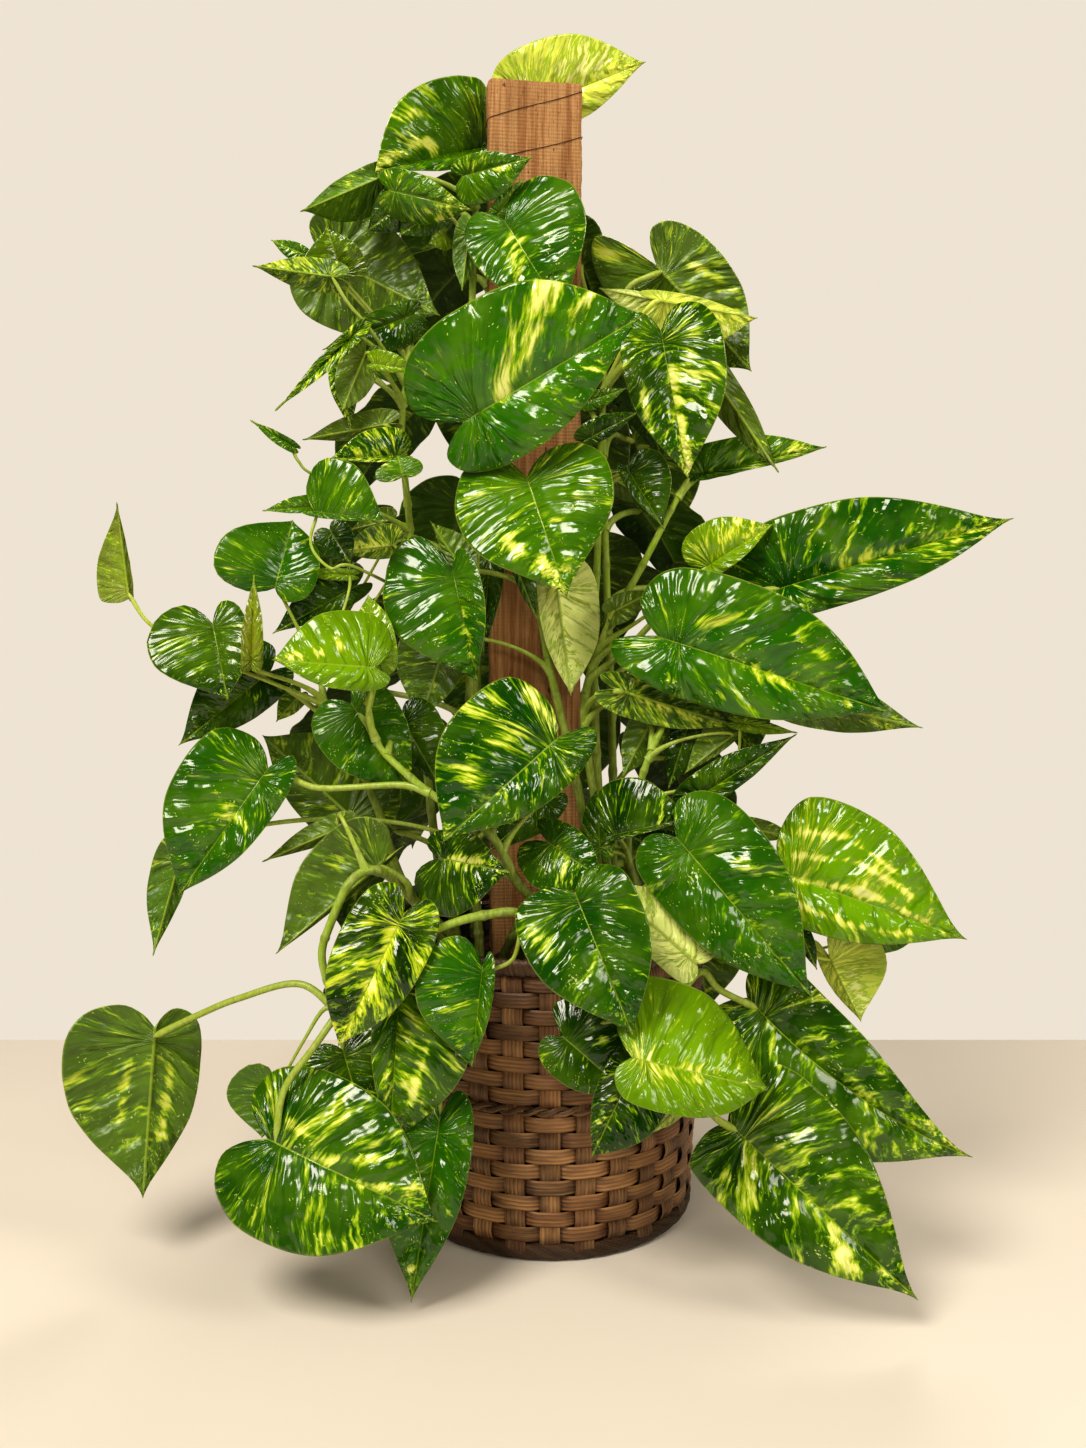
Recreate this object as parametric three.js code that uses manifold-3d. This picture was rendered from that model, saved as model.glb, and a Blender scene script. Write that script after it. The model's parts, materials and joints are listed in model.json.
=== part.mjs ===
// A variegated pothos on a rough board, in a grower's pot inside a round woven basket.
// Millimetres, +Z up, origin at the centre of the basket's flat underside, front towards -Y.
import * as THREE from "three";
import * as BufferGeometryUtils from "three/addons/utils/BufferGeometryUtils.js";
import Module from "manifold-3d";

const wasm = await Module();
wasm.setup();
const { Manifold, Mesh: SolidMesh } = wasm;
const V3 = THREE.Vector3;
const UP = new V3(0, 0, 1);

// ---------------------------------------------------------------- driving sizes
const FIT_GAP = 0.3; // clearance between pieces that touch

const BASKET = {
  height: 256, footRadius: 125, rimRadius: 137, wall: 5, floor: 5,
  stakes: 24, rows: 11, relief: 1.6, bandDip: 2.6, footInset: 5,
};
const RIM = { height: 14, thickness: 9 };
const BAND = { middle: 129, height: 11, sink: 2.2, stand: 2.4 };
const FOOT = { height: 16, thickness: 4.5 };
const POT = {
  topRadius: 123, footRadius: 104, wall: 2.4, lift: 5.3, top: 244, lip: 4, lipHeight: 12, sides: 20,
};
const SOIL = { edge: 222, crown: 228, slope: 26, sides: 20 };
const BOARD = { width: 80, thickness: 19, top: 977, x: -13.5, y: 0, turn: 9 };
const TIE = { wire: 1.2, sides: 4, standOff: 2.1 };
const STEM = { radius: 4.3, endRadius: 2.6, sides: 5, depth: 26, collar: 10, hole: 5.6, holeSides: 6 };
const PETIOLE = {
  baseRadius: 2.9, leafRadius: 2.0, pointRadius: 0.25, neck: 9, sides: 3, steps: 3, shortReach: 75,
};
const BLADE = { thickness: 1.0, arch: 0.07, curl: 0.1, rootSink: 0.05, smallLength: 136, tinyLength: 52 };
const REAR_BLADE = { halfWidth: 0.42, fold: 12, belly: 0.1 };
const CLEARANCE = { blade: 0.8, petiole: 0.6, floor: 6 };

// ---------------------------------------------------------------- front view
// Places among the leaves are read off a front view of 1086 x 1448 points, as
// [across, down, depth], where depth is the millimetres along +Y from the middle of the pot.
const EYE = { x: -5.8, y: -1108, z: 528, pitch: 5, focal: 1250, midAcross: 543, midDown: 724 };

const radians = (degrees) => (degrees * Math.PI) / 180;

function place([across, down, depth], shift = 0) {
  const cos = Math.cos(radians(EYE.pitch));
  const sin = Math.sin(radians(EYE.pitch));
  const right = (across - EYE.midAcross) / EYE.focal;
  const rise = (EYE.midDown - down) / EYE.focal;
  const sight = new V3(right, cos + sin * rise, -sin + cos * rise);
  const eye = new V3(EYE.x, EYE.y, EYE.z);
  return sight.multiplyScalar((depth + shift - EYE.y) / sight.y).add(eye);
}

// ---------------------------------------------------------------- solids
function solidFrom(points, triangles) {
  return new Manifold(new SolidMesh({
    numProp: 3,
    vertProperties: Float32Array.from(points.flatMap((p) => [p.x, p.y, p.z])),
    triVerts: Uint32Array.from(triangles.flat()),
  }));
}

function solidOf(geometry) {
  const bare = geometry.clone();
  for (const name of Object.keys(bare.attributes)) {
    if (name !== "position") bare.deleteAttribute(name);
  }
  const merged = BufferGeometryUtils.mergeVertices(bare, 1e-3);
  const at = merged.getAttribute("position");
  return new Manifold(new SolidMesh({
    numProp: 3, vertProperties: Float32Array.from(at.array), triVerts: Uint32Array.from(merged.index.array),
  }));
}

function geometryOf(solid) {
  const mesh = solid.getMesh();
  const geometry = new THREE.BufferGeometry();
  geometry.setAttribute("position", new THREE.BufferAttribute(Float32Array.from(mesh.vertProperties), 3));
  geometry.setIndex([...mesh.triVerts]);
  return geometry;
}

// A solid turned about Z from a closed [radius, height] profile that runs anticlockwise.
function turned(profile, sides) {
  const points = profile.map(([radius, height]) => new THREE.Vector2(radius, height));
  return solidOf(new THREE.LatheGeometry(points, sides).rotateX(Math.PI / 2));
}

// Rings of points square to a path, each turned as little as may be from the one before.
function ringsAlong(path, radii, sides, facing) {
  let side = facing.clone();
  return path.map((centre, i) => {
    const ahead = path[Math.min(i + 1, path.length - 1)].clone().sub(path[Math.max(i - 1, 0)]).normalize();
    side = side.clone().addScaledVector(ahead, -side.dot(ahead)).normalize();
    const across = new V3().crossVectors(ahead, side);
    return Array.from({ length: sides }, (_, k) => {
      const turn = (2 * Math.PI * k) / sides;
      return centre.clone().addScaledVector(side, radii[i] * Math.cos(turn))
        .addScaledVector(across, radii[i] * Math.sin(turn));
    });
  });
}

function tube(path, radii, sides, facing) {
  const points = ringsAlong(path, radii, sides, facing).flat();
  const triangles = [];
  for (let i = 0; i + 1 < path.length; i++) {
    for (let k = 0; k < sides; k++) {
      const a = i * sides + k;
      const b = i * sides + ((k + 1) % sides);
      triangles.push([a, b, b + sides], [a, b + sides, a + sides]);
    }
  }
  const last = (path.length - 1) * sides;
  for (let k = 1; k + 1 < sides; k++) {
    triangles.push([0, k + 1, k], [last, last + k, last + k + 1]);
  }
  return solidFrom(points, triangles);
}

// ---------------------------------------------------------------- leaf outline
// Half outline as [part of the half width, part of the length]; sinus at [0, 0], tip at [0, 1].
const FULL_OUTLINE = [[0.38, -0.16], [0.86, -0.06], [1, 0.22], [0.86, 0.5], [0.44, 0.78]];
const SMALL_OUTLINE = [[0.45, -0.15], [0.97, 0.04], [0.93, 0.36], [0.5, 0.72]];
const TINY_OUTLINE = [[0.6, -0.13], [1, 0.16], [0.64, 0.62]];
const LOBE = 0.16;

// One leaf. at and tip are places; left and right are [half width in view points, fold in degrees
// towards the upper face, belly, lobe], left being to the left of a walk from sinus to tip.
const leaf = (name, at, tip, left, right, more = {}) => ({ name, at, tip, left, right, face: 1, ...more });
const UNDERSIDE = { face: -1 };

// ---------------------------------------------------------------- stems and their leaves
// Each stem rises from its own hole in the soil and passes its places in order.
const VINES = {
  vine_crown: {
    root: [-62, -28],
    route: [[474, 860, -22], [470, 700, -16], [468, 540, -14], [470, 380, -12], [474, 250, -12],
      [478, 175, -14]],
    leaves: [
      leaf("crest", [486, 146, -4], [376, 172, -78], [14, 50, 0.2], [62, 8, 0.8], { via: [[489, 152, 4]] }),
      leaf("crown_curl", [386, 175, -42], [300, 212, -62], [28, 55], [14, 20], UNDERSIDE),
      leaf("crown_fold", [390, 190, -50], [473, 210, -62], [20, 15], [24, -30]),
      leaf("crown_gloss", [463, 176, -30], [533, 157, -56], [16, 10], [27, 12, 0.2]),
      leaf("crown_chip", [497, 215, -28], [524, 178, -34], [9, 15], [10, 15]),
      leaf("crown_dark", [505, 222, -40], [566, 318, -58], [70, 8, 0, 0.2], [44, 20, 0, 0.22],
        { tone: "gloss" }),
      leaf("crown_under", [412, 196, -36], [366, 232, -26], [22, 5], [20, 5], { tone: "dark" }),
      leaf("crown_shade", [440, 208, -26], [398, 236, -20], [16, 10], [22, 10], { tone: "dark" }),
      leaf("crown_pale", [470, 226, -22], [462, 292, -36], [10, 30], [14, 20], { face: -1, tone: "mid" }),
      leaf("crown_yellow", [446, 236, -18], [428, 244, -24], [12, 10], [10, 10], { tone: "lime" }),
      leaf("crown_low", [488, 232, -24], [492, 288, -30], [14, 10], [12, 10], { tone: "dark" }),
    ],
  },
  vine_left_high: {
    root: [-84, 6],
    route: [[438, 860, 2], [424, 740, -4], [414, 620, -10], [410, 530, -16], [402, 430, -24],
      [412, 340, -16]],
    leaves: [
      leaf("olive_big", [322, 254, -34], [441, 316, -52], [52, 8], [58, 8], { face: -1, tone: "olive" }),
      leaf("left_peak", [344, 278, -62], [326, 226, -70], [37, 20], [24, 20], { tone: "grey" }),
      leaf("left_wave", [336, 277, -70], [252, 266, -84], [16, 40], [15, 30],
        { face: -1, via: [[372, 332, -52], [348, 303, -64]], tone: "yellow" }),
      leaf("left_nub", [304, 254, -64], [271, 240, -66], [9, 10], [7, 10]),
      leaf("left_shade", [410, 316, -44], [322, 350, -58], [24, 12], [16, 12], { tone: "dark" }),
      leaf("fan", [372, 367, -82], [386, 322, -58], [24, 6, 0.3], [38, 6, 0.4], { tone: "gloss" }),
      leaf("fan_lime", [374, 364, -78], [421, 371, -84], [14, 15], [6, 20], { tone: "lime" }),
      leaf("left_strap", [356, 332, -66], [275, 411, -88], [9, 45], [7, 45], { tone: "yellow" }),
      leaf("grey_hang", [366, 352, -66], [342, 412, -76], [18, 15, 0.3], [20, 15, 0.3],
        { face: -1, tone: "grey" }),
      leaf("yellow_hang", [344, 366, -58], [351, 432, -66], [12, 30], [16, 30], { tone: "yellow" }),
      leaf("left_hook", [293, 446, -78], [250, 420, -92], [7, 40], [5, 40],
        { via: [[318, 478, -66], [299, 462, -76]] }),
      leaf("grey_mid", [388, 424, -54], [302, 440, -66], [10, 25], [16, 20], { face: -1, tone: "grey" }),
      leaf("gold_edge", [401, 456, -66], [327, 460, -86], [5, 60], [28, 0, 0.1], { tone: "yellow" }),
      leaf("wedge", [403, 476, -72], [398, 456, -64], [26, 10], [21, 10], { tone: "mid" }),
      leaf("bright_roof", [314, 512, -84], [386, 522, -92], [54, 0, 0.3], [5, 60],
        { via: [[352, 566, -84], [330, 568, -88], [311, 545, -88]], tone: "mid" }),
      leaf("bright_eave", [316, 507, -86], [262, 511, -98], [5, 50], [12, 10], { tone: "mid" }),
    ],
  },
  vine_front_high: {
    root: [8, -34],
    route: [[586, 860, -34], [574, 770, -33], [560, 712, -32], [548, 660, -31], [538, 600, -30],
      [524, 520, -28], [504, 450, -27], [484, 370, -26]],
    leaves: [
      leaf("giant", [464, 422, -88], [645, 314, -112], [92, 6, 0.5, 0.2], [56, 18, 0, 0.16],
        { tone: "giant" }),
      leaf("shield", [527, 478, -84], [567, 597, -118], [80, 14, 0.1, 0.16], [79, 10, 0.1, 0.34]),
      leaf("pale_drop", [556, 578, -50], [571, 697, -58], [40, 10, 0.2], [21, 10, 0.2],
        { face: -1, tone: "pale" }),
      leaf("board_shade", [514, 560, -36], [537, 620, -36], [14, 10], [6, 10], { tone: "dark" }),
      leaf("heart_fold", [453, 570, -82], [478, 683, -92], [25, 45], [74, 6, 0.1, 0.38], { tone: "gloss" }),
      leaf("heart_flap", [460, 566, -88], [430, 521, -84], [7, 20], [22, 10], { face: -1, tone: "olive" }),
      leaf("slim_shade", [490, 546, -42], [483, 656, -48], [15, 15], [9, 15], { tone: "dark" }),
      leaf("olive_mid", [446, 640, -46], [420, 722, -58], [26, 10, 0, 0.3], [44, 8, 0, 0.3],
        { face: -1, tone: "olive" }),
    ],
  },
  vine_right_high: {
    root: [46, 4],
    route: [[602, 860, 8], [596, 740, 6], [594, 640, 2], [598, 540, 0], [600, 450, -2], [606, 370, -8]],
    leaves: [
      leaf("arch_back", [657, 266, -26], [752, 372, -34], [50, 8, 0.2, 0.2], [58, 12, 0.1, 0.42],
        { face: -1, via: [[630, 350, -14], [626, 292, -22]], tone: "olive" }),
      leaf("pale_roof", [655, 300, -48], [758, 318, -62], [10, 40], [36, 6, 0.4],
        { face: -1, tone: "cream" }),
      leaf("pale_wing", [655, 300, -46], [598, 288, -38], [14, 12, 0.2], [5, 30], { face: -1, tone: "pale" }),
      leaf("stripe_hang", [661, 332, -44], [688, 480, -62], [56, 20, 0.2], [42, 20, 0.2], { tone: "streak" }),
      leaf("grey_spear", [692, 345, -64], [779, 473, -82], [17, 40, 0.2, 0.05], [19, 35, 0.2, 0.05], { face: -1, tone: "grey" }),
      leaf("dark_back", [640, 322, -30], [618, 372, -22], [26, 10], [22, 10], { tone: "dark" }),
      leaf("sliver_up", [586, 402, -2], [627, 388, -6], [8, 20], [10, 20]),
      leaf("sliver_low", [586, 440, -4], [640, 411, -8], [15, 15], [8, 15], { tone: "dark" }),
      leaf("hood", [628, 470, -30], [664, 530, -48], [36, 10], [10, 40], { tone: "dark" }),
      leaf("hood_tail", [646, 468, -26], [604, 474, -20], [12, 20], [6, 20], { face: -1, tone: "dark" }),
      leaf("hood_grey", [612, 478, -14], [654, 505, -18], [9, 20], [13, 20], { face: -1, tone: "grey" }),
    ],
  },
  vine_right_long: {
    root: [62, -34],
    route: [[608, 870, -34], [590, 770, -32], [584, 712, -33], [592, 668, -34], [612, 620, -36],
      [640, 570, -40], [672, 508, -46], [689, 478, -50]],
    leaves: [
      leaf("right_plume", [694, 476, -54], [827, 447, -76], [28, 8, 0.25, 0.05], [6, 60, 0.6, 0.05], { tone: "mid" }),
      leaf("lit_cup", [705, 568, -64], [774, 524, -70], [38, 5, 0.1], [13, 45], {
        via: [[640, 620, -50], [672, 594, -60]], tone: "lime" }),
      leaf("long_sail", [768, 592, -66], [1015, 518, -92], [66, 8, 0, 0.16], [32, 25, 0.3, 0.1], {
        via: [[626, 650, -58], [668, 610, -74], [716, 598, -74]], tone: "sail" }),
      leaf("broad_right", [659, 637, -96], [892, 713, -112], [77, 6, 0.3, 0.12], [50, 15, 0.1, 0.18],
        { tone: "bright" }),
      leaf("under_right", [790, 698, -80], [923, 728, -94], [30, 12], [24, 15], { face: -1, tone: "olive" }),
      leaf("dark_gold", [618, 690, -72], [744, 728, -82], [20, 20], [24, 10], { face: -1, tone: "yellow" }),
      leaf("beak", [788, 604, -70], [841, 597, -84], [4, 20], [11, 20], { tone: "dark" }),
      leaf("shade_fan", [612, 612, -58], [656, 590, -56], [14, 20], [15, 20], { face: -1, tone: "grey" }),
    ],
  },
  vine_left_mid: {
    root: [-92, -34],
    route: [[402, 880, -42], [378, 810, -52], [352, 750, -60], [326, 705, -66], [318, 650, -62]],
    leaves: [
      leaf("wide_left", [275, 588, -86], [293, 520, -62], [62, 8, 0.3, 0.14], [36, 25, 0.3],
        { via: [[300, 632, -76]], tone: "gloss" }),
      leaf("new_spear", [129, 598, -88], [117, 502, -98], [27, 12, -0.3, 0.04], [5, 50, 0, 0.04],
        { face: -1, via: [[258, 676, -78], [196, 652, -82], [150, 623, -84]], tone: "fresh" }),
      leaf("left_heart", [213, 624, -98], [228, 701, -118], [33, 25, 0.2, 0.28], [64, 6, 0.2, 0.34],
        { via: [[262, 676, -84]], tone: "heart" }),
      leaf("lime_spear", [251, 668, -112], [254, 574, -104], [10, 30, 0, 0.04], [11, 30, 0, 0.04],
        { tone: "fresh" }),
      leaf("left_kite", [270, 672, -88], [178, 746, -104], [26, 15], [40, 5], {
        via: [[300, 698, -80]], tone: "dark" }),
      leaf("left_nest", [356, 586, -58], [272, 634, -70], [14, 15], [28, 8], { tone: "dark" }),
      leaf("nest_gold", [396, 545, -48], [340, 552, -58], [12, 10], [22, 8], { face: -1, tone: "yellow" }),
      leaf("nest_grey", [392, 520, -34], [350, 530, -40], [16, 10], [14, 10], { face: -1, tone: "grey" }),
      leaf("nest_dark", [330, 530, -62], [352, 566, -60], [18, 10], [20, 10], { tone: "dark" }),
      leaf("tuft", [350, 575, -62], [290, 572, -70], [6, 20], [6, 20], { tone: "lime" }),
      leaf("scrap", [300, 694, -66], [276, 722, -74], [10, 20], [14, 20], { face: -1, tone: "yellow" }),
    ],
  },
  vine_front_left: {
    root: [-24, -60],
    route: [[532, 905, -88], [517, 882, -104], [497, 843, -116], [474, 820, -120], [440, 800, -118],
      [402, 770, -112], [376, 740, -104], [366, 692, -98]],
    leaves: [
      leaf("lime_lamp", [375, 668, -128], [272, 660, -146], [24, 20, 0.2], [55, -18, 0.4], {
        via: [[368, 715, -112], [372, 690, -122]], tone: "lamp" }),
      leaf("lime_lobe", [379, 664, -118], [368, 594, -102], [20, 10, 0.3], [20, 15, 0.3], { tone: "lime" }),
      leaf("great_left", [268, 769, -106], [178, 896, -132], [30, 30, 0.3], [70, 4, 0.3, 0.12], {
        via: [[400, 785, -112], [320, 788, -108], [285, 775, -106]], tone: "gloss" }),
      leaf("left_tail", [182, 852, -92], [153, 956, -104], [12, 30], [24, 20], { face: -1, tone: "mid" }),
      leaf("centre_banner", [558, 738, -112], [443, 842, -154], [42, 10, 0.1, 0.24], [88, 6, 0.5, 0.12],
        { via: [[500, 800, -104], [560, 762, -100]], tone: "banner" }),
      leaf("left_bowl", [352, 704, -84], [414, 795, -96], [38, 8], [50, 6], { tone: "gloss" }),
      leaf("bowl_shade", [402, 718, -58], [442, 790, -66], [34, 8], [18, 8], { tone: "dark" }),
      leaf("centre_heart", [440, 858, -108], [510, 872, -146], [32, 6, 0.1, 0.3], [56, 4, 0.2, 0.42],
        { tone: "heart" }),
      leaf("centre_shade", [550, 796, -64], [488, 852, -78], [22, 8], [26, 8], { tone: "dark" }),
    ],
  },
  vine_left_low: {
    root: [-70, -64],
    route: [[418, 905, -92], [382, 872, -128], [352, 880, -142], [330, 925, -150], [322, 958, -152],
      [334, 1000, -150], [350, 1030, -150]],
    leaves: [
      leaf("olive_low_left", [359, 824, -84], [262, 735, -98], [34, 8, 0.2], [60, 6, 0.3],
        { face: -1, tone: "olive" }),
      leaf("grey_claw", [345, 826, -110], [262, 862, -116], [8, 40], [16, 25], { face: -1, tone: "grey" }),
      leaf("claw_shade", [376, 846, -106], [320, 850, -102], [12, 10], [27, 8], { tone: "dark" }),
      leaf("olive_fall", [385, 860, -142], [276, 954, -156], [5, 60, 0.4], [56, 4, 0.1],
        { face: -1, via: [[406, 882, -128]], tone: "olive" }),
      leaf("far_left", [155, 1028, -112], [143, 1198, -136], [43, 10, 0.2, 0.12], [78, 4, 0.1, 0.14],
        { face: -1, via: [[300, 984, -140], [240, 998, -130], [196, 1016, -120]], tone: "fresh_under" }),
      leaf("low_ear", [277, 1088, -168], [262, 1138, -176], [20, 15, 0.2, 0.3], [44, 8, 0.3, 0.4],
        { face: -1, via: [[326, 1008, -158], [303, 1042, -164]], tone: "mid" }),
      leaf("low_giant", [268, 1139, -190], [438, 1222, -224], [78, 8, 0.3, 0.2], [80, 6, 0.2, 0.2],
        { via: [[340, 1012, -162], [312, 1050, -176], [284, 1090, -184]], tone: "banner" }),
      leaf("low_backer", [343, 1050, -148], [367, 1134, -160], [42, 10, 0.1, 0.16], [43, 8, 0.1, 0.14],
        { tone: "heart" }),
    ],
  },
  vine_front_low: {
    root: [-40, -84],
    route: [[520, 916, -128], [480, 916, -150], [440, 928, -160], [404, 944, -166], [396, 968, -168]],
    leaves: [
      leaf("gold_rib", [404, 914, -162], [338, 1047, -182], [40, 14, 0.3], [48, 8, 0.4], { tone: "gold" }),
      leaf("green_bell", [483, 967, -178], [472, 1068, -192], [13, 45], [63, 8, 0.1, 0.28],
        { via: [[520, 930, -160], [512, 960, -170]], tone: "bright" }),
      leaf("long_hang", [400, 976, -174], [389, 1148, -198], [74, 8, 0.3, 0.04], [24, 25, 0.1], {
        tone: "streak" }),
      leaf("low_drop", [440, 1118, -146], [411, 1304, -182], [34, 14], [48, 8], { tone: "gloss" }),
    ],
  },
  vine_front_right: {
    root: [20, -86],
    route: [[566, 920, -130], [590, 930, -158], [622, 960, -172], [660, 1000, -182], [690, 1050, -188]],
    leaves: [
      leaf("crease", [575, 893, -152], [634, 1038, -198], [57, 12, 0.2, 0.12], [68, 14, 0.1, 0.1],
        { tone: "crease" }),
      leaf("pot_dark", [563, 1037, -158], [633, 1098, -172], [47, 8, 0.1, 0.3], [34, 10], { tone: "dark" }),
      leaf("pot_point", [637, 1062, -172], [591, 1158, -184], [45, 8, 0.3], [25, 12, 0.1], { tone: "heart" }),
      leaf("pot_chip", [682, 1106, -170], [650, 1134, -174], [7, 10], [15, 10], { face: -1, tone: "pale" }),
      leaf("lime_face", [632, 1058, -212], [769, 1090, -196], [82, -26, 0.4, 0.12], [42, 24, 0.3, 0.1],
        { tone: "lamp" }),
      leaf("right_sweep", [748, 998, -140], [974, 1158, -172], [53, 10, -0.2, 0.05], [78, 6, 0, 0.08],
        { bow: -15, via: [[700, 972, -164], [720, 990, -152]], tone: "bright" }),
      leaf("right_blade", [728, 1123, -176], [919, 1301, -234], [78, 8, -0.05, 0.05], [58, 8, 0.1, 0.04],
        { via: [[708, 1108, -184]], tone: "bright" }),
    ],
  },
  vine_right_low: {
    root: [78, -58],
    route: [[638, 900, -96], [668, 880, -118], [700, 890, -128], [730, 925, -130], [760, 950, -120]],
    leaves: [
      leaf("dark_giant", [677, 838, -128], [813, 998, -168], [67, 8, 0.1, 0.14], [54, 10, 0.2, 0.1],
        { tone: "gloss" }),
      leaf("cream_sail", [782, 873, -84], [968, 940, -108], [83, 6, -0.1, 0.08], [43, 14, 0, 0.06],
        { tone: "cream_sail" }),
      leaf("cream_fold", [780, 874, -76], [840, 811, -84], [13, 20, 0.2], [5, 30], { face: -1, tone: "mid" }),
      leaf("cream_hang", [829, 957, -86], [861, 1022, -98], [50, 10, 0.1, 0.48], [12, 30, 0.1, 0.3],
        { face: -1, via: [[790, 952, -104]], tone: "cream" }),
      leaf("olive_chip", [872, 934, -84], [927, 928, -92], [4, 20], [19, 8],
        { face: -1, via: [[806, 951, -104]], tone: "mid" }),
      leaf("dark_chip", [800, 930, -92], [817, 970, -98], [9, 10], [7, 10], { tone: "dark" }),
      leaf("grey_back_right", [745, 828, -70], [797, 838, -80], [12, 10], [9, 10],
        { face: -1, tone: "grey" }),
      leaf("pale_shoe", [697, 964, -172], [602, 880, -156], [26, 8, 0.2, 0.06], [38, 10, 0.2, 0.06],
        { face: -1, via: [[702, 925, -150]], tone: "pale" }),
      leaf("shoe_lid", [691, 930, -160], [677, 840, -146], [36, 10], [20, 14], { tone: "lime" }),
      leaf("shoe_shade", [676, 862, -122], [628, 834, -128], [12, 8], [26, 8], { tone: "dark" }),
    ],
  },
  vine_right_mid: {
    root: [92, -18],
    route: [[628, 860, -52], [636, 800, -66], [648, 760, -72], [664, 725, -70]],
    leaves: [
      leaf("wave_roof", [612, 836, -122], [692, 818, -140], [54, -4, 0.3], [5, 60, 0.2], { tone: "heart" }),
      leaf("curl_heart", [548, 842, -112], [605, 881, -136], [27, 8, 0.2, 0.34], [44, 8, 0.2, 0.34],
        { tone: "crease" }),
      leaf("round_lobe", [600, 852, -112], [598, 788, -98], [17, 8, 0.5], [15, 8, 0.5], { tone: "mid" }),
      leaf("right_horn", [694, 800, -92], [797, 734, -106], [22, 10], [14, 20], { tone: "dark" }),
      leaf("horn_wave", [737, 722, -92], [798, 733, -98], [6, 20], [8, 20],
        { via: [[731, 778, -86], [738, 765, -90]], tone: "lime" }),
      leaf("grey_flag", [734, 734, -86], [684, 774, -88], [6, 10], [22, 10], { face: -1, tone: "grey" }),
      leaf("inner_green", [652, 720, -54], [622, 778, -58], [20, 10], [20, 10], { face: -1, tone: "olive" }),
      leaf("inner_stalk", [690, 720, -58], [668, 790, -62], [18, 10], [16, 10], { tone: "dark" }),
    ],
  },
};

// Stems behind the board, their paths in x, y, z; most of their leaves are in REAR_LEAVES.
const REAR_VINES = {
  vine_rear_left: {
    root: [-70, 44],
    path: [[-72, 48, 300], [-68, 46, 420], [-64, 44, 560], [-60, 40, 700], [-52, 34, 850], [-40, 30, 930]],
  },
  vine_rear_mid: {
    root: [-6, 40],
    leaves: [leaf("top_sail", [520, 112, 38], [646, 62, 14], [48, 4, 0.3], [25, 12, 0.2], { tone: "lime" })],
    path: [[-8, 34, 300], [-10, 30, 460], [-14, 28, 620], [-12, 28, 780], [-6, 28, 900]],
  },
  vine_rear_right: {
    root: [58, 46],
    path: [[60, 48, 300], [58, 46, 430], [52, 42, 570], [48, 38, 700], [44, 34, 800]],
  },
  vine_rear_trail_left: {
    root: [-46, 82],
    path: [[-66, 104, 270], [-92, 136, 276], [-112, 160, 240], [-122, 172, 190], [-128, 178, 150]],
  },
  vine_rear_trail_right: {
    root: [38, 86],
    path: [[56, 112, 270], [78, 142, 276], [96, 164, 240], [106, 176, 190], [112, 180, 150]],
  },
};

// [stem, bearing round the pot in degrees (0 = right, 90 = back), height of the sinus, distance of the
// sinus from the pot's axis, length, droop in degrees, tone]
const REAR_LEAVES = [
  ["vine_rear_mid", 105, 930, 46, 92, 40, "bright"],
  ["vine_rear_left", 128, 915, 96, 128, 30, "gloss"],
  ["vine_rear_right", 66, 850, 70, 118, 48, "heart"],
  ["vine_rear_mid", 92, 880, 92, 138, 52, "banner"],
  ["vine_rear_left", 142, 842, 104, 126, 44, "dark"],
  ["vine_rear_mid", 62, 812, 120, 142, 48, "gloss"],
  ["vine_rear_right", 46, 768, 88, 118, 54, "bright"],
  ["vine_rear_left", 112, 782, 118, 150, 58, "heart"],
  ["vine_rear_left", 146, 724, 142, 140, 44, "banner"],
  ["vine_rear_mid", 84, 716, 132, 156, 56, "dark"],
  ["vine_rear_right", 62, 706, 112, 140, 52, "streak"],
  ["vine_rear_right", 42, 630, 112, 128, 52, "gloss"],
  ["vine_rear_left", 122, 640, 146, 156, 56, "gloss"],
  ["vine_rear_left", 160, 612, 160, 134, 42, "bright"],
  ["vine_rear_mid", 98, 612, 138, 150, 62, "bright"],
  ["vine_rear_mid", 78, 588, 140, 156, 58, "heart"],
  ["vine_rear_right", 34, 560, 158, 150, 48, "dark"],
  ["vine_rear_left", 138, 540, 164, 152, 52, "heart"],
  ["vine_rear_mid", 106, 506, 156, 158, 60, "banner"],
  ["vine_rear_right", 58, 480, 164, 160, 56, "gloss"],
  ["vine_rear_right", 38, 486, 150, 140, 54, "streak"],
  ["vine_rear_left", 156, 462, 178, 142, 48, "dark"],
  ["vine_rear_mid", 86, 432, 170, 150, 58, "dark"],
  ["vine_rear_left", 124, 408, 176, 156, 56, "bright"],
  ["vine_rear_right", 50, 392, 176, 150, 58, "heart"],
  ["vine_rear_trail_right", 66, 330, 178, 152, 60, "bright"],
  ["vine_rear_trail_left", 104, 330, 180, 148, 62, "gloss"],
  ["vine_rear_trail_left", 142, 320, 190, 150, 58, "streak"],
  ["vine_rear_trail_right", 24, 312, 190, 146, 58, "gloss"],
  ["vine_rear_trail_right", 50, 236, 206, 148, 66, "banner"],
  ["vine_rear_trail_left", 124, 232, 210, 150, 66, "heart"],
  ["vine_rear_trail_left", 145, 206, 196, 130, 66, "bright"],
  ["vine_rear_trail_right", 84, 214, 196, 140, 68, "dark"],
];

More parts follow.
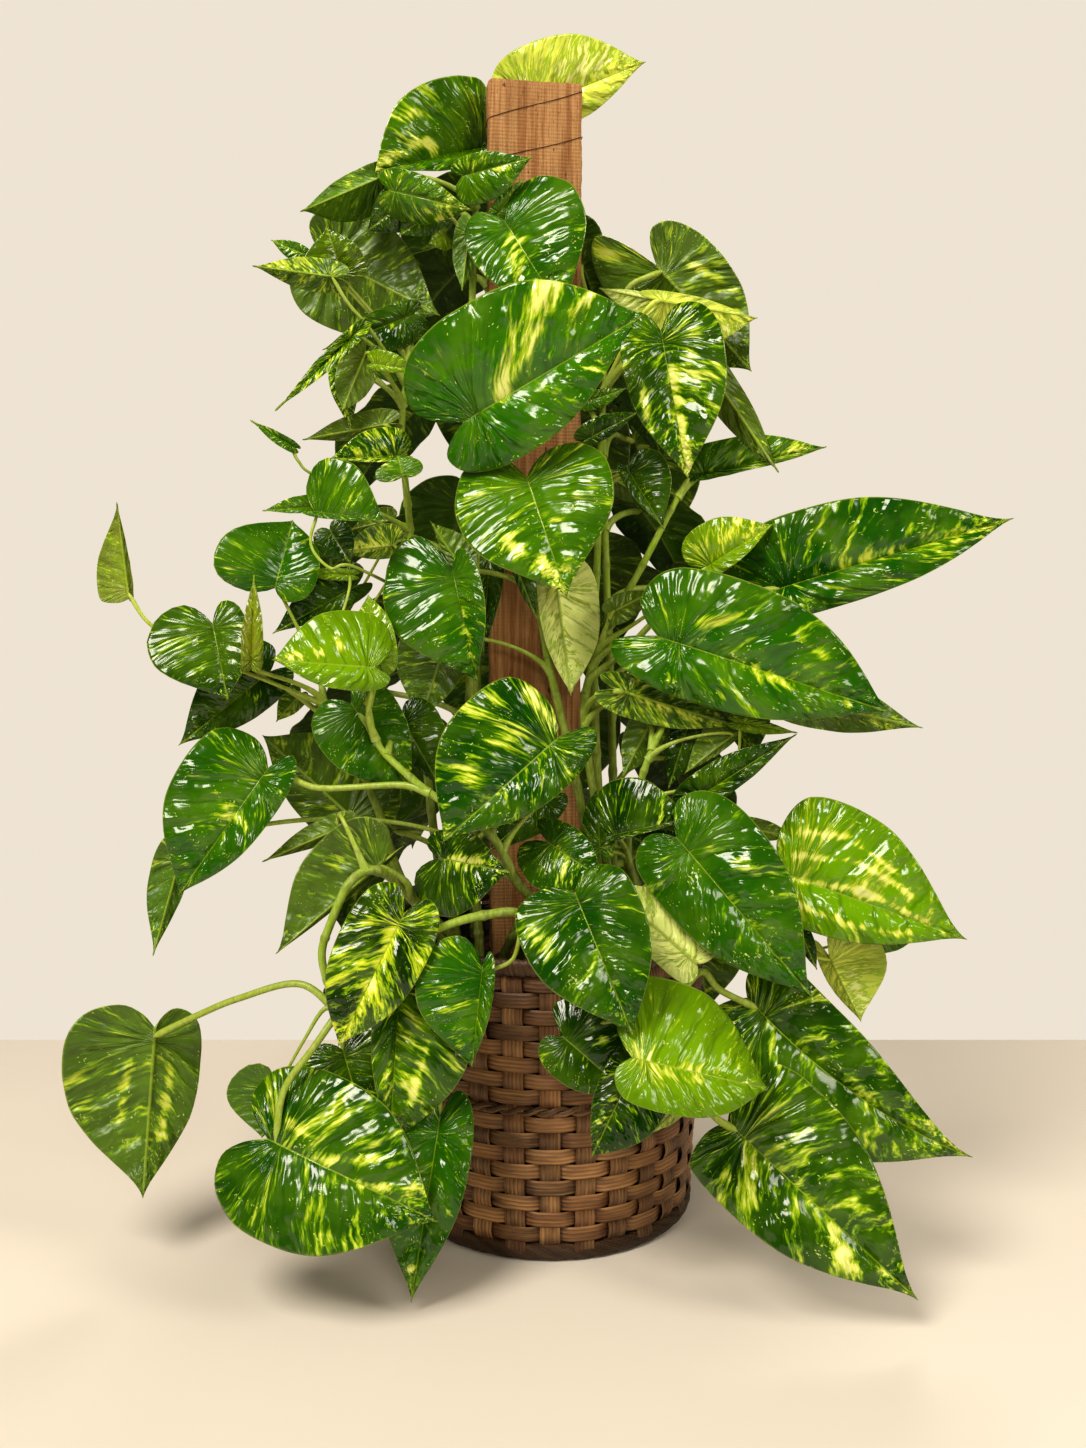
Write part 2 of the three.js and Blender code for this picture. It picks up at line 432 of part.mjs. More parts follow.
// ---------------------------------------------------------------- blades
// The frame of a front leaf: its sinus, its tip and the widths that its view shows.
function frontFrame(spec, shift) {
  const sinus = place(spec.at, shift);
  const tip = place(spec.tip, shift);
  const along = tip.clone().sub(sinus);
  const length = along.length();
  along.normalize();
  const middle = sinus.clone().add(tip).multiplyScalar(0.5);
  const sight = new V3(EYE.x, EYE.y, EYE.z).sub(middle);
  const scale = sight.length() / EYE.focal;
  const left = new V3().crossVectors(sight, along).normalize();
  const toward = new V3().crossVectors(along, left);
  const half = ([width, fold, belly = 0, lobe = LOBE]) => {
    const turn = radians(fold);
    return { width: (width * scale) / Math.cos(turn), turn, belly, lobe };
  };
  return {
    sinus, tip, along, length, left, upper: toward.clone().multiplyScalar(spec.face), face: spec.face,
    halves: [half(spec.left), half(spec.right)], bow: (spec.bow ?? 0) * scale,
  };
}

// The frame of a rear leaf: it points outwards and down, its upper face turned out and up.
function rearFrame([, bearing, height, reach, length, droop], shift) {
  const out = new V3(Math.cos(radians(bearing)), Math.sin(radians(bearing)), 0);
  const sinus = out.clone().multiplyScalar(reach + shift).setZ(height);
  const along = out.clone().multiplyScalar(Math.cos(radians(droop)))
    .addScaledVector(UP, -Math.sin(radians(droop)));
  const left = new V3().crossVectors(UP, out);
  const half = {
    width: length * REAR_BLADE.halfWidth, turn: radians(REAR_BLADE.fold), belly: REAR_BLADE.belly, lobe: LOBE,
  };
  return {
    sinus, tip: sinus.clone().addScaledVector(along, length), along, length, left,
    upper: new V3().crossVectors(along, left), face: 1, halves: [half, half], bow: 0,
  };
}

// A point of the blade: side is 1 on the left half and -1 on the right; across runs from the rib to the edge.
function onBlade(frame, side, across, down) {
  const half = frame.halves[side > 0 ? 0 : 1];
  const hump = 4 * down * (1 - down);
  const sideways = frame.bow * Math.max(hump, 0) + side * across * half.width * Math.cos(half.turn);
  const rise = BLADE.arch * frame.length * hump
    + across * half.width * (Math.sin(half.turn) - BLADE.curl * across);
  return frame.sinus.clone().addScaledVector(frame.along, frame.length * down)
    .addScaledVector(frame.left, sideways).addScaledVector(frame.upper, rise);
}

// Moves a point of the half outline along the leaf: lobes longer or shorter, belly nearer the tip.
function shaped(half, down) {
  if (down < 0) return (down * half.lobe) / LOBE;
  return down + half.belly * down * (1 - down);
}

function outlineFor(length) {
  if (length < BLADE.tinyLength) return TINY_OUTLINE;
  return length < BLADE.smallLength ? SMALL_OUTLINE : FULL_OUTLINE;
}

// The triangles of a blade, alike on its lower and its upper face, before its rim is closed.
function bladeNet(frame, thickness, sink) {
  const outline = outlineFor(frame.length);
  const low = [];
  const flat = [];
  const put = (side, across, down) => {
    low.push(onBlade(frame, side, across, down));
    flat.push([down, side * across]);
    return low.length - 1;
  };
  const ribs = [0, ...outline.slice(2).map(([, down]) => down)].map((down) => put(1, 0, down));
  const tip = put(1, 0, 1);
  const rows = [...ribs, tip];
  const faces = [];
  const edges = [1, -1].map((side) => {
    const half = frame.halves[side > 0 ? 0 : 1];
    const edge = outline.map(([across, down]) => put(side, across, shaped(half, down)));
    edge.push(tip);
    faces.push([ribs[0], edge[0], edge[1]]);
    ribs.forEach((rib, i) => {
      faces.push([rib, edge[i + 1], rows[i + 1]]);
      if (rows[i + 1] !== tip) faces.push([rows[i + 1], edge[i + 1], edge[i + 2]]);
    });
    return edge;
  });
  const top = faces.map(([a, b, c]) => {
    const area = (flat[b][0] - flat[a][0]) * (flat[c][1] - flat[a][1])
      - (flat[c][0] - flat[a][0]) * (flat[b][1] - flat[a][1]);
    return area * frame.face > 0 ? [a, b, c] : [a, c, b];
  });
  const normals = low.map(() => new V3());
  for (const [a, b, c] of top) {
    const ab = low[b].clone().sub(low[a]);
    const ac = low[c].clone().sub(low[a]);
    const normal = ab.cross(ac).normalize();
    for (const i of [a, b, c]) normals[i].add(normal);
  }
  normals.forEach((normal) => normal.normalize());
  const high = low.map((point, i) => point.clone().addScaledVector(normals[i], thickness));
  const under = low.map((point, i) => point.clone().addScaledVector(normals[i], -sink));
  // The rim runs from the sinus along one edge to the tip and back by the other, with the top on its left.
  const rim = [ribs[0], ...edges[0], ...edges[1].slice(0, -1).reverse()];
  const forward = top.some((face) => face.some((p, i) => p === rim[0] && face[(i + 1) % 3] === rim[1]));
  if (!forward) rim.reverse();
  const leftOf = (i) => edges[0].includes(i) && i !== tip;
  return { points: [...under, ...high], count: low.length, top, rim, ribs, leftOf, normal: normals[ribs[0]] };
}

// A closed blade on its own.
function bladeSolid(frame, thickness, sink = 0) {
  const { points, count, top, rim } = bladeNet(frame, thickness, sink);
  const upper = top.map((face) => face.map((i) => i + count));
  const triangles = [...upper, ...top.map(([a, b, c]) => [a, c, b])];
  rim.forEach((start, i) => {
    const end = rim[(i + 1) % rim.length];
    triangles.push([start, end, end + count], [start, end + count, start + count]);
  });
  return solidFrom(points, triangles);
}

// A blade and its petiole as one closed skin: the petiole ends in a small triangle at the sinus, with one
// corner on the upper face and one on each side under the rib.
function leafSolid(frame, route) {
  const { points, count, top, rim, ribs, leftOf, normal } = bladeNet(frame, BLADE.thickness, 0);
  const [sinus, rib] = ribs;
  const sideways = new V3().crossVectors(normal, frame.along).normalize();
  const leftWay = Math.sign(sideways.dot(frame.left));
  const under = (way) => points[sinus].clone().addScaledVector(sideways, way * PETIOLE.leafRadius)
    .addScaledVector(normal, -PETIOLE.leafRadius);
  const corner = { 1: points.length, [-1]: points.length + 1 };
  points.push(under(1), under(-1));
  const cornerBy = (i) => corner[leftOf(i) ? leftWay : -leftWay];
  const triangles = top.map((face) => face.map((i) => i + count));
  for (const [a, b, c] of top) {
    const outer = [a, b, c].find((i) => i !== sinus && i !== rib);
    triangles.push([a, c, b].map((i) => (i === sinus ? cornerBy(outer) : i)));
  }
  triangles.push([corner[-1], corner[1], rib]);
  rim.forEach((start, i) => {
    const end = rim[(i + 1) % rim.length];
    const lowStart = start === sinus ? cornerBy(end) : start;
    const lowEnd = end === sinus ? cornerBy(start) : end;
    triangles.push([lowStart, lowEnd, end + count], [lowStart, end + count, start + count]);
  });
  const stalk = route.slice(0, -1);
  const rings = ringsAlong(stalk, petioleRadii(stalk), PETIOLE.sides, FRONTWARD);
  const base = points.length;
  points.push(...rings.flat());
  const sides = PETIOLE.sides;
  rings.slice(1).forEach((_, i) => {
    for (let k = 0; k < sides; k++) {
      const a = base + i * sides + k;
      const b = base + i * sides + ((k + 1) % sides);
      triangles.push([a, b, b + sides], [a, b + sides, a + sides]);
    }
  });
  triangles.push([base, base + 2, base + 1]);
  // The triangle at the sinus is wound as the rings are, then turned to the nearest match.
  const mouth = [sinus + count, corner[-1], corner[1]];
  const last = base + (rings.length - 1) * sides;
  const match = (order) => order.reduce((sum, i, k) => sum + points[i].distanceTo(points[last + k]), 0);
  const turns = [0, 1, 2].map((n) => mouth.map((_, k) => mouth[(k + n) % 3]));
  const order = turns.sort((a, b) => match(a) - match(b))[0];
  for (let k = 0; k < sides; k++) {
    const next = (k + 1) % sides;
    triangles.push([last + k, last + next, order[next]], [last + k, order[next], order[k]]);
  }
  return solidFrom(points, triangles);
}

// ---------------------------------------------------------------- stems and petioles
const FRONTWARD = new V3(0, -1, 0);

function stemPath(root, points) {
  const [x, y] = root;
  return [new V3(x, y, SOIL.edge - STEM.depth), new V3(x, y, SOIL.crown + STEM.collar), ...points];
}

function stemSolid(path) {
  const radii = path.map((_, i) => (i + 1 < path.length ? STEM.radius : STEM.endRadius));
  return tube(path, radii, STEM.sides, FRONTWARD);
}

function alongPath(path, spot) {
  const i = Math.min(Math.floor(spot), path.length - 2);
  return path[i].clone().lerp(path[i + 1], spot - i);
}

// A petiole leaves its stem at the nearest place that lies a little below the leaf.
function petioleRoot(path, target) {
  let best = null;
  let least = Infinity;
  for (let spot = 1.5; spot <= path.length - 1.05; spot += 0.25) {
    const point = alongPath(path, spot);
    const cost = point.distanceTo(target) + 1.5 * Math.max(0, point.z - target.z + 25);
    if (cost < least) {
      least = cost;
      best = point;
    }
  }
  return best;
}

// The ways a petiole may bend to stay clear: [along the leaf's left, towards its upper face, upwards].
const BENDS = [
  [0, 0, 0], [0, -18, 0], [16, -8, 0], [-16, -8, 0], [0, -8, 20], [0, 16, 0],
  [0, -8, -20], [0, -36, 0], [34, -16, 0], [-34, -16, 0], [0, -20, 40], [0, 34, 0],
];

function petiolePath(frame, path, via, bend) {
  const end = onBlade(frame, 1, 0, BLADE.rootSink).addScaledVector(frame.upper, BLADE.thickness / 2);
  const [sideways, upwards, lift] = bend;
  const bent = new V3().addScaledVector(frame.left, sideways).addScaledVector(frame.upper, upwards)
    .addScaledVector(UP, lift);
  if (via) {
    const stops = via.map((stop) => stop.clone().addScaledVector(bent, 0.5));
    return necked([petioleRoot(path, stops[0]), ...stops, end]);
  }
  const start = petioleRoot(path, frame.sinus);
  const reach = start.distanceTo(end);
  const outward = end.clone().sub(start).setZ(0).normalize();
  const leave = outward.multiplyScalar(0.5).addScaledVector(UP, 0.8).normalize();
  const first = start.clone().addScaledVector(leave, 0.35 * reach).add(bent);
  const second = end.clone().addScaledVector(frame.along, -0.12 * reach)
    .addScaledVector(frame.upper, -0.24 * reach).addScaledVector(bent, 0.6);
  const curve = new THREE.CubicBezierCurve3(start, first, second, end);
  return necked(curve.getPoints(reach < PETIOLE.shortReach ? PETIOLE.steps - 1 : PETIOLE.steps));
}

// The last stretch of a petiole draws in to a point inside the rib.
function necked(points) {
  const end = points.at(-1);
  const before = points.at(-2);
  const neck = end.clone().lerp(before, PETIOLE.neck / end.distanceTo(before));
  return [...points.slice(0, -1), neck, end];
}

const petioleRadii = (path) =>
  path.map((_, i) => THREE.MathUtils.lerp(PETIOLE.baseRadius, PETIOLE.leafRadius, i / (path.length - 1)));

function petioleSolid(path, extra = 0) {
  const radii = petioleRadii(path);
  radii[path.length - 1] = PETIOLE.pointRadius;
  return tube(path, radii.map((radius) => radius + extra), PETIOLE.sides, FRONTWARD);
}

// ---------------------------------------------------------------- board, ties, basket, pot, soil
function boardOutline(grow = 0) {
  const half = BOARD.width / 2 + grow;
  const depth = BOARD.thickness / 2 + grow;
  const middle = new THREE.Vector2(BOARD.x, BOARD.y);
  const corners = [[-half, -depth], [half, -depth], [half, depth], [-half, depth]];
  return corners.map(([x, y]) =>
    new THREE.Vector2(x, y).add(middle).rotateAround(middle, radians(BOARD.turn)));
}

function boardGeometry(from, to, grow = 0) {
  const shape = new THREE.Shape(boardOutline(grow));
  return new THREE.ExtrudeGeometry(shape, { depth: to - from, bevelEnabled: false }).translate(0, 0, from);
}

// A wire wound once round the board, higher on one side than on the other.
const TIES = [
  { name: "tie_top", middle: 957, slant: 13 },
  { name: "tie_high", middle: 921, slant: 12 },
  { name: "tie_middle", middle: 628, slant: 10 },
];

function tieSolid({ middle, slant }) {
  const height = (corner) => middle + slant * ((corner.x - BOARD.x) / (BOARD.width / 2));
  const spots = boardOutline(TIE.standOff).map((corner) => new V3(corner.x, corner.y, height(corner)));
  const points = [];
  const triangles = [];
  spots.forEach((spot, i) => {
    const out = spot.clone().sub(new V3(BOARD.x, BOARD.y, spot.z)).normalize();
    for (let k = 0; k < TIE.sides; k++) {
      const turn = (2 * Math.PI * k) / TIE.sides;
      points.push(spot.clone().addScaledVector(out, TIE.wire * Math.cos(turn))
        .addScaledVector(UP, TIE.wire * Math.sin(turn)));
    }
    for (let k = 0; k < TIE.sides; k++) {
      const a = i * TIE.sides + k;
      const b = i * TIE.sides + ((k + 1) % TIE.sides);
      const next = (((i + 1) % spots.length) - i) * TIE.sides;
      triangles.push([a, a + next, b + next], [a, b + next, b]);
    }
  });
  return solidFrom(points, triangles);
}

const wallRadius = (z) => THREE.MathUtils.lerp(BASKET.footRadius, BASKET.rimRadius, z / BASKET.height);

// The basket: splints that pass over and under the stakes, row by row, as relief on a round wall.
function basketSolid() {
  const sides = BASKET.stakes;
  const hidden = BASKET.relief + 1;
  const from = FOOT.height + 1.5;
  const to = BASKET.height - RIM.height - 1.5;
  const pitch = (to - from) / BASKET.rows;
  const levels = [];
  levels.push({ z: 0, radius: () => BASKET.footRadius - BASKET.footInset });
  levels.push({ z: FOOT.height, radius: () => wallRadius(FOOT.height) - hidden });
  for (let row = 0; row < BASKET.rows; row++) {
    const middle = from + (row + 0.5) * pitch;
    const banded = Math.abs(middle - BAND.middle) < pitch / 2;
    const over = (k) => BASKET.relief * ((k + row) % 2 ? 1 : -1);
    const weave = (k) => wallRadius(middle) + (banded ? -BASKET.bandDip : over(k));
    levels.push({ z: middle - 0.36 * pitch, radius: weave });
    levels.push({ z: middle + 0.36 * pitch, radius: weave });
  }
  levels.push({ z: to + 1.5, radius: () => wallRadius(to) - hidden });
  levels.push({ z: BASKET.height - 2, radius: () => wallRadius(to) - hidden });
  levels.push({ z: BASKET.height - 2, radius: () => wallRadius(BASKET.height) - hidden - BASKET.wall });
  levels.push({ z: BASKET.floor, radius: () => wallRadius(BASKET.floor) - hidden - BASKET.wall });
  const points = [new V3(0, 0, 0)];
  for (const level of levels) {
    for (let k = 0; k < sides; k++) {
      const turn = (2 * Math.PI * k) / sides;
      const radius = level.radius(k);
      points.push(new V3(radius * Math.cos(turn), radius * Math.sin(turn), level.z));
    }
  }
  points.push(new V3(0, 0, BASKET.floor));
  const triangles = [];
  for (let k = 0; k < sides; k++) {
    const next = (k + 1) % sides;
    triangles.push([0, 1 + next, 1 + k]);
    for (let i = 0; i + 1 < levels.length; i++) {
      const a = 1 + i * sides + k;
      const b = 1 + i * sides + next;
      triangles.push([a, b, b + sides], [a, b + sides, a + sides]);
    }
    const last = 1 + (levels.length - 1) * sides;
    triangles.push([last + k, last + next, points.length - 1]);
  }
  return solidFrom(points, triangles);
}

// A hoop round the wall, its outer face narrower than its inner one.
function hoop(low, high, inner, outer) {
  const bevel = (high - low) * 0.2;
  const profile = [[inner, low], [outer, low + bevel], [outer, high - bevel], [inner, high], [inner, low]];
  return turned(profile, BASKET.stakes);
}

const potFloor = POT.lift + POT.wall;
const potRadius = (z) =>
  THREE.MathUtils.lerp(POT.footRadius, POT.topRadius - POT.lip, (z - POT.lift) / (POT.top - POT.lift));

function potSolid() {
  const lipFrom = POT.top - POT.lipHeight;
  return turned([
    [0, POT.lift], [POT.footRadius, POT.lift], [potRadius(lipFrom), lipFrom], [POT.topRadius, lipFrom],
    [POT.topRadius, POT.top], [potRadius(POT.top) - POT.wall, POT.top],
    [POT.footRadius - POT.wall, potFloor], [0, potFloor],
  ], POT.sides);
}

function soilSolid(roots) {
  const low = potFloor + FIT_GAP;
  const side = (z) => potRadius(z) - POT.wall - FIT_GAP;
  const edge = side(SOIL.edge);
  const heap = turned([
    [0, low], [side(low), low], [edge, SOIL.edge], [edge - SOIL.slope, SOIL.crown], [0, SOIL.crown],
  ], SOIL.sides);
  const holeFrom = SOIL.edge - STEM.depth - FIT_GAP;
  const holeHeight = SOIL.crown + 5 - holeFrom;
  const holes = roots.map(([x, y]) => {
    const drill = new THREE.CylinderGeometry(STEM.hole, STEM.hole, holeHeight, STEM.holeSides);
    return solidOf(drill.rotateX(Math.PI / 2).translate(x, y, holeFrom + holeHeight / 2));
  });
  const slot = solidOf(boardGeometry(0, SOIL.crown + 5, FIT_GAP));
  return heap.subtract(Manifold.union([slot, ...holes]));
}

// ---------------------------------------------------------------- growing the plant clear of itself
const boxOf = (solid) => {
  const { min, max } = solid.boundingBox();
  return new THREE.Box3(new V3(...min), new V3(...max));
};
const taken = []; // every solid placed so far: { solid, box, vine, part }

function occupy(solid, vine, part) {
  taken.push({ solid, box: boxOf(solid), vine, part });
}

function clear(solid, skip) {
  const box = boxOf(solid);
  if (box.min.z < CLEARANCE.floor) return false;
  return taken.every((other) => {
    if (skip(other) || !other.box.intersectsBox(box)) return true;
    const overlap = other.solid.intersect(solid);
    const empty = overlap.isEmpty();
    overlap.delete();
    return empty;
  });
}

// Depth shifts tried in turn: mostly away from the viewer, behind what is already placed.
const SHIFTS = [0, 5, -5, 10, 15, -10, 20, 26, -16, 32, 38, 46, -24, 54, 64, 76, -34, 90];
const OTHER_VINES = 4; // how many neighbouring stems a leaf may move to

// Finds where a leaf and its petiole are clear of all that stands; unless strict, its own vine may be cut.
function settle(job, strict) {
  const { vine, path } = job;
  for (const shift of SHIFTS) {
    const frame = job.frame(shift);
    const test = bladeSolid(frame, BLADE.thickness + CLEARANCE.blade, CLEARANCE.blade);
    const free = clear(test, (other) => !strict && other.vine === vine);
    test.delete();
    if (!free) continue;
    const via = job.via?.map((stop) => place(stop, shift));
    for (const bend of BENDS) {
      const route = petiolePath(frame, path, via, bend);
      const stalk = petioleSolid(route, CLEARANCE.petiole);
      const stalkFree = clear(stalk, (other) => other.vine === vine && (!strict || other.part !== "blade"));
      stalk.delete();
      if (stalkFree) return { vine, frame, route };
    }
  }
  return null;
}

// The same, on one of the nearest other stems.
function settleNear(job, paths) {
  const aim = job.frame(0).sinus;
  const gap = (vine) => petioleRoot(paths[vine], aim).distanceTo(aim);
  const others = Object.keys(paths).filter((vine) => vine !== job.vine).sort((a, b) => gap(a) - gap(b));
  for (const vine of others.slice(0, OTHER_VINES)) {
    const spot = settle({ ...job, vine, path: paths[vine] }, false);
    if (spot) return spot;
  }
  return null;
}

function leafJobs(paths) {
  const front = Object.entries({ ...VINES, ...REAR_VINES }).flatMap(([vine, { leaves = [] }]) =>
    leaves.map((spec) => ({
      vine, path: paths[vine], via: spec.via, frame: (shift) => frontFrame(spec, shift),
      depth: Math.min(spec.at[2], spec.tip[2]),
    })));
  front.sort((a, b) => a.depth - b.depth);
  const rear = REAR_LEAVES.map((row) => ({
    vine: row[0], path: paths[row[0]], frame: (shift) => rearFrame(row, shift),
  }));
  return [...front, ...rear];
}

function growPlant(fixed) {
  fixed.forEach((solid) => occupy(solid, "fixed", "fixed"));
  const paths = {};
  for (const [vine, { root, route }] of Object.entries(VINES)) {
    paths[vine] = stemPath(root, route.map((stop) => place(stop)));
  }
  for (const [vine, { root, path }] of Object.entries(REAR_VINES)) {
    paths[vine] = stemPath(root, path.map((point) => new V3(...point)));
  }
  const pieces = {};
  for (const [vine, path] of Object.entries(paths)) {
    const stem = stemSolid(path);
    pieces[vine] = [stem];
    occupy(stem, vine, "stem");
  }
  for (const job of leafJobs(paths)) {
    const spot = settle(job, true) ?? settle(job, false) ?? settleNear(job, paths);
    if (!spot) continue;
    const { vine, frame, route } = spot;
    const blade = bladeSolid(frame, BLADE.thickness);
    const stalk = petioleSolid(route);
    occupy(blade, vine, "blade");
    occupy(stalk, vine, "petiole");
    const apart = petioleSolid(route.slice(0, -1)).intersect(blade).isEmpty();
    if (apart) pieces[vine].push(leafSolid(frame, route));
    else pieces[vine].push(blade, stalk);
  }
  const whole = (solids) => Manifold.union(solids).decompose().sort((a, b) => b.volume() - a.volume())[0];
  return Object.entries(pieces).map(([vine, solids]) => ({ name: vine, solid: whole(solids) }));
}

// ---------------------------------------------------------------- assembly
const FINISH = {
  splint: { color: 0x8a5a36, roughness: 0.6 },
  trim: { color: 0x6e4529, roughness: 0.65 },
  plastic: { color: 0x1c1c1d, roughness: 0.5 },
  soil: { color: 0x2f2119, roughness: 0.95 },
  wood: { color: 0x9a5b33, roughness: 0.8 },
  wire: { color: 0x2b2420, roughness: 0.5 },
  leaf: { color: 0x3f7d1e, roughness: 0.3 },
};

const part = new THREE.Group();
part.name = "potted_pothos";

function add(name, geometry, finish) {
  const mesh = new THREE.Mesh(geometry, new THREE.MeshStandardMaterial({ metalness: 0, ...FINISH[finish] }));
  mesh.name = name;
  part.add(mesh);
}

const rimFrom = BASKET.height - RIM.height;
const rimInner = wallRadius(rimFrom) - BASKET.relief - 1 + FIT_GAP;
const rimOuter = wallRadius(BASKET.height) - BASKET.relief + RIM.thickness;
const bandFrom = BAND.middle - BAND.height / 2;
const bandInner = wallRadius(BAND.middle) - BAND.sink;
const footInner = wallRadius(FOOT.height) - BASKET.relief - 1 + FIT_GAP;
const footOuter = wallRadius(0) + FOOT.thickness;
const roots = [...Object.values(VINES), ...Object.values(REAR_VINES)].map(({ root }) => root);

const furniture = [
  { name: "basket", solid: basketSolid(), finish: "splint" },
  { name: "basket_rim", solid: hoop(rimFrom, BASKET.height, rimInner, rimOuter), finish: "trim" },
  {
    name: "basket_band", finish: "trim",
    solid: hoop(bandFrom, bandFrom + BAND.height, bandInner, bandInner + BAND.sink + BAND.stand),
  },
  { name: "basket_foot", solid: hoop(0, FOOT.height, footInner, footOuter), finish: "trim" },
  { name: "nursery_pot", solid: potSolid(), finish: "plastic" },
  { name: "soil", solid: soilSolid(roots), finish: "soil" },
  { name: "board", solid: solidOf(boardGeometry(potFloor + FIT_GAP, BOARD.top)), finish: "wood" },
  ...TIES.map((tie) => ({ name: tie.name, solid: tieSolid(tie), finish: "wire" })),
];
furniture.forEach(({ name, solid, finish }) => add(name, geometryOf(solid), finish));

const plant = growPlant(furniture.map(({ solid }) => solid));
plant.forEach(({ name, solid }) => add(name, geometryOf(solid), "leaf"));

export default part;
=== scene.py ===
"""A variegated pothos on a rough board, in a grower's pot set inside a round woven basket.

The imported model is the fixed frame. Every leafy stem of it is regrown here leaf for leaf with fine
blades, petioles and marbling, and the basket, pot, soil, board and wires are made with their weave,
grain and finish. Growing rules work in millimetres; every finished mesh is in metres.
"""

import json
import logging
import math
from dataclasses import dataclass, field
from enum import Enum
from typing import Any, Sequence

import bpy
import numpy as np
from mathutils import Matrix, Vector
from mathutils.kdtree import KDTree

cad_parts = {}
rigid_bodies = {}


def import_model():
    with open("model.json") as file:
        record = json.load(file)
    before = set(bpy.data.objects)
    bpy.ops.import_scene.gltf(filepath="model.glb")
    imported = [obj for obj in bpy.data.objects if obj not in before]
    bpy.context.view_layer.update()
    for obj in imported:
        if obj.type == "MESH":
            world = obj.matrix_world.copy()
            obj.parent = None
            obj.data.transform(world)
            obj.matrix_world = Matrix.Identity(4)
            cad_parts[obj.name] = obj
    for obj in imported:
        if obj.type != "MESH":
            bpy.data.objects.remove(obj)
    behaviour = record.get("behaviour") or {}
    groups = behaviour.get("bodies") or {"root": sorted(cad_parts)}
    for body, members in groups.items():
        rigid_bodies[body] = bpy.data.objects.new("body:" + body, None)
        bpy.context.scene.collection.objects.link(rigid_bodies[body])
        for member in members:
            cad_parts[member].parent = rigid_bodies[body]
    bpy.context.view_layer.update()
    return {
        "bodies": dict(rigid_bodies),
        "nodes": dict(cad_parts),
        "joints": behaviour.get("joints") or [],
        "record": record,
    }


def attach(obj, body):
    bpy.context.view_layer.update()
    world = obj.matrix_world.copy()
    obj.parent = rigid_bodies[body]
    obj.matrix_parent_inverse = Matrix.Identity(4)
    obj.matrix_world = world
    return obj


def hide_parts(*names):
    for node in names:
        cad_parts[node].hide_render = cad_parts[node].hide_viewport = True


LOG = logging.getLogger("pothos")
MM = 0.001
BODY = "root"
UP = np.array((0.0, 0.0, 1.0))
TURN = 2 * math.pi

Point = tuple[float, float, float]
Material = bpy.types.Material
Piece = bpy.types.Object
Mesh = bpy.types.Mesh


def srgb(code: str) -> Point:
    """Turns a colour as seen on a screen into the linear one that shaders take.

    Args:
        code: Six hexadecimal digits, such as "3f7a1c".

    Returns:
        Linear red, green and blue.
    """
    parts = [int(code[i:i + 2], 16) / 255 for i in (0, 2, 4)]
    red, green, blue = (p / 12.92 if p <= 0.04045 else ((p + 0.055) / 1.055) ** 2.4 for p in parts)
    return (red, green, blue)


def smooth(low: float, high: float, value: np.ndarray) -> np.ndarray:
    """Rises smoothly from 0 at low to 1 at high."""
    t = np.clip((value - low) / (high - low), 0.0, 1.0)
    return t * t * (3 - 2 * t)


def unit(vector: np.ndarray) -> np.ndarray:
    """Scales vectors to a length of one along their last axis."""
    return vector / np.maximum(np.linalg.norm(vector, axis=-1, keepdims=True), 1e-9)


def bell(value: np.ndarray, width: float) -> np.ndarray:
    """Falls from 1 at zero towards 0 on both sides of it."""
    return np.exp(-(value / width) ** 2)


def seed_of(name: str) -> float:
    """Gives a leaf or stem its own steady number.

    Args:
        name: Its name, from whose letters the number comes.

    Returns:
        A number from 0 to 100.
    """
    total = 7
    for letter in name:
        total = (total * 31 + ord(letter)) % 9973
    return total % 1000 / 10


def spline(controls: Sequence[Sequence[float]], count: int) -> np.ndarray:
    """Draws a smooth curve through its control points.

    Args:
        controls: The points to pass through, in order.
        count: How many points to return, evenly spread over the controls.

    Returns:
        The points of a Catmull-Rom curve, one a row.
    """
    points = np.asarray(controls, float)
    padded = np.vstack((2 * points[0] - points[1], points, 2 * points[-1] - points[-2]))
    spots = np.linspace(0, len(points) - 1, count)
    left = np.minimum(spots.astype(int), len(points) - 2)
    t = (spots - left)[:, None]
    a, b, c, d = (padded[left + k] for k in range(4))
    return 0.5 * (2 * b + (c - a) * t + (2 * a - 5 * b + 4 * c - d) * t**2
                  + (3 * b - a - 3 * c + d) * t**3)


def steps_along(points: np.ndarray) -> np.ndarray:
    """Measures the steps between neighbouring points of a line."""
    return np.linalg.norm(np.diff(points, axis=0), axis=1)


# ---------------------------------------------------------------- meshes
def link(obj: Piece) -> Piece:
    """Puts an object into the scene and hands it back."""
    bpy.context.scene.collection.objects.link(obj)
    return obj


def dress(piece: Piece, slot: str, *nodes: str) -> None:
    """Makes a piece ride with the plant in place of nodes of the frame, and reports it.

    Args:
        piece: The finished piece.
        slot: The name of a finish slot; not used.
        *nodes: The nodes that it stands in for.
    """
    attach(piece, BODY)
    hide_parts(*nodes)
    LOG.info("%s: %d faces", piece.name, len(piece.data.polygons))


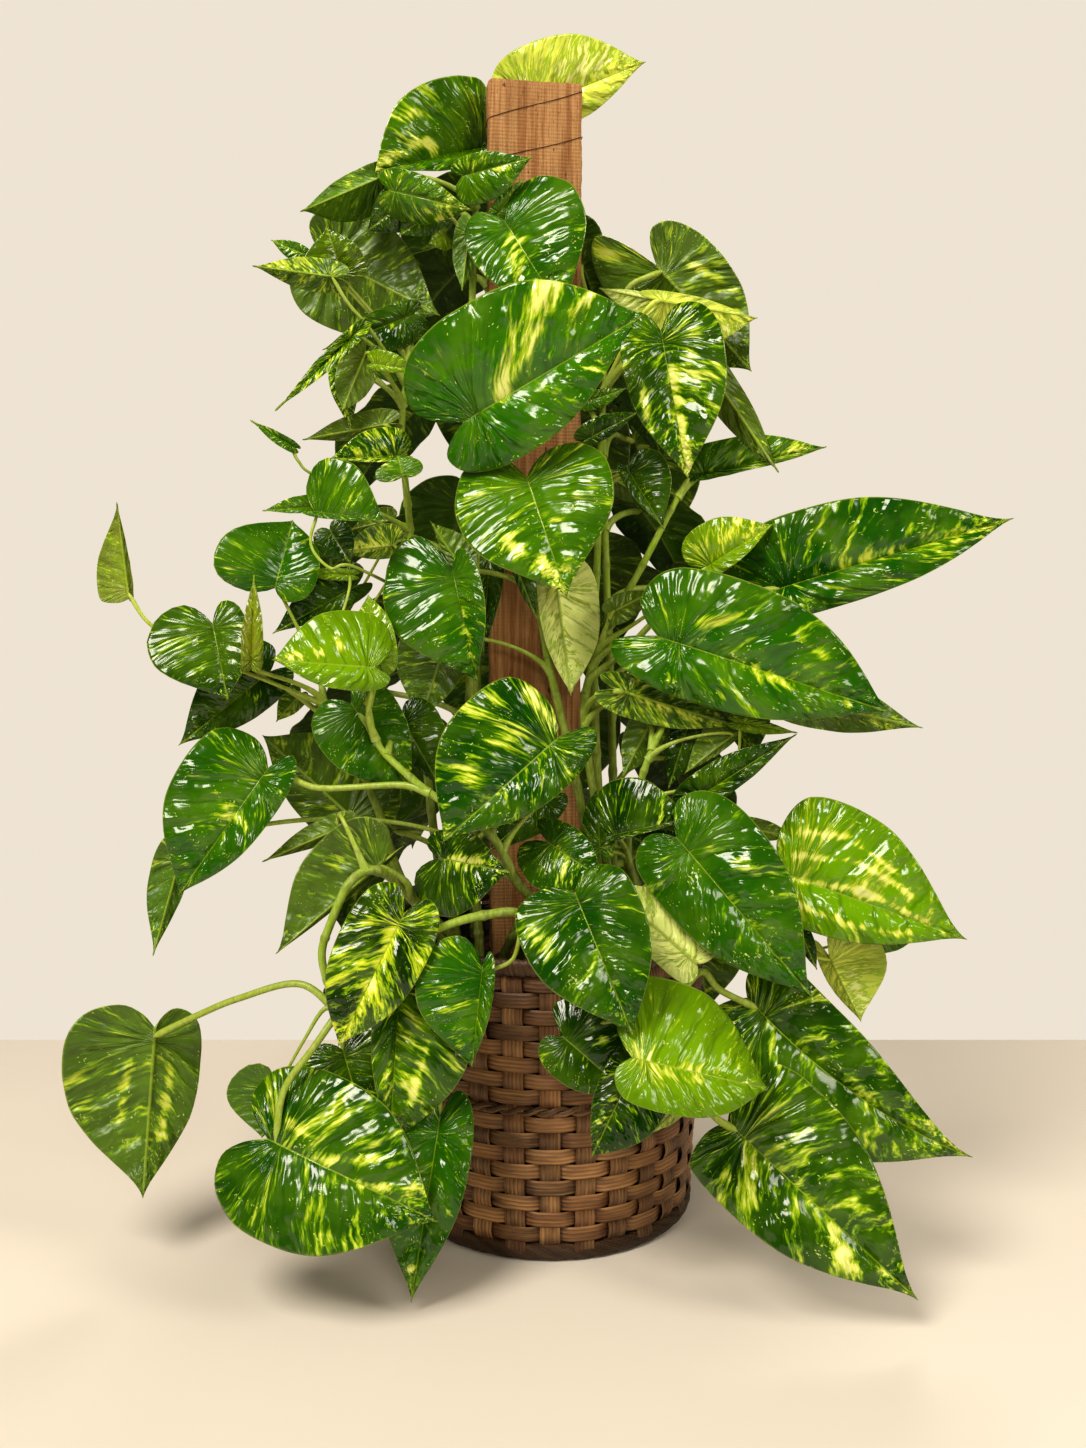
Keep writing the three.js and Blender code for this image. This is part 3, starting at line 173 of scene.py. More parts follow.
@dataclass
class MeshDraft:
    """Points, faces or lines, and point values gathered for one piece, in millimetres."""

    points: list[np.ndarray] = field(default_factory=list)
    faces: list[np.ndarray] = field(default_factory=list)
    values: dict[str, list[np.ndarray]] = field(default_factory=dict)
    count: int = 0

    def add(self, points: np.ndarray, faces: np.ndarray, **values: np.ndarray) -> "MeshDraft":
        """Adds a form.

        Args:
            points: One point a row.
            faces: Corner numbers, four a row; a triangle repeats a corner, and a line has two.
            **values: Named point values, one row for each point.

        Returns:
            The draft itself.
        """
        self.points.append(points)
        self.faces.append(faces + self.count)
        self.count += len(points)
        for name, rows in values.items():
            self.values.setdefault(name, []).append(rows)
        return self

    def mesh(self, name: str) -> Mesh:
        """Makes a mesh of the draft.

        Args:
            name: The mesh's name.

        Returns:
            The mesh, in metres, with its point values.
        """
        corners = np.vstack(self.faces)
        faces = [list(dict.fromkeys(row)) for row in corners.tolist()]
        mesh = bpy.data.meshes.new(name)
        points = (np.vstack(self.points) * MM).tolist()
        mesh.from_pydata(points, *((faces, []) if corners.shape[1] == 2 else ([], faces)))
        for label, rows in self.values.items():
            whole = np.concatenate(rows).astype(np.float32)
            kind, part = ("FLOAT", "value") if whole.ndim == 1 else ("FLOAT_VECTOR", "vector")
            mesh.attributes.new(label, kind, "POINT").data.foreach_set(part, whole.ravel())
        return mesh

    def finish(self, name: str, material: Material) -> Piece:
        """Turns the draft into an object with smooth faces.

        Args:
            name: The piece's name.
            material: Its finish.

        Returns:
            The new object, standing at the origin.
        """
        mesh = self.mesh(name)
        mesh.polygons.foreach_set("use_smooth", np.ones(len(mesh.polygons), bool))
        mesh.materials.append(material)
        mesh.validate()
        return link(bpy.data.objects.new(name, mesh))


def stack(first: Sequence[float], rings: Sequence[np.ndarray],
          last: Sequence[float]) -> tuple[np.ndarray, np.ndarray]:
    """Joins rings of points into a body that is closed by a point at each end.

    Args:
        first: The point at the first end.
        rings: Rings of equally many points, anticlockwise from outside the first end.
        last: The point at the other end.

    Returns:
        Points and faces; the faces point outwards where the first end is the upper one.
    """
    sides = len(rings[0])
    points = np.vstack((first, *rings, last))
    index = 1 + np.arange(len(rings) * sides).reshape(-1, sides)
    index = np.vstack((np.zeros((1, sides), int), index, np.full((1, sides), len(points) - 1)))
    after = np.roll(index, -1, axis=1)
    return points, np.stack((index[:-1], index[1:], after[1:], after[:-1]), -1).reshape(-1, 4)


def lathe(profile: Sequence[Sequence[float]], sides: int) -> tuple[np.ndarray, np.ndarray]:
    """Turns a closed profile about the Z axis.

    Args:
        profile: Radius and height of each corner, anticlockwise, from the axis and back to it.
        sides: Number of faces round the axis.

    Returns:
        Points and faces.
    """
    rings = np.asarray(profile, float)
    turn = np.linspace(0, TURN, sides, endpoint=False)
    hoops = [np.stack((radius * np.cos(turn), radius * np.sin(turn), 0 * turn + z), -1)
             for radius, z in rings[1:-1]]
    points, faces = stack((0, 0, rings[0, 1]), hoops, (0, 0, rings[-1, 1]))
    return points, np.roll(faces[:, ::-1], 1, axis=1)


# ---------------------------------------------------------------- node trees
class Term:
    """An output inside a node tree; a sum written on it adds the nodes for that sum."""

    def __init__(self, nodes: "Nodes", socket: bpy.types.NodeSocket) -> None:
        """Holds an output and the tree it belongs to."""
        self.nodes, self.socket = nodes, socket

    def __add__(self, other: Any) -> "Term":
        """Adds a number."""
        return self.nodes.math("ADD", self, other)

    def __sub__(self, other: Any) -> "Term":
        """Takes a number away."""
        return self.nodes.math("SUBTRACT", self, other)

    def __mul__(self, other: Any) -> "Term":
        """Multiplies by a number."""
        return self.nodes.math("MULTIPLY", self, other)

    def __truediv__(self, other: Any) -> "Term":
        """Divides by a number."""
        return self.nodes.math("DIVIDE", self, other)


class Nodes:
    """A node tree that is laid out here."""

    tree: bpy.types.NodeTree

    def feed(self, socket: bpy.types.NodeSocket, value: Any) -> None:
        """Links or sets one input.

        Args:
            socket: The input.
            value: A term, a constant, or None to leave the input alone.
        """
        if isinstance(value, Term):
            self.tree.links.new(value.socket, socket)
        elif value is not None:
            socket.default_value = value

    def node(self, kind: str, *inputs: Any, **settings: Any) -> bpy.types.Node:
        """Adds a node.

        Args:
            kind: Its Blender type.
            *inputs: Terms or constants for its first inputs, in order.
            **settings: Its properties, or terms or constants for inputs, spelt with underscores.

        Returns:
            The node.
        """
        made = self.tree.nodes.new(kind)
        for label in [label for label in settings if hasattr(made, label)]:
            setattr(made, label, settings.pop(label))
        for socket, value in zip(made.inputs, inputs):
            self.feed(socket, value)
        for label, value in settings.items():
            name = label.replace("_", " ")
            self.feed(next(s for s in made.inputs if s.enabled and s.name == name), value)
        return made

    def get(self, kind: str, *inputs: Any, **settings: Any) -> Term:
        """Adds a node and gives its first output that is in use."""
        made = self.node(kind, *inputs, **settings)
        return Term(self, next(s for s in made.outputs if s.enabled))

    def math(self, operation: str, *terms: Any) -> Term:
        """Does a sum on one, two or three numbers."""
        return self.get("ShaderNodeMath", *terms, operation=operation)

    def sin(self, angle: Term) -> Term:
        """Gives the sine of an angle."""
        return self.math("SINE", angle)

    def cos(self, angle: Term) -> Term:
        """Gives the cosine of an angle."""
        return self.math("COSINE", angle)

    def split(self, vector: Term) -> tuple[Term, ...]:
        """Takes a vector apart."""
        return tuple(Term(self, s) for s in self.node("ShaderNodeSeparateXYZ", vector).outputs)

    def join(self, x: Any, y: Any, z: Any = 0.0) -> Term:
        """Puts a vector together."""
        return self.get("ShaderNodeCombineXYZ", x, y, z)


class Finish(Nodes):
    """Lays out the nodes of one material round a principled shader."""

    def __init__(self, name: str, **settings: float) -> None:
        """Starts a material.

        Args:
            name: The material's name.
            **settings: Values for the shader's own sockets, spelt with underscores.
        """
        self.material = bpy.data.materials.new(name)
        self.material.use_nodes = True
        self.tree = self.material.node_tree
        self.shader = self.tree.nodes["Principled BSDF"]
        for label, value in settings.items():
            self.shader.inputs[label.replace("_", " ")].default_value = value

    def attribute(self, name: str, part: str = "Vector") -> Term:
        """Reads a point value of the piece: a Vector, or a number with Fac."""
        return Term(self, self.node("ShaderNodeAttribute", attribute_name=name).outputs[part])

    def place(self) -> Term:
        """Reads the place on the piece in its own metres."""
        return Term(self, self.node("ShaderNodeTexCoord").outputs["Object"])

    def stretch(self, vector: Term, scale: Point) -> Term:
        """Scales a place before a pattern reads it."""
        return self.get("ShaderNodeMapping", vector, Scale=scale)

    def noise(self, vector: Term, scale: float, detail: float = 3.0, rough: float = 0.55,
              bend: float = 0.0) -> Term:
        """Gives smooth noise about one half, in cells of which scale make a unit of the vector."""
        return self.get("ShaderNodeTexNoise", vector, Scale=scale, Detail=detail, Roughness=rough,
                        Distortion=bend)

    def ramp(self, value: Term, low: float, high: float, start: float = 0.0,
             end: float = 1.0) -> Term:
        """Maps a stretch of a value smoothly onto another stretch."""
        return self.get("ShaderNodeMapRange", value, low, high, start, end,
                        interpolation_type="SMOOTHSTEP")

    def mix(self, share: Term, under: Term | str, over: Term | str) -> Term:
        """Lays a share of one colour over another; a colour is a term or a code."""
        under, over = ((*srgb(c), 1.0) if isinstance(c, str) else c for c in (under, over))
        return self.get("ShaderNodeMix", data_type="RGBA", Factor=share, A=under, B=over)

    def done(self, colour: Term, rough: Any, height: Term | None = None, distance: float = 0.0,
             strength: float = 1.0) -> Material:
        """Connects colour, roughness and relief to the shader.

        Args:
            colour: The base colour.
            rough: The roughness.
            height: The relief's height, or none.
            distance: How far that height reaches, in metres.
            strength: How strongly it shows.

        Returns:
            The finished material.
        """
        self.feed(self.shader.inputs["Base Color"], colour)
        self.feed(self.shader.inputs["Roughness"], rough)
        if height is not None:
            self.feed(self.shader.inputs["Normal"], self.get(
                "ShaderNodeBump", Height=height, Distance=distance, Strength=strength))
        return self.material


class Rule(Nodes):
    """Lays out a tree of geometry nodes with named inputs, and applies it to a mesh."""

    KINDS = {float: "NodeSocketFloat", int: "NodeSocketInt", Material: "NodeSocketMaterial"}

    def __init__(self, name: str) -> None:
        """Starts a tree that takes and gives one geometry.

        Args:
            name: The tree's name.
        """
        self.tree = bpy.data.node_groups.new(name, "GeometryNodeTree")
        for way in ("INPUT", "OUTPUT"):
            self.tree.interface.new_socket("Geometry", in_out=way, socket_type="NodeSocketGeometry")
        self.ins = self.tree.nodes.new("NodeGroupInput")
        self.outs = self.tree.nodes.new("NodeGroupOutput")
        self.settings: dict[str, Any] = {}

    @property
    def given(self) -> Term:
        """Gives the geometry that the tree starts from."""
        return Term(self, self.ins.outputs[0])

    def sizes(self, named: dict[str, Any]) -> list[Term]:
        """Adds named inputs.

        Args:
            named: Numbers, whole numbers or materials by what they are called in the tree.

        Returns:
            What carries each of them inside the tree, in order.
        """
        terms = []
        for name, value in named.items():
            key = self.tree.interface.new_socket(
                name, in_out="INPUT", socket_type=self.KINDS[type(value)]).identifier
            self.settings[key] = value
            terms.append(Term(self, next(s for s in self.ins.outputs if s.identifier == key)))
        return terms

    def keep(self, geometry: Term, **values: Any) -> Term:
        """Stores named numbers on every point.

        Args:
            geometry: What they are stored on.
            **values: The numbers.

        Returns:
            The geometry that carries them.
        """
        for name, value in values.items():
            geometry = self.get("GeometryNodeStoreNamedAttribute", geometry, data_type="FLOAT",
                                domain="POINT", Name=name, Value=value)
        return geometry

    def kept(self, name: str) -> Term:
        """Reads a named number back."""
        return self.get("GeometryNodeInputNamedAttribute", data_type="FLOAT", Name=name)

    def spot(self) -> tuple[Term, ...]:
        """Reads the place of each point."""
        return self.split(self.get("GeometryNodeInputPosition"))

    def bearing(self) -> Term:
        """Reads the direction of each point from the axis."""
        x, y, _ = self.spot()
        return self.math("ARCTAN2", y, x)

    def seat(self, geometry: Term, x: Any, y: Any, z: Any) -> Term:
        """Moves every point to a place."""
        return self.get("GeometryNodeSetPosition", geometry, Position=self.join(x, y, z))

    def seat_round(self, geometry: Term, turn: Term, away: Term, z: Any) -> Term:
        """Moves every point to a direction from the axis, a distance from it and a height."""
        return self.seat(geometry, away * self.cos(turn), away * self.sin(turn), z)

    def circle(self, points: Any, radius: Any = 1.0) -> Term:
        """Draws a circle about the axis."""
        return self.get("GeometryNodeCurvePrimitiveCircle", Resolution=points, Radius=radius)

    def evenly(self, curve: Term, count: int) -> Term:
        """Sets evenly spaced points on a curve."""
        return self.get("GeometryNodeResampleCurve", Curve=curve, Count=count)

    def copies(self, points: Term, form: Term, **settings: Term) -> Term:
        """Sets real copies of a form on points."""
        return self.get("GeometryNodeRealizeInstances", self.get(
            "GeometryNodeInstanceOnPoints", points, Instance=form, **settings))

    def sweep(self, curve: Term, section: Term, scale: Any = 1.0) -> Term:
        """Sweeps a closed section along a curve and caps its ends."""
        return self.get("GeometryNodeCurveToMesh", curve, section, Scale=scale, Fill_Caps=True)

    def sweep_level(self, curve: Term, section: Term) -> Term:
        """Sweeps a closed section along a curve, upright all the way."""
        return self.sweep(self.get("GeometryNodeSetCurveNormal", curve, mode="Z_UP"), section)

    def apply(self, geometry: Term, name: str, material: Material,
              start: Mesh | None = None) -> Piece:
        """Ends the tree, runs it once and keeps the outcome as a plain mesh.

        Args:
            geometry: The last geometry of the tree.
            name: The piece's name.
            material: Its finish.
            start: The mesh that the tree starts from, or none.

        Returns:
            The finished object, with no modifier left.
        """
        finish, = self.sizes({"Material": material})
        whole = self.get("GeometryNodeRealizeInstances", geometry)
        painted = self.get("GeometryNodeSetMaterial", Geometry=whole, Material=finish)
        self.feed(self.outs.inputs[0], painted)
        source = start or bpy.data.meshes.new(name + "_start")
        holder = link(bpy.data.objects.new(name + "_start", source))
        modifier = holder.modifiers.new("rule", "NODES")
        modifier.node_group = self.tree
        for identifier, value in self.settings.items():
            modifier[identifier] = value
        shape = holder.evaluated_get(bpy.context.evaluated_depsgraph_get())
        mesh = bpy.data.meshes.new_from_object(shape)
        mesh.name = name
        holder.modifiers.remove(modifier)
        bpy.data.objects.remove(holder)
        mesh.polygons.foreach_set("use_smooth", np.ones(len(mesh.polygons), bool))
        return link(bpy.data.objects.new(name, mesh))


# ---------------------------------------------------------------- how leaves are described
class Tone(Enum):
    """How a leaf is coloured: its green, how much cream it carries and how yellow that is."""

    PLAIN = ("3a6900", 0.50, 0.7)
    GLOSS = ("285d00", 0.32, 0.6)
    # a leaf green darkened as painted shade, for leaves that lie in the shade of others
    DARK = ("163a00", 0.25, 0.7)
    MID = ("356300", 0.45, 0.7)
    LIME = ("759600", 0.60, 0.9)
    OLIVE = ("345000", 0.55, 0.9)
    GREY = ("495d04", 0.40, 0.5)
    YELLOW = ("1f4900", 0.85, 0.9)
    GIANT = ("2c6700", 0.28, 0.5)
    # pale and cream leaf colours, raised past the leaf's own colour to stand in for light shining
    # through it: partly painted glow
    PALE = ("f5ff98", 0.55, 0.3)
    CREAM = ("f2fb66", 0.70, 0.3)
    STREAK = ("234a00", 0.66, 0.6)
    BRIGHT = ("276000", 0.38, 0.8)
    SAIL = ("124f00", 0.45, 0.8)
    FRESH = ("7e861e", 0.45, 1.0)
    HEART = ("0a3000", 0.45, 0.7)
    LAMP = ("6f9700", 0.36, 0.7)
    BANNER = ("0e4600", 0.62, 0.7)
    FRESH_UNDER = ("375800", 0.50, 0.9)
    GOLD = ("142e00", 0.82, 1.0)
    CREASE = ("164900", 0.40, 0.4)
    CREAM_SAIL = ("6a9a00", 0.68, 0.7)

    @property
    def green(self) -> np.ndarray:
        """Gives the leaf's green in linear light."""
        return np.asarray(srgb(self.value[0]))

    @property
    def marble(self) -> float:
        """Gives how much cream the leaf carries, from 0 to 1."""
        return self.value[1]

    @property
    def gold(self) -> float:
        """Gives how yellow that cream is, from 0 to 1."""
        return self.value[2]


@dataclass(frozen=True)
class Half:
    """One half of a front leaf as the view shows it."""

    width: float  # how wide it looks, in points of the view
    fold: float  # how far it is folded up from the leaf's plane, in degrees
    belly: float = 0.0  # how far its widest part slides towards the tip
    lobe: float = 0.16  # how far its lobe reaches behind the stalk, as a share of the length


@dataclass(frozen=True)
class Leaf:
    """A front leaf, placed by points of the view and a depth in millimetres."""

    name: str
    at: Point  # where its stalk joins the blade
    tip: Point
    left: Half  # the half on the left when the tip points down
    right: Half
    tone: Tone = Tone.PLAIN
    face: int = 1  # 1 if its glossy face is turned to the view, -1 if its underside is
    bow: float = 0.0  # how far its rib bows sideways, in points of the view
    via: tuple[Point, ...] = ()  # where its stalk passes on the way from the stem


@dataclass(frozen=True)
class RearLeaf:
    """A leaf behind the board, which points outwards and down."""

    bearing: float  # its direction round the pot, in degrees
    height: float  # how high its stalk joins, in millimetres
    reach: float  # how far from the middle that is
    length: float  # from there to the tip
    droop: float  # how steeply it hangs, in degrees
    tone: Tone = Tone.PLAIN
    via: tuple[Point, ...] = ()  # where its stalk passes on the way from the stem


@dataclass(frozen=True)
class Vine:
    """A leafy stem of the plant."""

    name: str  # the node of the frame that it stands in for
    root: tuple[float, float]  # where it leaves the soil, in millimetres
    route: tuple[Point, ...] = ()  # where it climbs, in points of the view with a depth
    path: tuple[Point, ...] = ()  # where a rear stem climbs, in millimetres
    leaves: tuple[Leaf, ...] = ()  # its front leaves


@dataclass(frozen=True)
class Stroke:
    """A pale streak on a leaf, along points of the view."""

    width: float  # in points of the view
    spots: tuple[tuple[float, float], ...]  # where it runs
    force: float = 1.0  # how solid it is, about 1


# ---------------------------------------------------------------- where leaves stand
@dataclass(frozen=True)
class FrontView:
    """The view from the front in which the front leaves are drawn: a pinhole in millimetres."""

    x: float = -5.8
    y: float = -1108.0
    z: float = 528.0
    pitch: float = 5.0  # how far it looks down, in degrees
    focal: float = 1250.0  # its focal length, in points of the view
    mid_across: float = 543.0  # the middle of the view, in its points
    mid_down: float = 724.0

    @property
    def eye(self) -> np.ndarray:
        """Gives the pinhole's place."""
        return np.array((self.x, self.y, self.z))

    def place(self, spot: Point, shift: float = 0.0) -> np.ndarray:
        """Finds the place that the view shows at a point.

        Args:
            spot: Points across and down, and the depth behind the plane of the board.
            shift: How much further back the place lies.

        Returns:
            The place in millimetres.
        """
        across, down, depth = spot
        tilt = math.radians(self.pitch)
        right = (across - self.mid_across) / self.focal
        rise = (self.mid_down - down) / self.focal
        sight = np.array((right, math.cos(tilt) + math.sin(tilt) * rise,
                          math.cos(tilt) * rise - math.sin(tilt)))
        return self.eye + sight * ((depth + shift - self.y) / sight[1])

    def project(self, places: np.ndarray) -> np.ndarray:
        """Finds the points at which the view shows some places.

        Args:
            places: The places, in millimetres.

        Returns:
            Points across and down the view.
        """
        tilt = math.radians(self.pitch)
        away = places - self.eye
        deep = away[..., 1] * math.cos(tilt) - away[..., 2] * math.sin(tilt)
        rise = away[..., 1] * math.sin(tilt) + away[..., 2] * math.cos(tilt)
        return np.stack((self.mid_across + self.focal * away[..., 0] / deep,
                         self.mid_down - self.focal * rise / deep), axis=-1)


VIEW = FrontView()


@dataclass(frozen=True)
class Side:
    """One half of a blade: its width in millimetres, fold in radians, belly and lobe."""

    width: float
    turn: float
    belly: float
    lobe: float


@dataclass(frozen=True)
class BladeFrame:
    """Where a blade stands and how it is bent."""

    sinus: np.ndarray  # where the stalk joins
    tip: np.ndarray
    along: np.ndarray  # from the one to the other
    length: float
    left: np.ndarray
    upper: np.ndarray
    halves: tuple[Side, Side]
    bow: float = 0.0  # how far the rib bows sideways, in millimetres
    arch: float = 0.07  # how far it arches up, as a share of the length
    curl: float = 0.10  # how far the edge curls down, as a share of the width

    def at(self, side: np.ndarray, across: np.ndarray, down: np.ndarray) -> np.ndarray:
        """Finds points of the blade.

        Args:
            side: 1 on the left half and -1 on the right.
            across: 0 at the rib and 1 at the widest part of the edge.
            down: 0 at the stalk and 1 at the tip.

        Returns:
            The points, in millimetres.
        """
        pick = side > 0
        width = np.where(pick, self.halves[0].width, self.halves[1].width)
        turn = np.where(pick, self.halves[0].turn, self.halves[1].turn)
        hump = 4 * down * (1 - down)
        sideways = self.bow * np.maximum(hump, 0) + side * across * width * np.cos(turn)
        rise = self.arch * self.length * hump + across * width * (np.sin(turn) - self.curl * across)
        return (self.sinus + self.along * (self.length * down)[..., None]
                + self.left * sideways[..., None] + self.upper * rise[..., None])


@dataclass(frozen=True)
class RearShape:
    """How every rear blade is proportioned."""

    half_width: float = 0.42  # as a share of the length
    fold: float = 12.0  # in degrees
    belly: float = 0.1
    lobe: float = 0.16


def front_frame(leaf: Leaf, shift: float) -> BladeFrame:
    """Stands a front leaf so that the view shows it as it is described.

    Args:
        leaf: The leaf.
        shift: How much further back it lies than described.

    Returns:
        Where the blade stands.
    """
    sinus = VIEW.place(leaf.at, shift)
    tip = VIEW.place(leaf.tip, shift)
    length = float(np.linalg.norm(tip - sinus))
    along = (tip - sinus) / length
    sight = VIEW.eye - (sinus + tip) / 2
    scale = float(np.linalg.norm(sight)) / VIEW.focal
    left = unit(np.cross(sight, along))
    sides = tuple(Side(half.width * scale / math.cos(math.radians(half.fold)),
                       math.radians(half.fold), half.belly, half.lobe)
                  for half in (leaf.left, leaf.right))
    upper = np.cross(along, left) * leaf.face
    return BladeFrame(sinus, tip, along, length, left, upper, sides, leaf.bow * scale)


def rear_frame(leaf: RearLeaf, shift: float) -> BladeFrame:
    """Stands a rear leaf so that it points outwards and down.

    Args:
        leaf: The leaf.
        shift: How much further out it lies than described.

    Returns:
        Where the blade stands.
    """
    shape = RearShape()
    bearing = math.radians(leaf.bearing)
    droop = math.radians(leaf.droop)
    out = np.array((math.cos(bearing), math.sin(bearing), 0.0))
    sinus = out * (leaf.reach + shift) + UP * leaf.height
    along = out * math.cos(droop) - UP * math.sin(droop)
    left = np.cross(UP, out)
    side = Side(leaf.length * shape.half_width, math.radians(shape.fold), shape.belly, shape.lobe)
    return BladeFrame(sinus, sinus + along * leaf.length, along, leaf.length, left,
                      np.cross(along, left), (side, side))


# ---------------------------------------------------------------- stems and stalks
@dataclass(frozen=True)
class StemRule:
    """How the frame's stems and leaf stalks grow, in millimetres."""

    buried: float = 196.0  # height of a stem's lower end, in the soil
    collar: float = 238.0  # height at which it leaves the pot
    root_sink: float = 0.05  # where on the blade a stalk ends, as a share of the length
    blade: float = 1.0  # thickness of a blade
    base: float = 2.9  # radius of a stalk at the stem
    end: float = 2.0  # radius of it at the blade
    short_reach: float = 75.0  # longest stalk that has two steps, not three
    grid: float = 0.25  # step between the spots tried on a stem, in spans between its points
    lowest: float = 1.5  # first such spot
    below: float = 25.0  # how far below the blade its stalk should start
    outward: float = 0.5  # how a stalk leaves the stem: outwards and upwards
    upward: float = 0.8
    leave: float = 0.35  # how far it keeps that way, as a share of its reach
    along: float = 0.12  # how far it meets the blade along it, as such a share
    under: float = 0.24  # and from below

    def stem(self, vine: Vine) -> np.ndarray:
        """Lists the points that a stem passes.

        Args:
            vine: The stem.

        Returns:
            Its points in millimetres, from the soil up.
        """
        x, y = vine.root
        climb = vine.path or tuple(VIEW.place(spot) for spot in vine.route)
        return np.vstack(((x, y, self.buried), (x, y, self.collar), *climb))

    def spot(self, path: np.ndarray, target: np.ndarray) -> float:
        """Finds where on a stem the stalk of a leaf starts, a little below it.

        Args:
            path: The points of the stem.
            target: Where the leaf is.

        Returns:
            The number of the point before, with the share of the way to the next.
        """
        spots = np.arange(self.lowest, len(path) - 1.05 + 1e-9, self.grid)
        left = np.minimum(spots.astype(int), len(path) - 2)
        places = path[left] + (path[left + 1] - path[left]) * (spots - left)[:, None]
        cost = np.linalg.norm(places - target, axis=1)
        cost += 1.5 * np.maximum(0, places[:, 2] - target[2] + self.below)
        return float(spots[int(np.argmin(cost))])

    def stalk(self, frame: BladeFrame, path: np.ndarray, via: Sequence[np.ndarray],
              bend: Point) -> "Stalk":
        """Plans the stalk of a leaf.

        Args:
            frame: Where the blade stands.
            path: The points of the stem.
            via: Places that the stalk passes, or none.
            bend: How far it swings out along the leaf's left, towards its upper face and upwards.

        Returns:
            The stalk.
        """
        one = np.ones(())
        end = frame.at(one, 0 * one, self.root_sink * one) + frame.upper * self.blade / 2
        bent = frame.left * bend[0] + frame.upper * bend[1] + UP * bend[2]
        stops = [stop + bent * 0.5 for stop in via]
        spot = self.spot(path, stops[0] if stops else frame.sinus)
        base = min(int(spot), len(path) - 2)
        start = path[base] + (path[base + 1] - path[base]) * (spot - base)
        reach = float(np.linalg.norm(end - start))
        outward = unit((end - start) * np.array((1, 1, 0)))
        leave = unit(outward * self.outward + UP * self.upward)
        first = start + leave * self.leave * reach + bent
        second = (end - frame.along * self.along * reach - frame.upper * self.under * reach
                  + bent * 0.6)
        return Stalk(spot, start, first, second, end, tuple(stops))


@dataclass(frozen=True)
class Stalk:
    """The course of a leaf stalk: a smooth bend, or a run through some stops."""

    spot: float  # where on the stem it starts
    start: np.ndarray
    first: np.ndarray  # what the bend heads for as it leaves
    second: np.ndarray  # what it comes from as it arrives
    end: np.ndarray
    stops: tuple[np.ndarray, ...]

    def bezier(self, count: int, start: np.ndarray) -> np.ndarray:
        """Draws the smooth bend.

        Args:
            count: How many points to draw.
            start: Where the bend starts.

        Returns:
            The points, in millimetres.
        """
        t = np.linspace(0, 1, count)[:, None]
        first = self.first + start - self.start
        return (start * (1 - t) ** 3 + first * 3 * t * (1 - t) ** 2
                + self.second * 3 * t**2 * (1 - t) + self.end * t**3)

    def course(self, start: np.ndarray) -> np.ndarray:
        """Draws the whole stalk finely.

        Args:
            start: Where it leaves the fine stem.

        Returns:
            Its points, in millimetres.
        """
        rough = np.vstack((start, *self.stops, self.end)) if self.stops else self.bezier(9, start)
        count = max(8, int(steps_along(rough).sum() / 5))
        return spline(rough, count) if self.stops else self.bezier(count, start)

    def corners(self, rule: StemRule) -> tuple[list[np.ndarray], list[float]]:
        """Finds the rings that the frame's stalk would have between its ends.

        Args:
            rule: How stalks grow.

        Returns:
            The middles and the radii of the rings.
        """
        reach = float(np.linalg.norm(self.end - self.start))
        steps = 2 if reach < rule.short_reach else 3
        rough = (list(self.stops) if self.stops
                 else list(self.bezier(steps + 1, self.start)[1:-1]))
        total = len(rough) + 1
        radii = [rule.base + (rule.end - rule.base) * (i + 1) / total for i in range(len(rough))]
        return rough, radii


class FrameLeaves:
    """Looks up in the frame's own leafy stems where each leaf came to stand."""

    # The shifts and bends that the frame's leaves and stalks may have, in the order it tries them.
    SHIFTS = (0, 5, -5, 10, 15, -10, 20, 26, -16, 32, 38, 46, -24, 54, 64, 76, -34, 90)
    BENDS = ((0, 0, 0), (0, -18, 0), (16, -8, 0), (-16, -8, 0), (0, -8, 20), (0, 16, 0),
             (0, -8, -20), (0, -36, 0), (34, -16, 0), (-34, -16, 0), (0, -20, 40), (0, 34, 0))
    CLOSE = 0.08  # how near a corner of the frame must be to count, in millimetres
    CORNERS = 3  # corners that a ring of a stalk is compared with
    FARTHEST = 4.0  # largest miss that one of them counts for, in millimetres

    def __init__(self, nodes: dict[str, Any], names: Sequence[str]) -> None:
        """Gathers the corners of the leafy stems.

        Args:
            nodes: The frame's objects by name.
            names: The names of the leafy stems.
        """
        corners: list[Vector] = []
        self.owners: list[str] = []
        for name in names:
            mesh = nodes[name].data
            corners.extend(vertex.co / MM for vertex in mesh.vertices)
            self.owners.extend([name] * len(mesh.vertices))
        self.tree = KDTree(len(corners))
        for index, corner in enumerate(corners):
            self.tree.insert(corner, index)
        self.tree.balance()

    def settle(self, stand: Any, leaf: Leaf | RearLeaf) -> tuple[str, float, BladeFrame] | None:
        """Finds the stem and the shift at which the frame holds a leaf.

        Args:
            stand: The rule that stands the leaf at a shift.
            leaf: The leaf.

        Returns:
            The stem's name, the shift and the blade, or nothing if the frame doesn't hold the leaf.
        """
        for shift in self.SHIFTS:
            frame = stand(leaf, float(shift))
            _, index, away = self.tree.find(Vector(frame.tip))
            if away < self.CLOSE:
                return self.owners[index], float(shift), frame
        return None

    def bend(self, rule: StemRule, frame: BladeFrame, path: np.ndarray,
             via: Sequence[np.ndarray]) -> Stalk:
        """Finds the bend that the frame gave a stalk.

        Args:
            rule: How stalks grow.
            frame: Where the blade stands.
            path: The points of the stem.
            via: Places that the stalk passes, or none.

        Returns:
            The stalk whose rings lie nearest to corners of the frame.
        """
        def misfit(stalk: Stalk) -> float:
            """Adds up how far the nearest corners lie from the stalk's rings."""
            return sum(min(abs(away - radius), self.FARTHEST)
                       for middle, radius in zip(*stalk.corners(rule))
                       for _, _, away in self.tree.find_n(Vector(middle), self.CORNERS))

        return min((rule.stalk(frame, path, via, bend) for bend in self.BENDS), key=misfit)


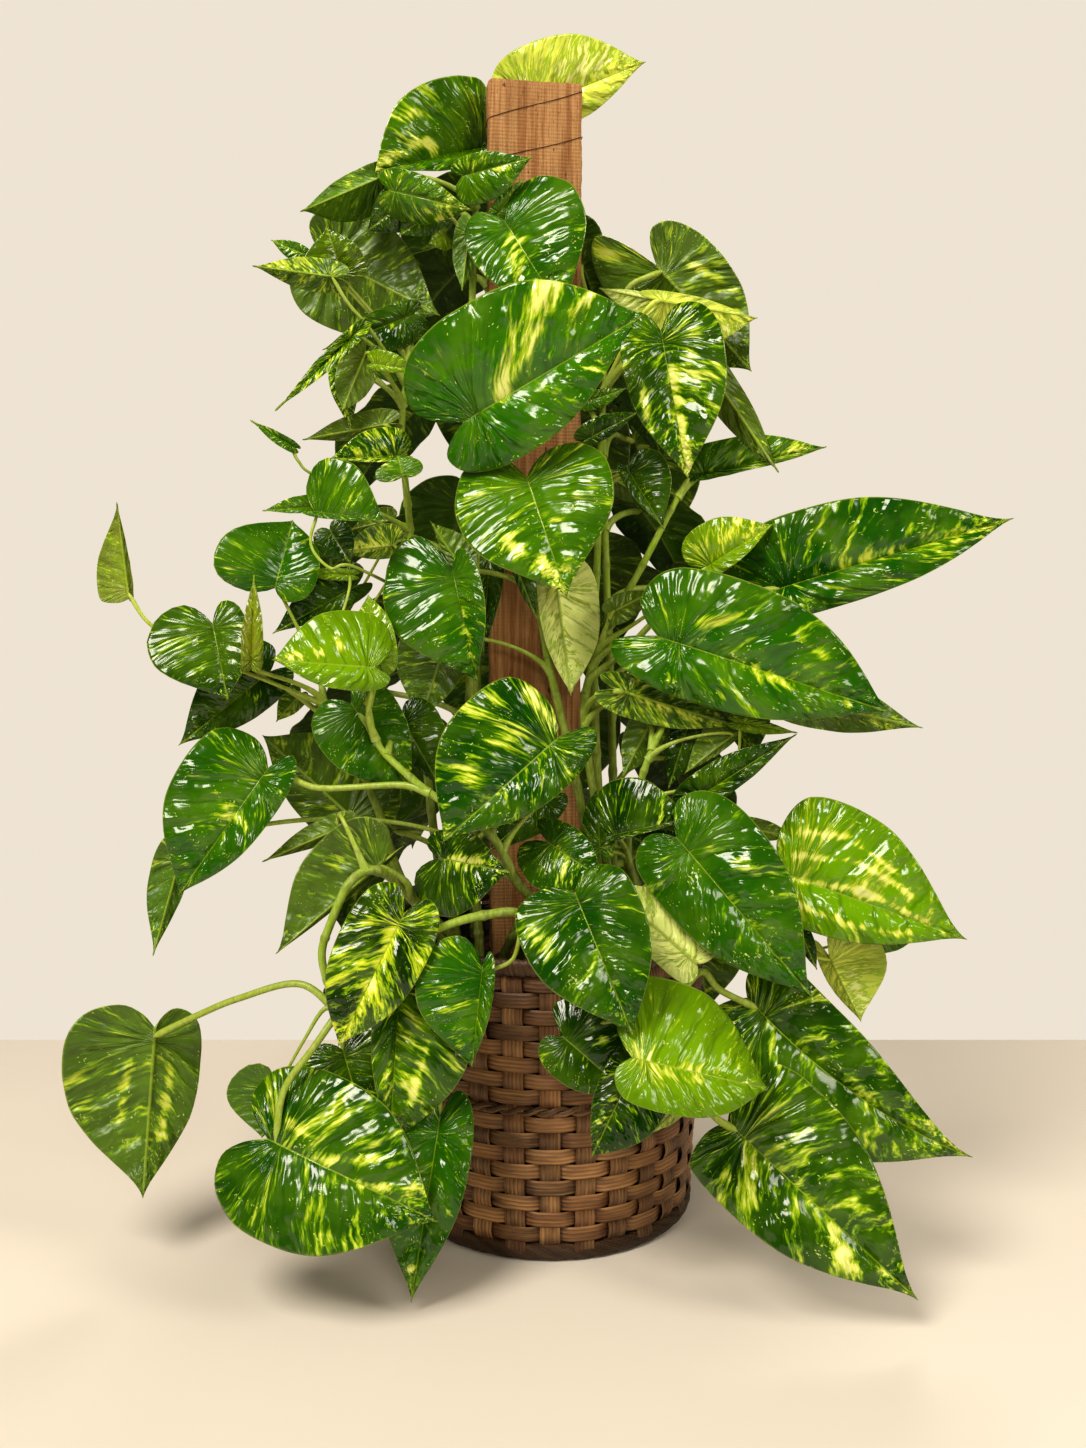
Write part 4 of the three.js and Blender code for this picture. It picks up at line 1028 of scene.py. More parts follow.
# ---------------------------------------------------------------- the leaves, stem by stem
VINES: tuple[Vine, ...] = (
    Vine("vine_crown", root=(-62, -28), route=(
        (474, 860, -22), (470, 700, -16), (468, 540, -14), (470, 380, -12), (474, 250, -12),
        (478, 175, -14),
    ), leaves=(
        Leaf("crest", (486, 146, -4), (376, 172, -78), Half(14, 50, 0.2), Half(62, 8, 0.8),
             via=((489, 152, 4),)),
        Leaf("crown_curl", (386, 175, -42), (300, 212, -62), Half(28, 55), Half(14, 20), face=-1),
        Leaf("crown_fold", (390, 190, -50), (473, 210, -62), Half(20, 15), Half(24, -30)),
        Leaf("crown_gloss", (463, 176, -30), (533, 157, -56), Half(16, 10), Half(27, 12, 0.2)),
        Leaf("crown_chip", (497, 215, -28), (524, 178, -34), Half(9, 15), Half(10, 15)),
        Leaf("crown_dark", (505, 222, -40), (566, 318, -58), Half(70, 8, 0, 0.2),
             Half(44, 20, 0, 0.22), Tone.GLOSS),
        Leaf("crown_under", (412, 196, -36), (366, 232, -26), Half(22, 5), Half(20, 5),
             Tone.DARK),
        Leaf("crown_shade", (440, 208, -26), (398, 236, -20), Half(16, 10), Half(22, 10),
             Tone.DARK),
        Leaf("crown_pale", (470, 226, -22), (462, 292, -36), Half(10, 30), Half(14, 20), Tone.MID,
             face=-1),
        Leaf("crown_yellow", (446, 236, -18), (428, 244, -24), Half(12, 10), Half(10, 10),
             Tone.LIME),
        Leaf("crown_low", (488, 232, -24), (492, 288, -30), Half(14, 10), Half(12, 10),
             Tone.DARK),
    )),
    Vine("vine_left_high", root=(-84, 6), route=(
        (438, 860, 2), (424, 740, -4), (414, 620, -10), (410, 530, -16), (402, 430, -24),
        (412, 340, -16),
    ), leaves=(
        Leaf("olive_big", (322, 254, -34), (441, 316, -52), Half(52, 8), Half(58, 8), Tone.OLIVE,
             face=-1),
        Leaf("left_peak", (344, 278, -62), (326, 226, -70), Half(37, 20), Half(24, 20),
             Tone.GREY),
        Leaf("left_wave", (336, 277, -70), (252, 266, -84), Half(16, 40), Half(15, 30), Tone.YELLOW,
             face=-1, via=((372, 332, -52), (348, 303, -64))),
        Leaf("left_nub", (304, 254, -64), (271, 240, -66), Half(9, 10), Half(7, 10)),
        Leaf("left_shade", (410, 316, -44), (322, 350, -58), Half(24, 12), Half(16, 12),
             Tone.DARK),
        Leaf("fan", (372, 367, -82), (386, 322, -58), Half(24, 6, 0.3), Half(38, 6, 0.4),
             Tone.GLOSS),
        Leaf("fan_lime", (374, 364, -78), (421, 371, -84), Half(14, 15), Half(6, 20), Tone.LIME),
        Leaf("left_strap", (356, 332, -66), (275, 411, -88), Half(9, 45), Half(7, 45),
             Tone.YELLOW),
        Leaf("grey_hang", (366, 352, -66), (342, 412, -76), Half(18, 15, 0.3), Half(20, 15, 0.3),
             Tone.GREY, face=-1),
        Leaf("yellow_hang", (344, 366, -58), (351, 432, -66), Half(12, 30), Half(16, 30),
             Tone.YELLOW),
        Leaf("left_hook", (293, 446, -78), (250, 420, -92), Half(7, 40), Half(5, 40),
             via=((318, 478, -66), (299, 462, -76))),
        Leaf("grey_mid", (388, 424, -54), (302, 440, -66), Half(10, 25), Half(16, 20), Tone.GREY,
             face=-1),
        Leaf("gold_edge", (401, 456, -66), (327, 460, -86), Half(5, 60), Half(28, 0, 0.1),
             Tone.YELLOW),
        Leaf("wedge", (403, 476, -72), (398, 456, -64), Half(26, 10), Half(21, 10), Tone.MID),
        Leaf("bright_roof", (314, 512, -84), (386, 522, -92), Half(54, 0, 0.3), Half(5, 60),
             Tone.MID, via=((352, 566, -84), (330, 568, -88), (311, 545, -88))),
        Leaf("bright_eave", (316, 507, -86), (262, 511, -98), Half(5, 50), Half(12, 10),
             Tone.MID),
    )),
    Vine("vine_front_high", root=(8, -34), route=(
        (586, 860, -34), (574, 770, -33), (560, 712, -32), (548, 660, -31), (538, 600, -30),
        (524, 520, -28), (504, 450, -27), (484, 370, -26),
    ), leaves=(
        Leaf("giant", (464, 422, -88), (645, 314, -112), Half(92, 6, 0.5, 0.2),
             Half(56, 18, 0, 0.16), Tone.GIANT),
        Leaf("shield", (527, 478, -84), (567, 597, -118), Half(80, 14, 0.1, 0.16),
             Half(79, 10, 0.1, 0.34)),
        Leaf("pale_drop", (556, 578, -50), (571, 697, -58), Half(40, 10, 0.2), Half(21, 10, 0.2),
             Tone.PALE, face=-1),
        Leaf("board_shade", (514, 560, -36), (537, 620, -36), Half(14, 10), Half(6, 10),
             Tone.DARK),
        Leaf("heart_fold", (453, 570, -82), (478, 683, -92), Half(25, 45), Half(74, 6, 0.1, 0.38),
             Tone.GLOSS),
        Leaf("heart_flap", (460, 566, -88), (430, 521, -84), Half(7, 20), Half(22, 10), Tone.OLIVE,
             face=-1),
        Leaf("slim_shade", (490, 546, -42), (483, 656, -48), Half(15, 15), Half(9, 15),
             Tone.DARK),
        Leaf("olive_mid", (446, 640, -46), (420, 722, -58), Half(26, 10, 0, 0.3),
             Half(44, 8, 0, 0.3), Tone.OLIVE, face=-1),
    )),
    Vine("vine_right_high", root=(46, 4), route=(
        (602, 860, 8), (596, 740, 6), (594, 640, 2), (598, 540, 0), (600, 450, -2), (606, 370, -8),
    ), leaves=(
        Leaf("arch_back", (657, 266, -26), (752, 372, -34), Half(50, 8, 0.2, 0.2),
             Half(58, 12, 0.1, 0.42), Tone.OLIVE, face=-1,
             via=((630, 350, -14), (626, 292, -22))),
        Leaf("pale_roof", (655, 300, -48), (758, 318, -62), Half(10, 40), Half(36, 6, 0.4),
             Tone.CREAM, face=-1),
        Leaf("pale_wing", (655, 300, -46), (598, 288, -38), Half(14, 12, 0.2), Half(5, 30),
             Tone.PALE, face=-1),
        Leaf("stripe_hang", (661, 332, -44), (688, 480, -62), Half(56, 20, 0.2), Half(42, 20, 0.2),
             Tone.STREAK),
        Leaf("grey_spear", (692, 345, -64), (779, 473, -82), Half(17, 40, 0.2, 0.05),
             Half(19, 35, 0.2, 0.05), Tone.GREY, face=-1),
        Leaf("dark_back", (640, 322, -30), (618, 372, -22), Half(26, 10), Half(22, 10),
             Tone.DARK),
        Leaf("sliver_up", (586, 402, -2), (627, 388, -6), Half(8, 20), Half(10, 20)),
        Leaf("sliver_low", (586, 440, -4), (640, 411, -8), Half(15, 15), Half(8, 15), Tone.DARK),
        Leaf("hood", (628, 470, -30), (664, 530, -48), Half(36, 10), Half(10, 40), Tone.DARK),
        Leaf("hood_tail", (646, 468, -26), (604, 474, -20), Half(12, 20), Half(6, 20), Tone.DARK,
             face=-1),
        Leaf("hood_grey", (612, 478, -14), (654, 505, -18), Half(9, 20), Half(13, 20), Tone.GREY,
             face=-1),
    )),
    Vine("vine_right_long", root=(62, -34), route=(
        (608, 870, -34), (590, 770, -32), (584, 712, -33), (592, 668, -34), (612, 620, -36),
        (640, 570, -40), (672, 508, -46), (689, 478, -50),
    ), leaves=(
        Leaf("right_plume", (694, 476, -54), (827, 447, -76), Half(28, 8, 0.25, 0.05),
             Half(6, 60, 0.6, 0.05), Tone.MID),
        Leaf("lit_cup", (705, 568, -64), (774, 524, -70), Half(38, 5, 0.1), Half(13, 45), Tone.LIME,
             via=((640, 620, -50), (672, 594, -60))),
        Leaf("long_sail", (768, 592, -66), (1015, 518, -92), Half(66, 8, 0, 0.16),
             Half(32, 25, 0.3, 0.1), Tone.SAIL,
             via=((626, 650, -58), (668, 610, -74), (716, 598, -74))),
        Leaf("broad_right", (659, 637, -96), (892, 713, -112), Half(77, 6, 0.3, 0.12),
             Half(50, 15, 0.1, 0.18), Tone.BRIGHT),
        Leaf("under_right", (790, 698, -80), (923, 728, -94), Half(30, 12), Half(24, 15),
             Tone.OLIVE, face=-1),
        Leaf("dark_gold", (618, 690, -72), (744, 728, -82), Half(20, 20), Half(24, 10), Tone.YELLOW,
             face=-1),
        Leaf("beak", (788, 604, -70), (841, 597, -84), Half(4, 20), Half(11, 20), Tone.DARK),
        Leaf("shade_fan", (612, 612, -58), (656, 590, -56), Half(14, 20), Half(15, 20), Tone.GREY,
             face=-1),
    )),
    Vine("vine_left_mid", root=(-92, -34), route=(
        (402, 880, -42), (378, 810, -52), (352, 750, -60), (326, 705, -66), (318, 650, -62),
    ), leaves=(
        Leaf("wide_left", (275, 588, -86), (293, 520, -62), Half(62, 8, 0.3, 0.14),
             Half(36, 25, 0.3), Tone.GLOSS, via=((300, 632, -76),)),
        Leaf("new_spear", (129, 598, -88), (117, 502, -98), Half(27, 12, -0.3, 0.04),
             Half(5, 50, 0, 0.04), Tone.FRESH, face=-1,
             via=((258, 676, -78), (196, 652, -82), (150, 623, -84))),
        Leaf("left_heart", (213, 624, -98), (228, 701, -118), Half(33, 25, 0.2, 0.28),
             Half(64, 6, 0.2, 0.34), Tone.HEART, via=((262, 676, -84),)),
        Leaf("lime_spear", (251, 668, -112), (254, 574, -104), Half(10, 30, 0, 0.04),
             Half(11, 30, 0, 0.04), Tone.FRESH),
        Leaf("left_kite", (270, 672, -88), (178, 746, -104), Half(26, 15), Half(40, 5), Tone.DARK,
             via=((300, 698, -80),)),
        Leaf("left_nest", (356, 586, -58), (272, 634, -70), Half(14, 15), Half(28, 8), Tone.DARK),
        Leaf("nest_gold", (396, 545, -48), (340, 552, -58), Half(12, 10), Half(22, 8), Tone.YELLOW,
             face=-1),
        Leaf("nest_grey", (392, 520, -34), (350, 530, -40), Half(16, 10), Half(14, 10), Tone.GREY,
             face=-1),
        Leaf("nest_dark", (330, 530, -62), (352, 566, -60), Half(18, 10), Half(20, 10),
             Tone.DARK),
        Leaf("tuft", (350, 575, -62), (290, 572, -70), Half(6, 20), Half(6, 20), Tone.LIME),
        Leaf("scrap", (300, 694, -66), (276, 722, -74), Half(10, 20), Half(14, 20), Tone.YELLOW,
             face=-1),
    )),
    Vine("vine_front_left", root=(-24, -60), route=(
        (532, 905, -88), (517, 882, -104), (497, 843, -116), (474, 820, -120), (440, 800, -118),
        (402, 770, -112), (376, 740, -104), (366, 692, -98),
    ), leaves=(
        Leaf("lime_lamp", (375, 668, -128), (272, 660, -146), Half(24, 20, 0.2), Half(55, -18, 0.4),
             Tone.LAMP, via=((368, 715, -112), (372, 690, -122))),
        Leaf("lime_lobe", (379, 664, -118), (368, 594, -102), Half(20, 10, 0.3), Half(20, 15, 0.3),
             Tone.LIME),
        Leaf("great_left", (268, 769, -106), (178, 896, -132), Half(30, 30, 0.3),
             Half(70, 4, 0.3, 0.12), Tone.GLOSS,
             via=((400, 785, -112), (320, 788, -108), (285, 775, -106))),
        Leaf("left_tail", (182, 852, -92), (153, 956, -104), Half(12, 30), Half(24, 20), Tone.MID,
             face=-1),
        Leaf("centre_banner", (558, 738, -112), (443, 842, -154), Half(42, 10, 0.1, 0.24),
             Half(88, 6, 0.5, 0.12), Tone.BANNER, via=((500, 800, -104), (560, 762, -100))),
        Leaf("left_bowl", (352, 704, -84), (414, 795, -96), Half(38, 8), Half(50, 6), Tone.GLOSS),
        Leaf("bowl_shade", (402, 718, -58), (442, 790, -66), Half(34, 8), Half(18, 8), Tone.DARK),
        Leaf("centre_heart", (440, 858, -108), (510, 872, -146), Half(32, 6, 0.1, 0.3),
             Half(56, 4, 0.2, 0.42), Tone.HEART),
        Leaf("centre_shade", (550, 796, -64), (488, 852, -78), Half(22, 8), Half(26, 8),
             Tone.DARK),
    )),
    Vine("vine_left_low", root=(-70, -64), route=(
        (418, 905, -92), (382, 872, -128), (352, 880, -142), (330, 925, -150), (322, 958, -152),
        (334, 1000, -150), (350, 1030, -150),
    ), leaves=(
        Leaf("olive_low_left", (359, 824, -84), (262, 735, -98), Half(34, 8, 0.2), Half(60, 6, 0.3),
             Tone.OLIVE, face=-1),
        Leaf("grey_claw", (345, 826, -110), (262, 862, -116), Half(8, 40), Half(16, 25), Tone.GREY,
             face=-1),
        Leaf("claw_shade", (376, 846, -106), (320, 850, -102), Half(12, 10), Half(27, 8),
             Tone.DARK),
        Leaf("olive_fall", (385, 860, -142), (276, 954, -156), Half(5, 60, 0.4), Half(56, 4, 0.1),
             Tone.OLIVE, face=-1, via=((406, 882, -128),)),
        Leaf("far_left", (155, 1028, -112), (143, 1198, -136), Half(43, 10, 0.2, 0.12),
             Half(78, 4, 0.1, 0.14), Tone.FRESH_UNDER, face=-1,
             via=((300, 984, -140), (240, 998, -130), (196, 1016, -120))),
        Leaf("low_ear", (277, 1088, -168), (262, 1138, -176), Half(20, 15, 0.2, 0.3),
             Half(44, 8, 0.3, 0.4), Tone.MID, face=-1,
             via=((326, 1008, -158), (303, 1042, -164))),
        Leaf("low_giant", (268, 1139, -190), (438, 1222, -224), Half(78, 8, 0.3, 0.2),
             Half(80, 6, 0.2, 0.2), Tone.BANNER,
             via=((340, 1012, -162), (312, 1050, -176), (284, 1090, -184))),
        Leaf("low_backer", (343, 1050, -148), (367, 1134, -160), Half(42, 10, 0.1, 0.16),
             Half(43, 8, 0.1, 0.14), Tone.HEART),
    )),
    Vine("vine_front_low", root=(-40, -84), route=(
        (520, 916, -128), (480, 916, -150), (440, 928, -160), (404, 944, -166), (396, 968, -168),
    ), leaves=(
        Leaf("gold_rib", (404, 914, -162), (338, 1047, -182), Half(40, 14, 0.3), Half(48, 8, 0.4),
             Tone.GOLD),
        Leaf("green_bell", (483, 967, -178), (472, 1068, -192), Half(13, 45),
             Half(63, 8, 0.1, 0.28), Tone.BRIGHT, via=((520, 930, -160), (512, 960, -170))),
        Leaf("long_hang", (400, 976, -174), (389, 1148, -198), Half(74, 8, 0.3, 0.04),
             Half(24, 25, 0.1), Tone.STREAK),
        Leaf("low_drop", (440, 1118, -146), (411, 1304, -182), Half(34, 14), Half(48, 8),
             Tone.GLOSS),
    )),
    Vine("vine_front_right", root=(20, -86), route=(
        (566, 920, -130), (590, 930, -158), (622, 960, -172), (660, 1000, -182), (690, 1050, -188),
    ), leaves=(
        Leaf("crease", (575, 893, -152), (634, 1038, -198), Half(57, 12, 0.2, 0.12),
             Half(68, 14, 0.1, 0.1), Tone.CREASE),
        Leaf("pot_dark", (563, 1037, -158), (633, 1098, -172), Half(47, 8, 0.1, 0.3), Half(34, 10),
             Tone.DARK),
        Leaf("pot_point", (637, 1062, -172), (591, 1158, -184), Half(45, 8, 0.3), Half(25, 12, 0.1),
             Tone.HEART),
        Leaf("pot_chip", (682, 1106, -170), (650, 1134, -174), Half(7, 10), Half(15, 10), Tone.PALE,
             face=-1),
        Leaf("lime_face", (632, 1058, -212), (769, 1090, -196), Half(82, -26, 0.4, 0.12),
             Half(42, 24, 0.3, 0.1), Tone.LAMP),
        Leaf("right_sweep", (748, 998, -140), (974, 1158, -172), Half(53, 10, -0.2, 0.05),
             Half(78, 6, 0, 0.08), Tone.STREAK, bow=-15,
             via=((700, 972, -164), (720, 990, -152))),
        Leaf("right_blade", (728, 1123, -176), (919, 1301, -234), Half(78, 8, -0.05, 0.05),
             Half(58, 8, 0.1, 0.04), Tone.STREAK, via=((708, 1108, -184),)),
    )),
    Vine("vine_right_low", root=(78, -58), route=(
        (638, 900, -96), (668, 880, -118), (700, 890, -128), (730, 925, -130), (760, 950, -120),
    ), leaves=(
        Leaf("dark_giant", (677, 838, -128), (813, 998, -168), Half(67, 8, 0.1, 0.14),
             Half(54, 10, 0.2, 0.1), Tone.GLOSS),
        Leaf("cream_sail", (782, 873, -84), (968, 940, -108), Half(83, 6, -0.1, 0.08),
             Half(43, 14, 0, 0.06), Tone.CREAM_SAIL),
        Leaf("cream_fold", (780, 874, -76), (840, 811, -84), Half(13, 20, 0.2), Half(5, 30),
             Tone.MID, face=-1),
        Leaf("cream_hang", (829, 957, -86), (861, 1022, -98), Half(50, 10, 0.1, 0.48),
             Half(12, 30, 0.1, 0.3), Tone.CREAM, face=-1, via=((790, 952, -104),)),
        Leaf("olive_chip", (872, 934, -84), (927, 928, -92), Half(4, 20), Half(19, 8), Tone.MID,
             face=-1, via=((806, 951, -104),)),
        Leaf("dark_chip", (800, 930, -92), (817, 970, -98), Half(9, 10), Half(7, 10), Tone.DARK),
        Leaf("grey_back_right", (745, 828, -70), (797, 838, -80), Half(12, 10), Half(9, 10),
             Tone.GREY, face=-1),
        Leaf("pale_shoe", (697, 964, -172), (602, 880, -156), Half(26, 8, 0.2, 0.06),
             Half(38, 10, 0.2, 0.06), Tone.PALE, face=-1, via=((702, 925, -150),)),
        Leaf("shoe_lid", (691, 930, -160), (677, 840, -146), Half(36, 10), Half(20, 14),
             Tone.LIME),
        Leaf("shoe_shade", (676, 862, -122), (628, 834, -128), Half(12, 8), Half(26, 8),
             Tone.DARK),
    )),
    Vine("vine_right_mid", root=(92, -18), route=(
        (628, 860, -52), (636, 800, -66), (648, 760, -72), (664, 725, -70),
    ), leaves=(
        Leaf("wave_roof", (612, 836, -122), (692, 818, -140), Half(54, -4, 0.3), Half(5, 60, 0.2),
             Tone.HEART),
        Leaf("curl_heart", (548, 842, -112), (605, 881, -136), Half(27, 8, 0.2, 0.34),
             Half(44, 8, 0.2, 0.34), Tone.CREASE),
        Leaf("round_lobe", (600, 852, -112), (598, 788, -98), Half(17, 8, 0.5), Half(15, 8, 0.5),
             Tone.MID),
        Leaf("right_horn", (694, 800, -92), (797, 734, -106), Half(22, 10), Half(14, 20),
             Tone.DARK),
        Leaf("horn_wave", (737, 722, -92), (798, 733, -98), Half(6, 20), Half(8, 20), Tone.LIME,
             via=((731, 778, -86), (738, 765, -90))),
        Leaf("grey_flag", (734, 734, -86), (684, 774, -88), Half(6, 10), Half(22, 10), Tone.GREY,
             face=-1),
        Leaf("inner_green", (652, 720, -54), (622, 778, -58), Half(20, 10), Half(20, 10),
             Tone.OLIVE, face=-1),
        Leaf("inner_stalk", (690, 720, -58), (668, 790, -62), Half(18, 10), Half(16, 10),
             Tone.DARK),
    )),
    Vine("vine_rear_left", root=(-70, 44), path=(
        (-72, 48, 300), (-68, 46, 420), (-64, 44, 560), (-60, 40, 700), (-52, 34, 850),
        (-40, 30, 930),
    )),
    Vine("vine_rear_mid", root=(-6, 40), path=(
        (-8, 34, 300), (-10, 30, 460), (-14, 28, 620), (-12, 28, 780), (-6, 28, 900),
    ), leaves=(
        Leaf("top_sail", (520, 112, 38), (646, 62, 14), Half(48, 4, 0.3), Half(25, 12, 0.2),
             Tone.CREAM),
    )),
    Vine("vine_rear_right", root=(58, 46), path=(
        (60, 48, 300), (58, 46, 430), (52, 42, 570), (48, 38, 700), (44, 34, 800),
    )),
    Vine("vine_rear_trail_left", root=(-46, 82), path=(
        (-66, 104, 270), (-92, 136, 276), (-112, 160, 240), (-122, 172, 190), (-128, 178, 150),
    )),
    Vine("vine_rear_trail_right", root=(38, 86), path=(
        (56, 112, 270), (78, 142, 276), (96, 164, 240), (106, 176, 190), (112, 180, 150),
    )),
)

REAR: tuple[RearLeaf, ...] = (
    RearLeaf(105, 930, 46, 92, 40, Tone.BRIGHT),
    RearLeaf(128, 915, 96, 128, 30, Tone.GLOSS),
    RearLeaf(66, 850, 70, 118, 48, Tone.HEART),
    RearLeaf(92, 880, 92, 138, 52, Tone.BANNER),
    RearLeaf(142, 842, 104, 126, 44, Tone.DARK),
    RearLeaf(62, 812, 120, 142, 48, Tone.GLOSS),
    RearLeaf(46, 768, 88, 118, 54, Tone.BRIGHT),
    RearLeaf(112, 782, 118, 150, 58, Tone.HEART),
    RearLeaf(146, 724, 142, 140, 44, Tone.BANNER),
    RearLeaf(84, 716, 132, 156, 56, Tone.DARK),
    RearLeaf(62, 706, 112, 140, 52, Tone.STREAK),
    RearLeaf(42, 630, 112, 128, 52, Tone.GLOSS),
    RearLeaf(122, 640, 146, 156, 56, Tone.GLOSS),
    RearLeaf(160, 612, 160, 134, 42, Tone.BRIGHT),
    RearLeaf(98, 612, 138, 150, 62, Tone.BRIGHT),
    RearLeaf(78, 588, 140, 156, 58, Tone.HEART),
    RearLeaf(34, 560, 158, 150, 48, Tone.DARK),
    RearLeaf(138, 540, 164, 152, 52, Tone.HEART),
    RearLeaf(106, 506, 156, 158, 60, Tone.BANNER),
    RearLeaf(58, 480, 164, 160, 56, Tone.GLOSS),
    RearLeaf(38, 486, 150, 140, 54, Tone.STREAK),
    RearLeaf(156, 462, 178, 142, 48, Tone.DARK),
    RearLeaf(86, 432, 170, 150, 58, Tone.DARK),
    RearLeaf(124, 408, 176, 156, 56, Tone.BRIGHT),
    RearLeaf(50, 392, 176, 150, 58, Tone.HEART),
    RearLeaf(66, 330, 178, 152, 60, Tone.BRIGHT),
    RearLeaf(104, 330, 180, 148, 62, Tone.GLOSS),
    RearLeaf(142, 320, 190, 150, 58, Tone.STREAK),
    RearLeaf(24, 312, 190, 146, 58, Tone.GLOSS),
    RearLeaf(50, 236, 206, 148, 66, Tone.BANNER),
    RearLeaf(124, 232, 210, 150, 66, Tone.HEART),
    RearLeaf(145, 206, 196, 130, 66, Tone.BRIGHT),
    RearLeaf(84, 214, 196, 140, 68, Tone.DARK),
)

# Pale streaks on leaves, as the view shows them.
STROKES: dict[str, tuple[Stroke, ...]] = {
    "giant": (
        Stroke(20, ((555, 266), (541, 305)), 1.55),
        Stroke(16, ((541, 305), (518, 355), (501, 391)), 1.2),
        Stroke(6, ((598, 288), (570, 312)), 1.2),
        Stroke(4, ((545, 393), (558, 393)), 0.8),
    ),
    "crest": (
        Stroke(6, ((368, 124), (385, 116), (415, 115))),
        Stroke(8, ((430, 138), (400, 152), (372, 170))),
        Stroke(8, ((425, 142), (440, 143)), 0.8),
        Stroke(4, ((385, 95), (405, 88)), 0.6),
    ),
    "top_sail": (Stroke(26, ((520, 100), (575, 62), (640, 20)), 0.5),),
    "crown_dark": (Stroke(11, ((514, 240), (512, 275)), 0.9),),
    "crown_gloss": (Stroke(4, ((495, 171), (510, 168))),),
    "crown_fold": (Stroke(12, ((450, 205), (470, 185)), 0.6),),
    "shield": (
        Stroke(9, ((508, 540), (520, 556)), 1.1),
        Stroke(7, ((540, 560), (563, 590)), 1.1),
        Stroke(10, ((555, 588), (578, 560)), 0.5),
    ),
    "arch_back": (
        Stroke(5, ((688, 262), (735, 290))),
        Stroke(4, ((715, 290), (742, 300))),
        Stroke(12, ((600, 252), (650, 252)), 0.6),
    ),
    "pale_roof": (Stroke(5, ((720, 326), (745, 330)), 0.8),),
    "stripe_hang": (
        Stroke(7, ((672, 370), (682, 420), (688, 472)), 1.1),
        Stroke(4, ((640, 380), (650, 430))),
    ),
    "right_plume": (Stroke(14, ((755, 462), (800, 448)), 0.55),),
    "long_sail": (
        Stroke(11, ((925, 538), (1005, 522)), 0.6),
        Stroke(5, ((850, 560), (900, 548)), 0.5),
    ),
    "broad_right": (
        Stroke(6, ((740, 658), (790, 688)), 0.9),
        Stroke(6, ((700, 622), (740, 618)), 0.7),
        Stroke(5, ((800, 640), (840, 668)), 0.6),
    ),
    "lit_cup": (Stroke(16, ((705, 545), (760, 528)), 0.5),),
    "lime_lamp": (
        Stroke(8, ((285, 660), (340, 648)), 0.8),
        Stroke(6, ((300, 700), (350, 690)), 0.6),
    ),
    "great_left": (Stroke(6, ((215, 792), (250, 828))),),
    "centre_banner": (
        Stroke(12, ((470, 760), (520, 730)), 0.5),
        Stroke(7, ((530, 692), (557, 728))),
    ),
    "centre_heart": (Stroke(8, ((455, 862), (480, 864)), 0.9),),
    "curl_heart": (Stroke(7, ((560, 850), (566, 880)), 0.9),),
    "dark_giant": (Stroke(9, ((740, 862), (752, 872)), 0.7),),
    "cream_sail": (
        Stroke(4, ((800, 832), (850, 838), (895, 872))),
        Stroke(4, ((795, 855), (860, 862), (915, 898))),
        Stroke(4, ((795, 880), (860, 890), (925, 920))),
        Stroke(4, ((800, 905), (850, 925), (900, 935))),
    ),
    "cream_hang": (Stroke(9, ((850, 975), (868, 1010)), 0.9),),
    "crease": (Stroke(11, ((530, 930), (552, 955)), 0.9),),
    "gold_rib": (Stroke(8, ((395, 930), (360, 1010), (342, 1042)), 0.8),),
    "long_hang": (Stroke(5, ((428, 1045), (410, 1105)), 0.9),),
    "low_giant": (
        Stroke(5, ((290, 1122), (310, 1138))),
        Stroke(6, ((320, 1160), (395, 1162))),
        Stroke(5, ((355, 1183), (430, 1192))),
        Stroke(8, ((326, 1236), (340, 1246)), 0.8),
    ),
    "low_drop": (Stroke(7, ((412, 1270), (411, 1300)), 0.5),),
    "far_left": (
        Stroke(5, ((130, 1060), (118, 1130)), 0.9),
        Stroke(5, ((170, 1070), (160, 1140)), 0.9),
    ),
    "lime_face": (Stroke(14, ((628, 1050), (655, 1070), (700, 1078)), 0.9),),
    "pot_dark": (Stroke(5, ((590, 1022), (604, 1044)), 0.9),),
    "right_sweep": (Stroke(6, ((930, 1125), (965, 1150)), 0.6),),
    "right_blade": (
        Stroke(5, ((745, 1142), (757, 1208)), 0.9),
        Stroke(7, ((798, 1182), (830, 1230), (858, 1272)), 0.8),
    ),
    "gold_edge": (Stroke(7, ((340, 470), (385, 466)), 0.8),),
    "left_wave": (Stroke(5, ((270, 262), (310, 262)), 0.6),),
    "nest_gold": (Stroke(6, ((350, 550), (385, 546)), 0.8),),
    "low_ear": (Stroke(5, ((268, 1110), (265, 1130)), 0.5),),
    "pale_drop": (Stroke(5, ((562, 620), (568, 680)), 0.5),),
    "heart_fold": (Stroke(6, ((462, 600), (472, 660)), 0.6),),
}


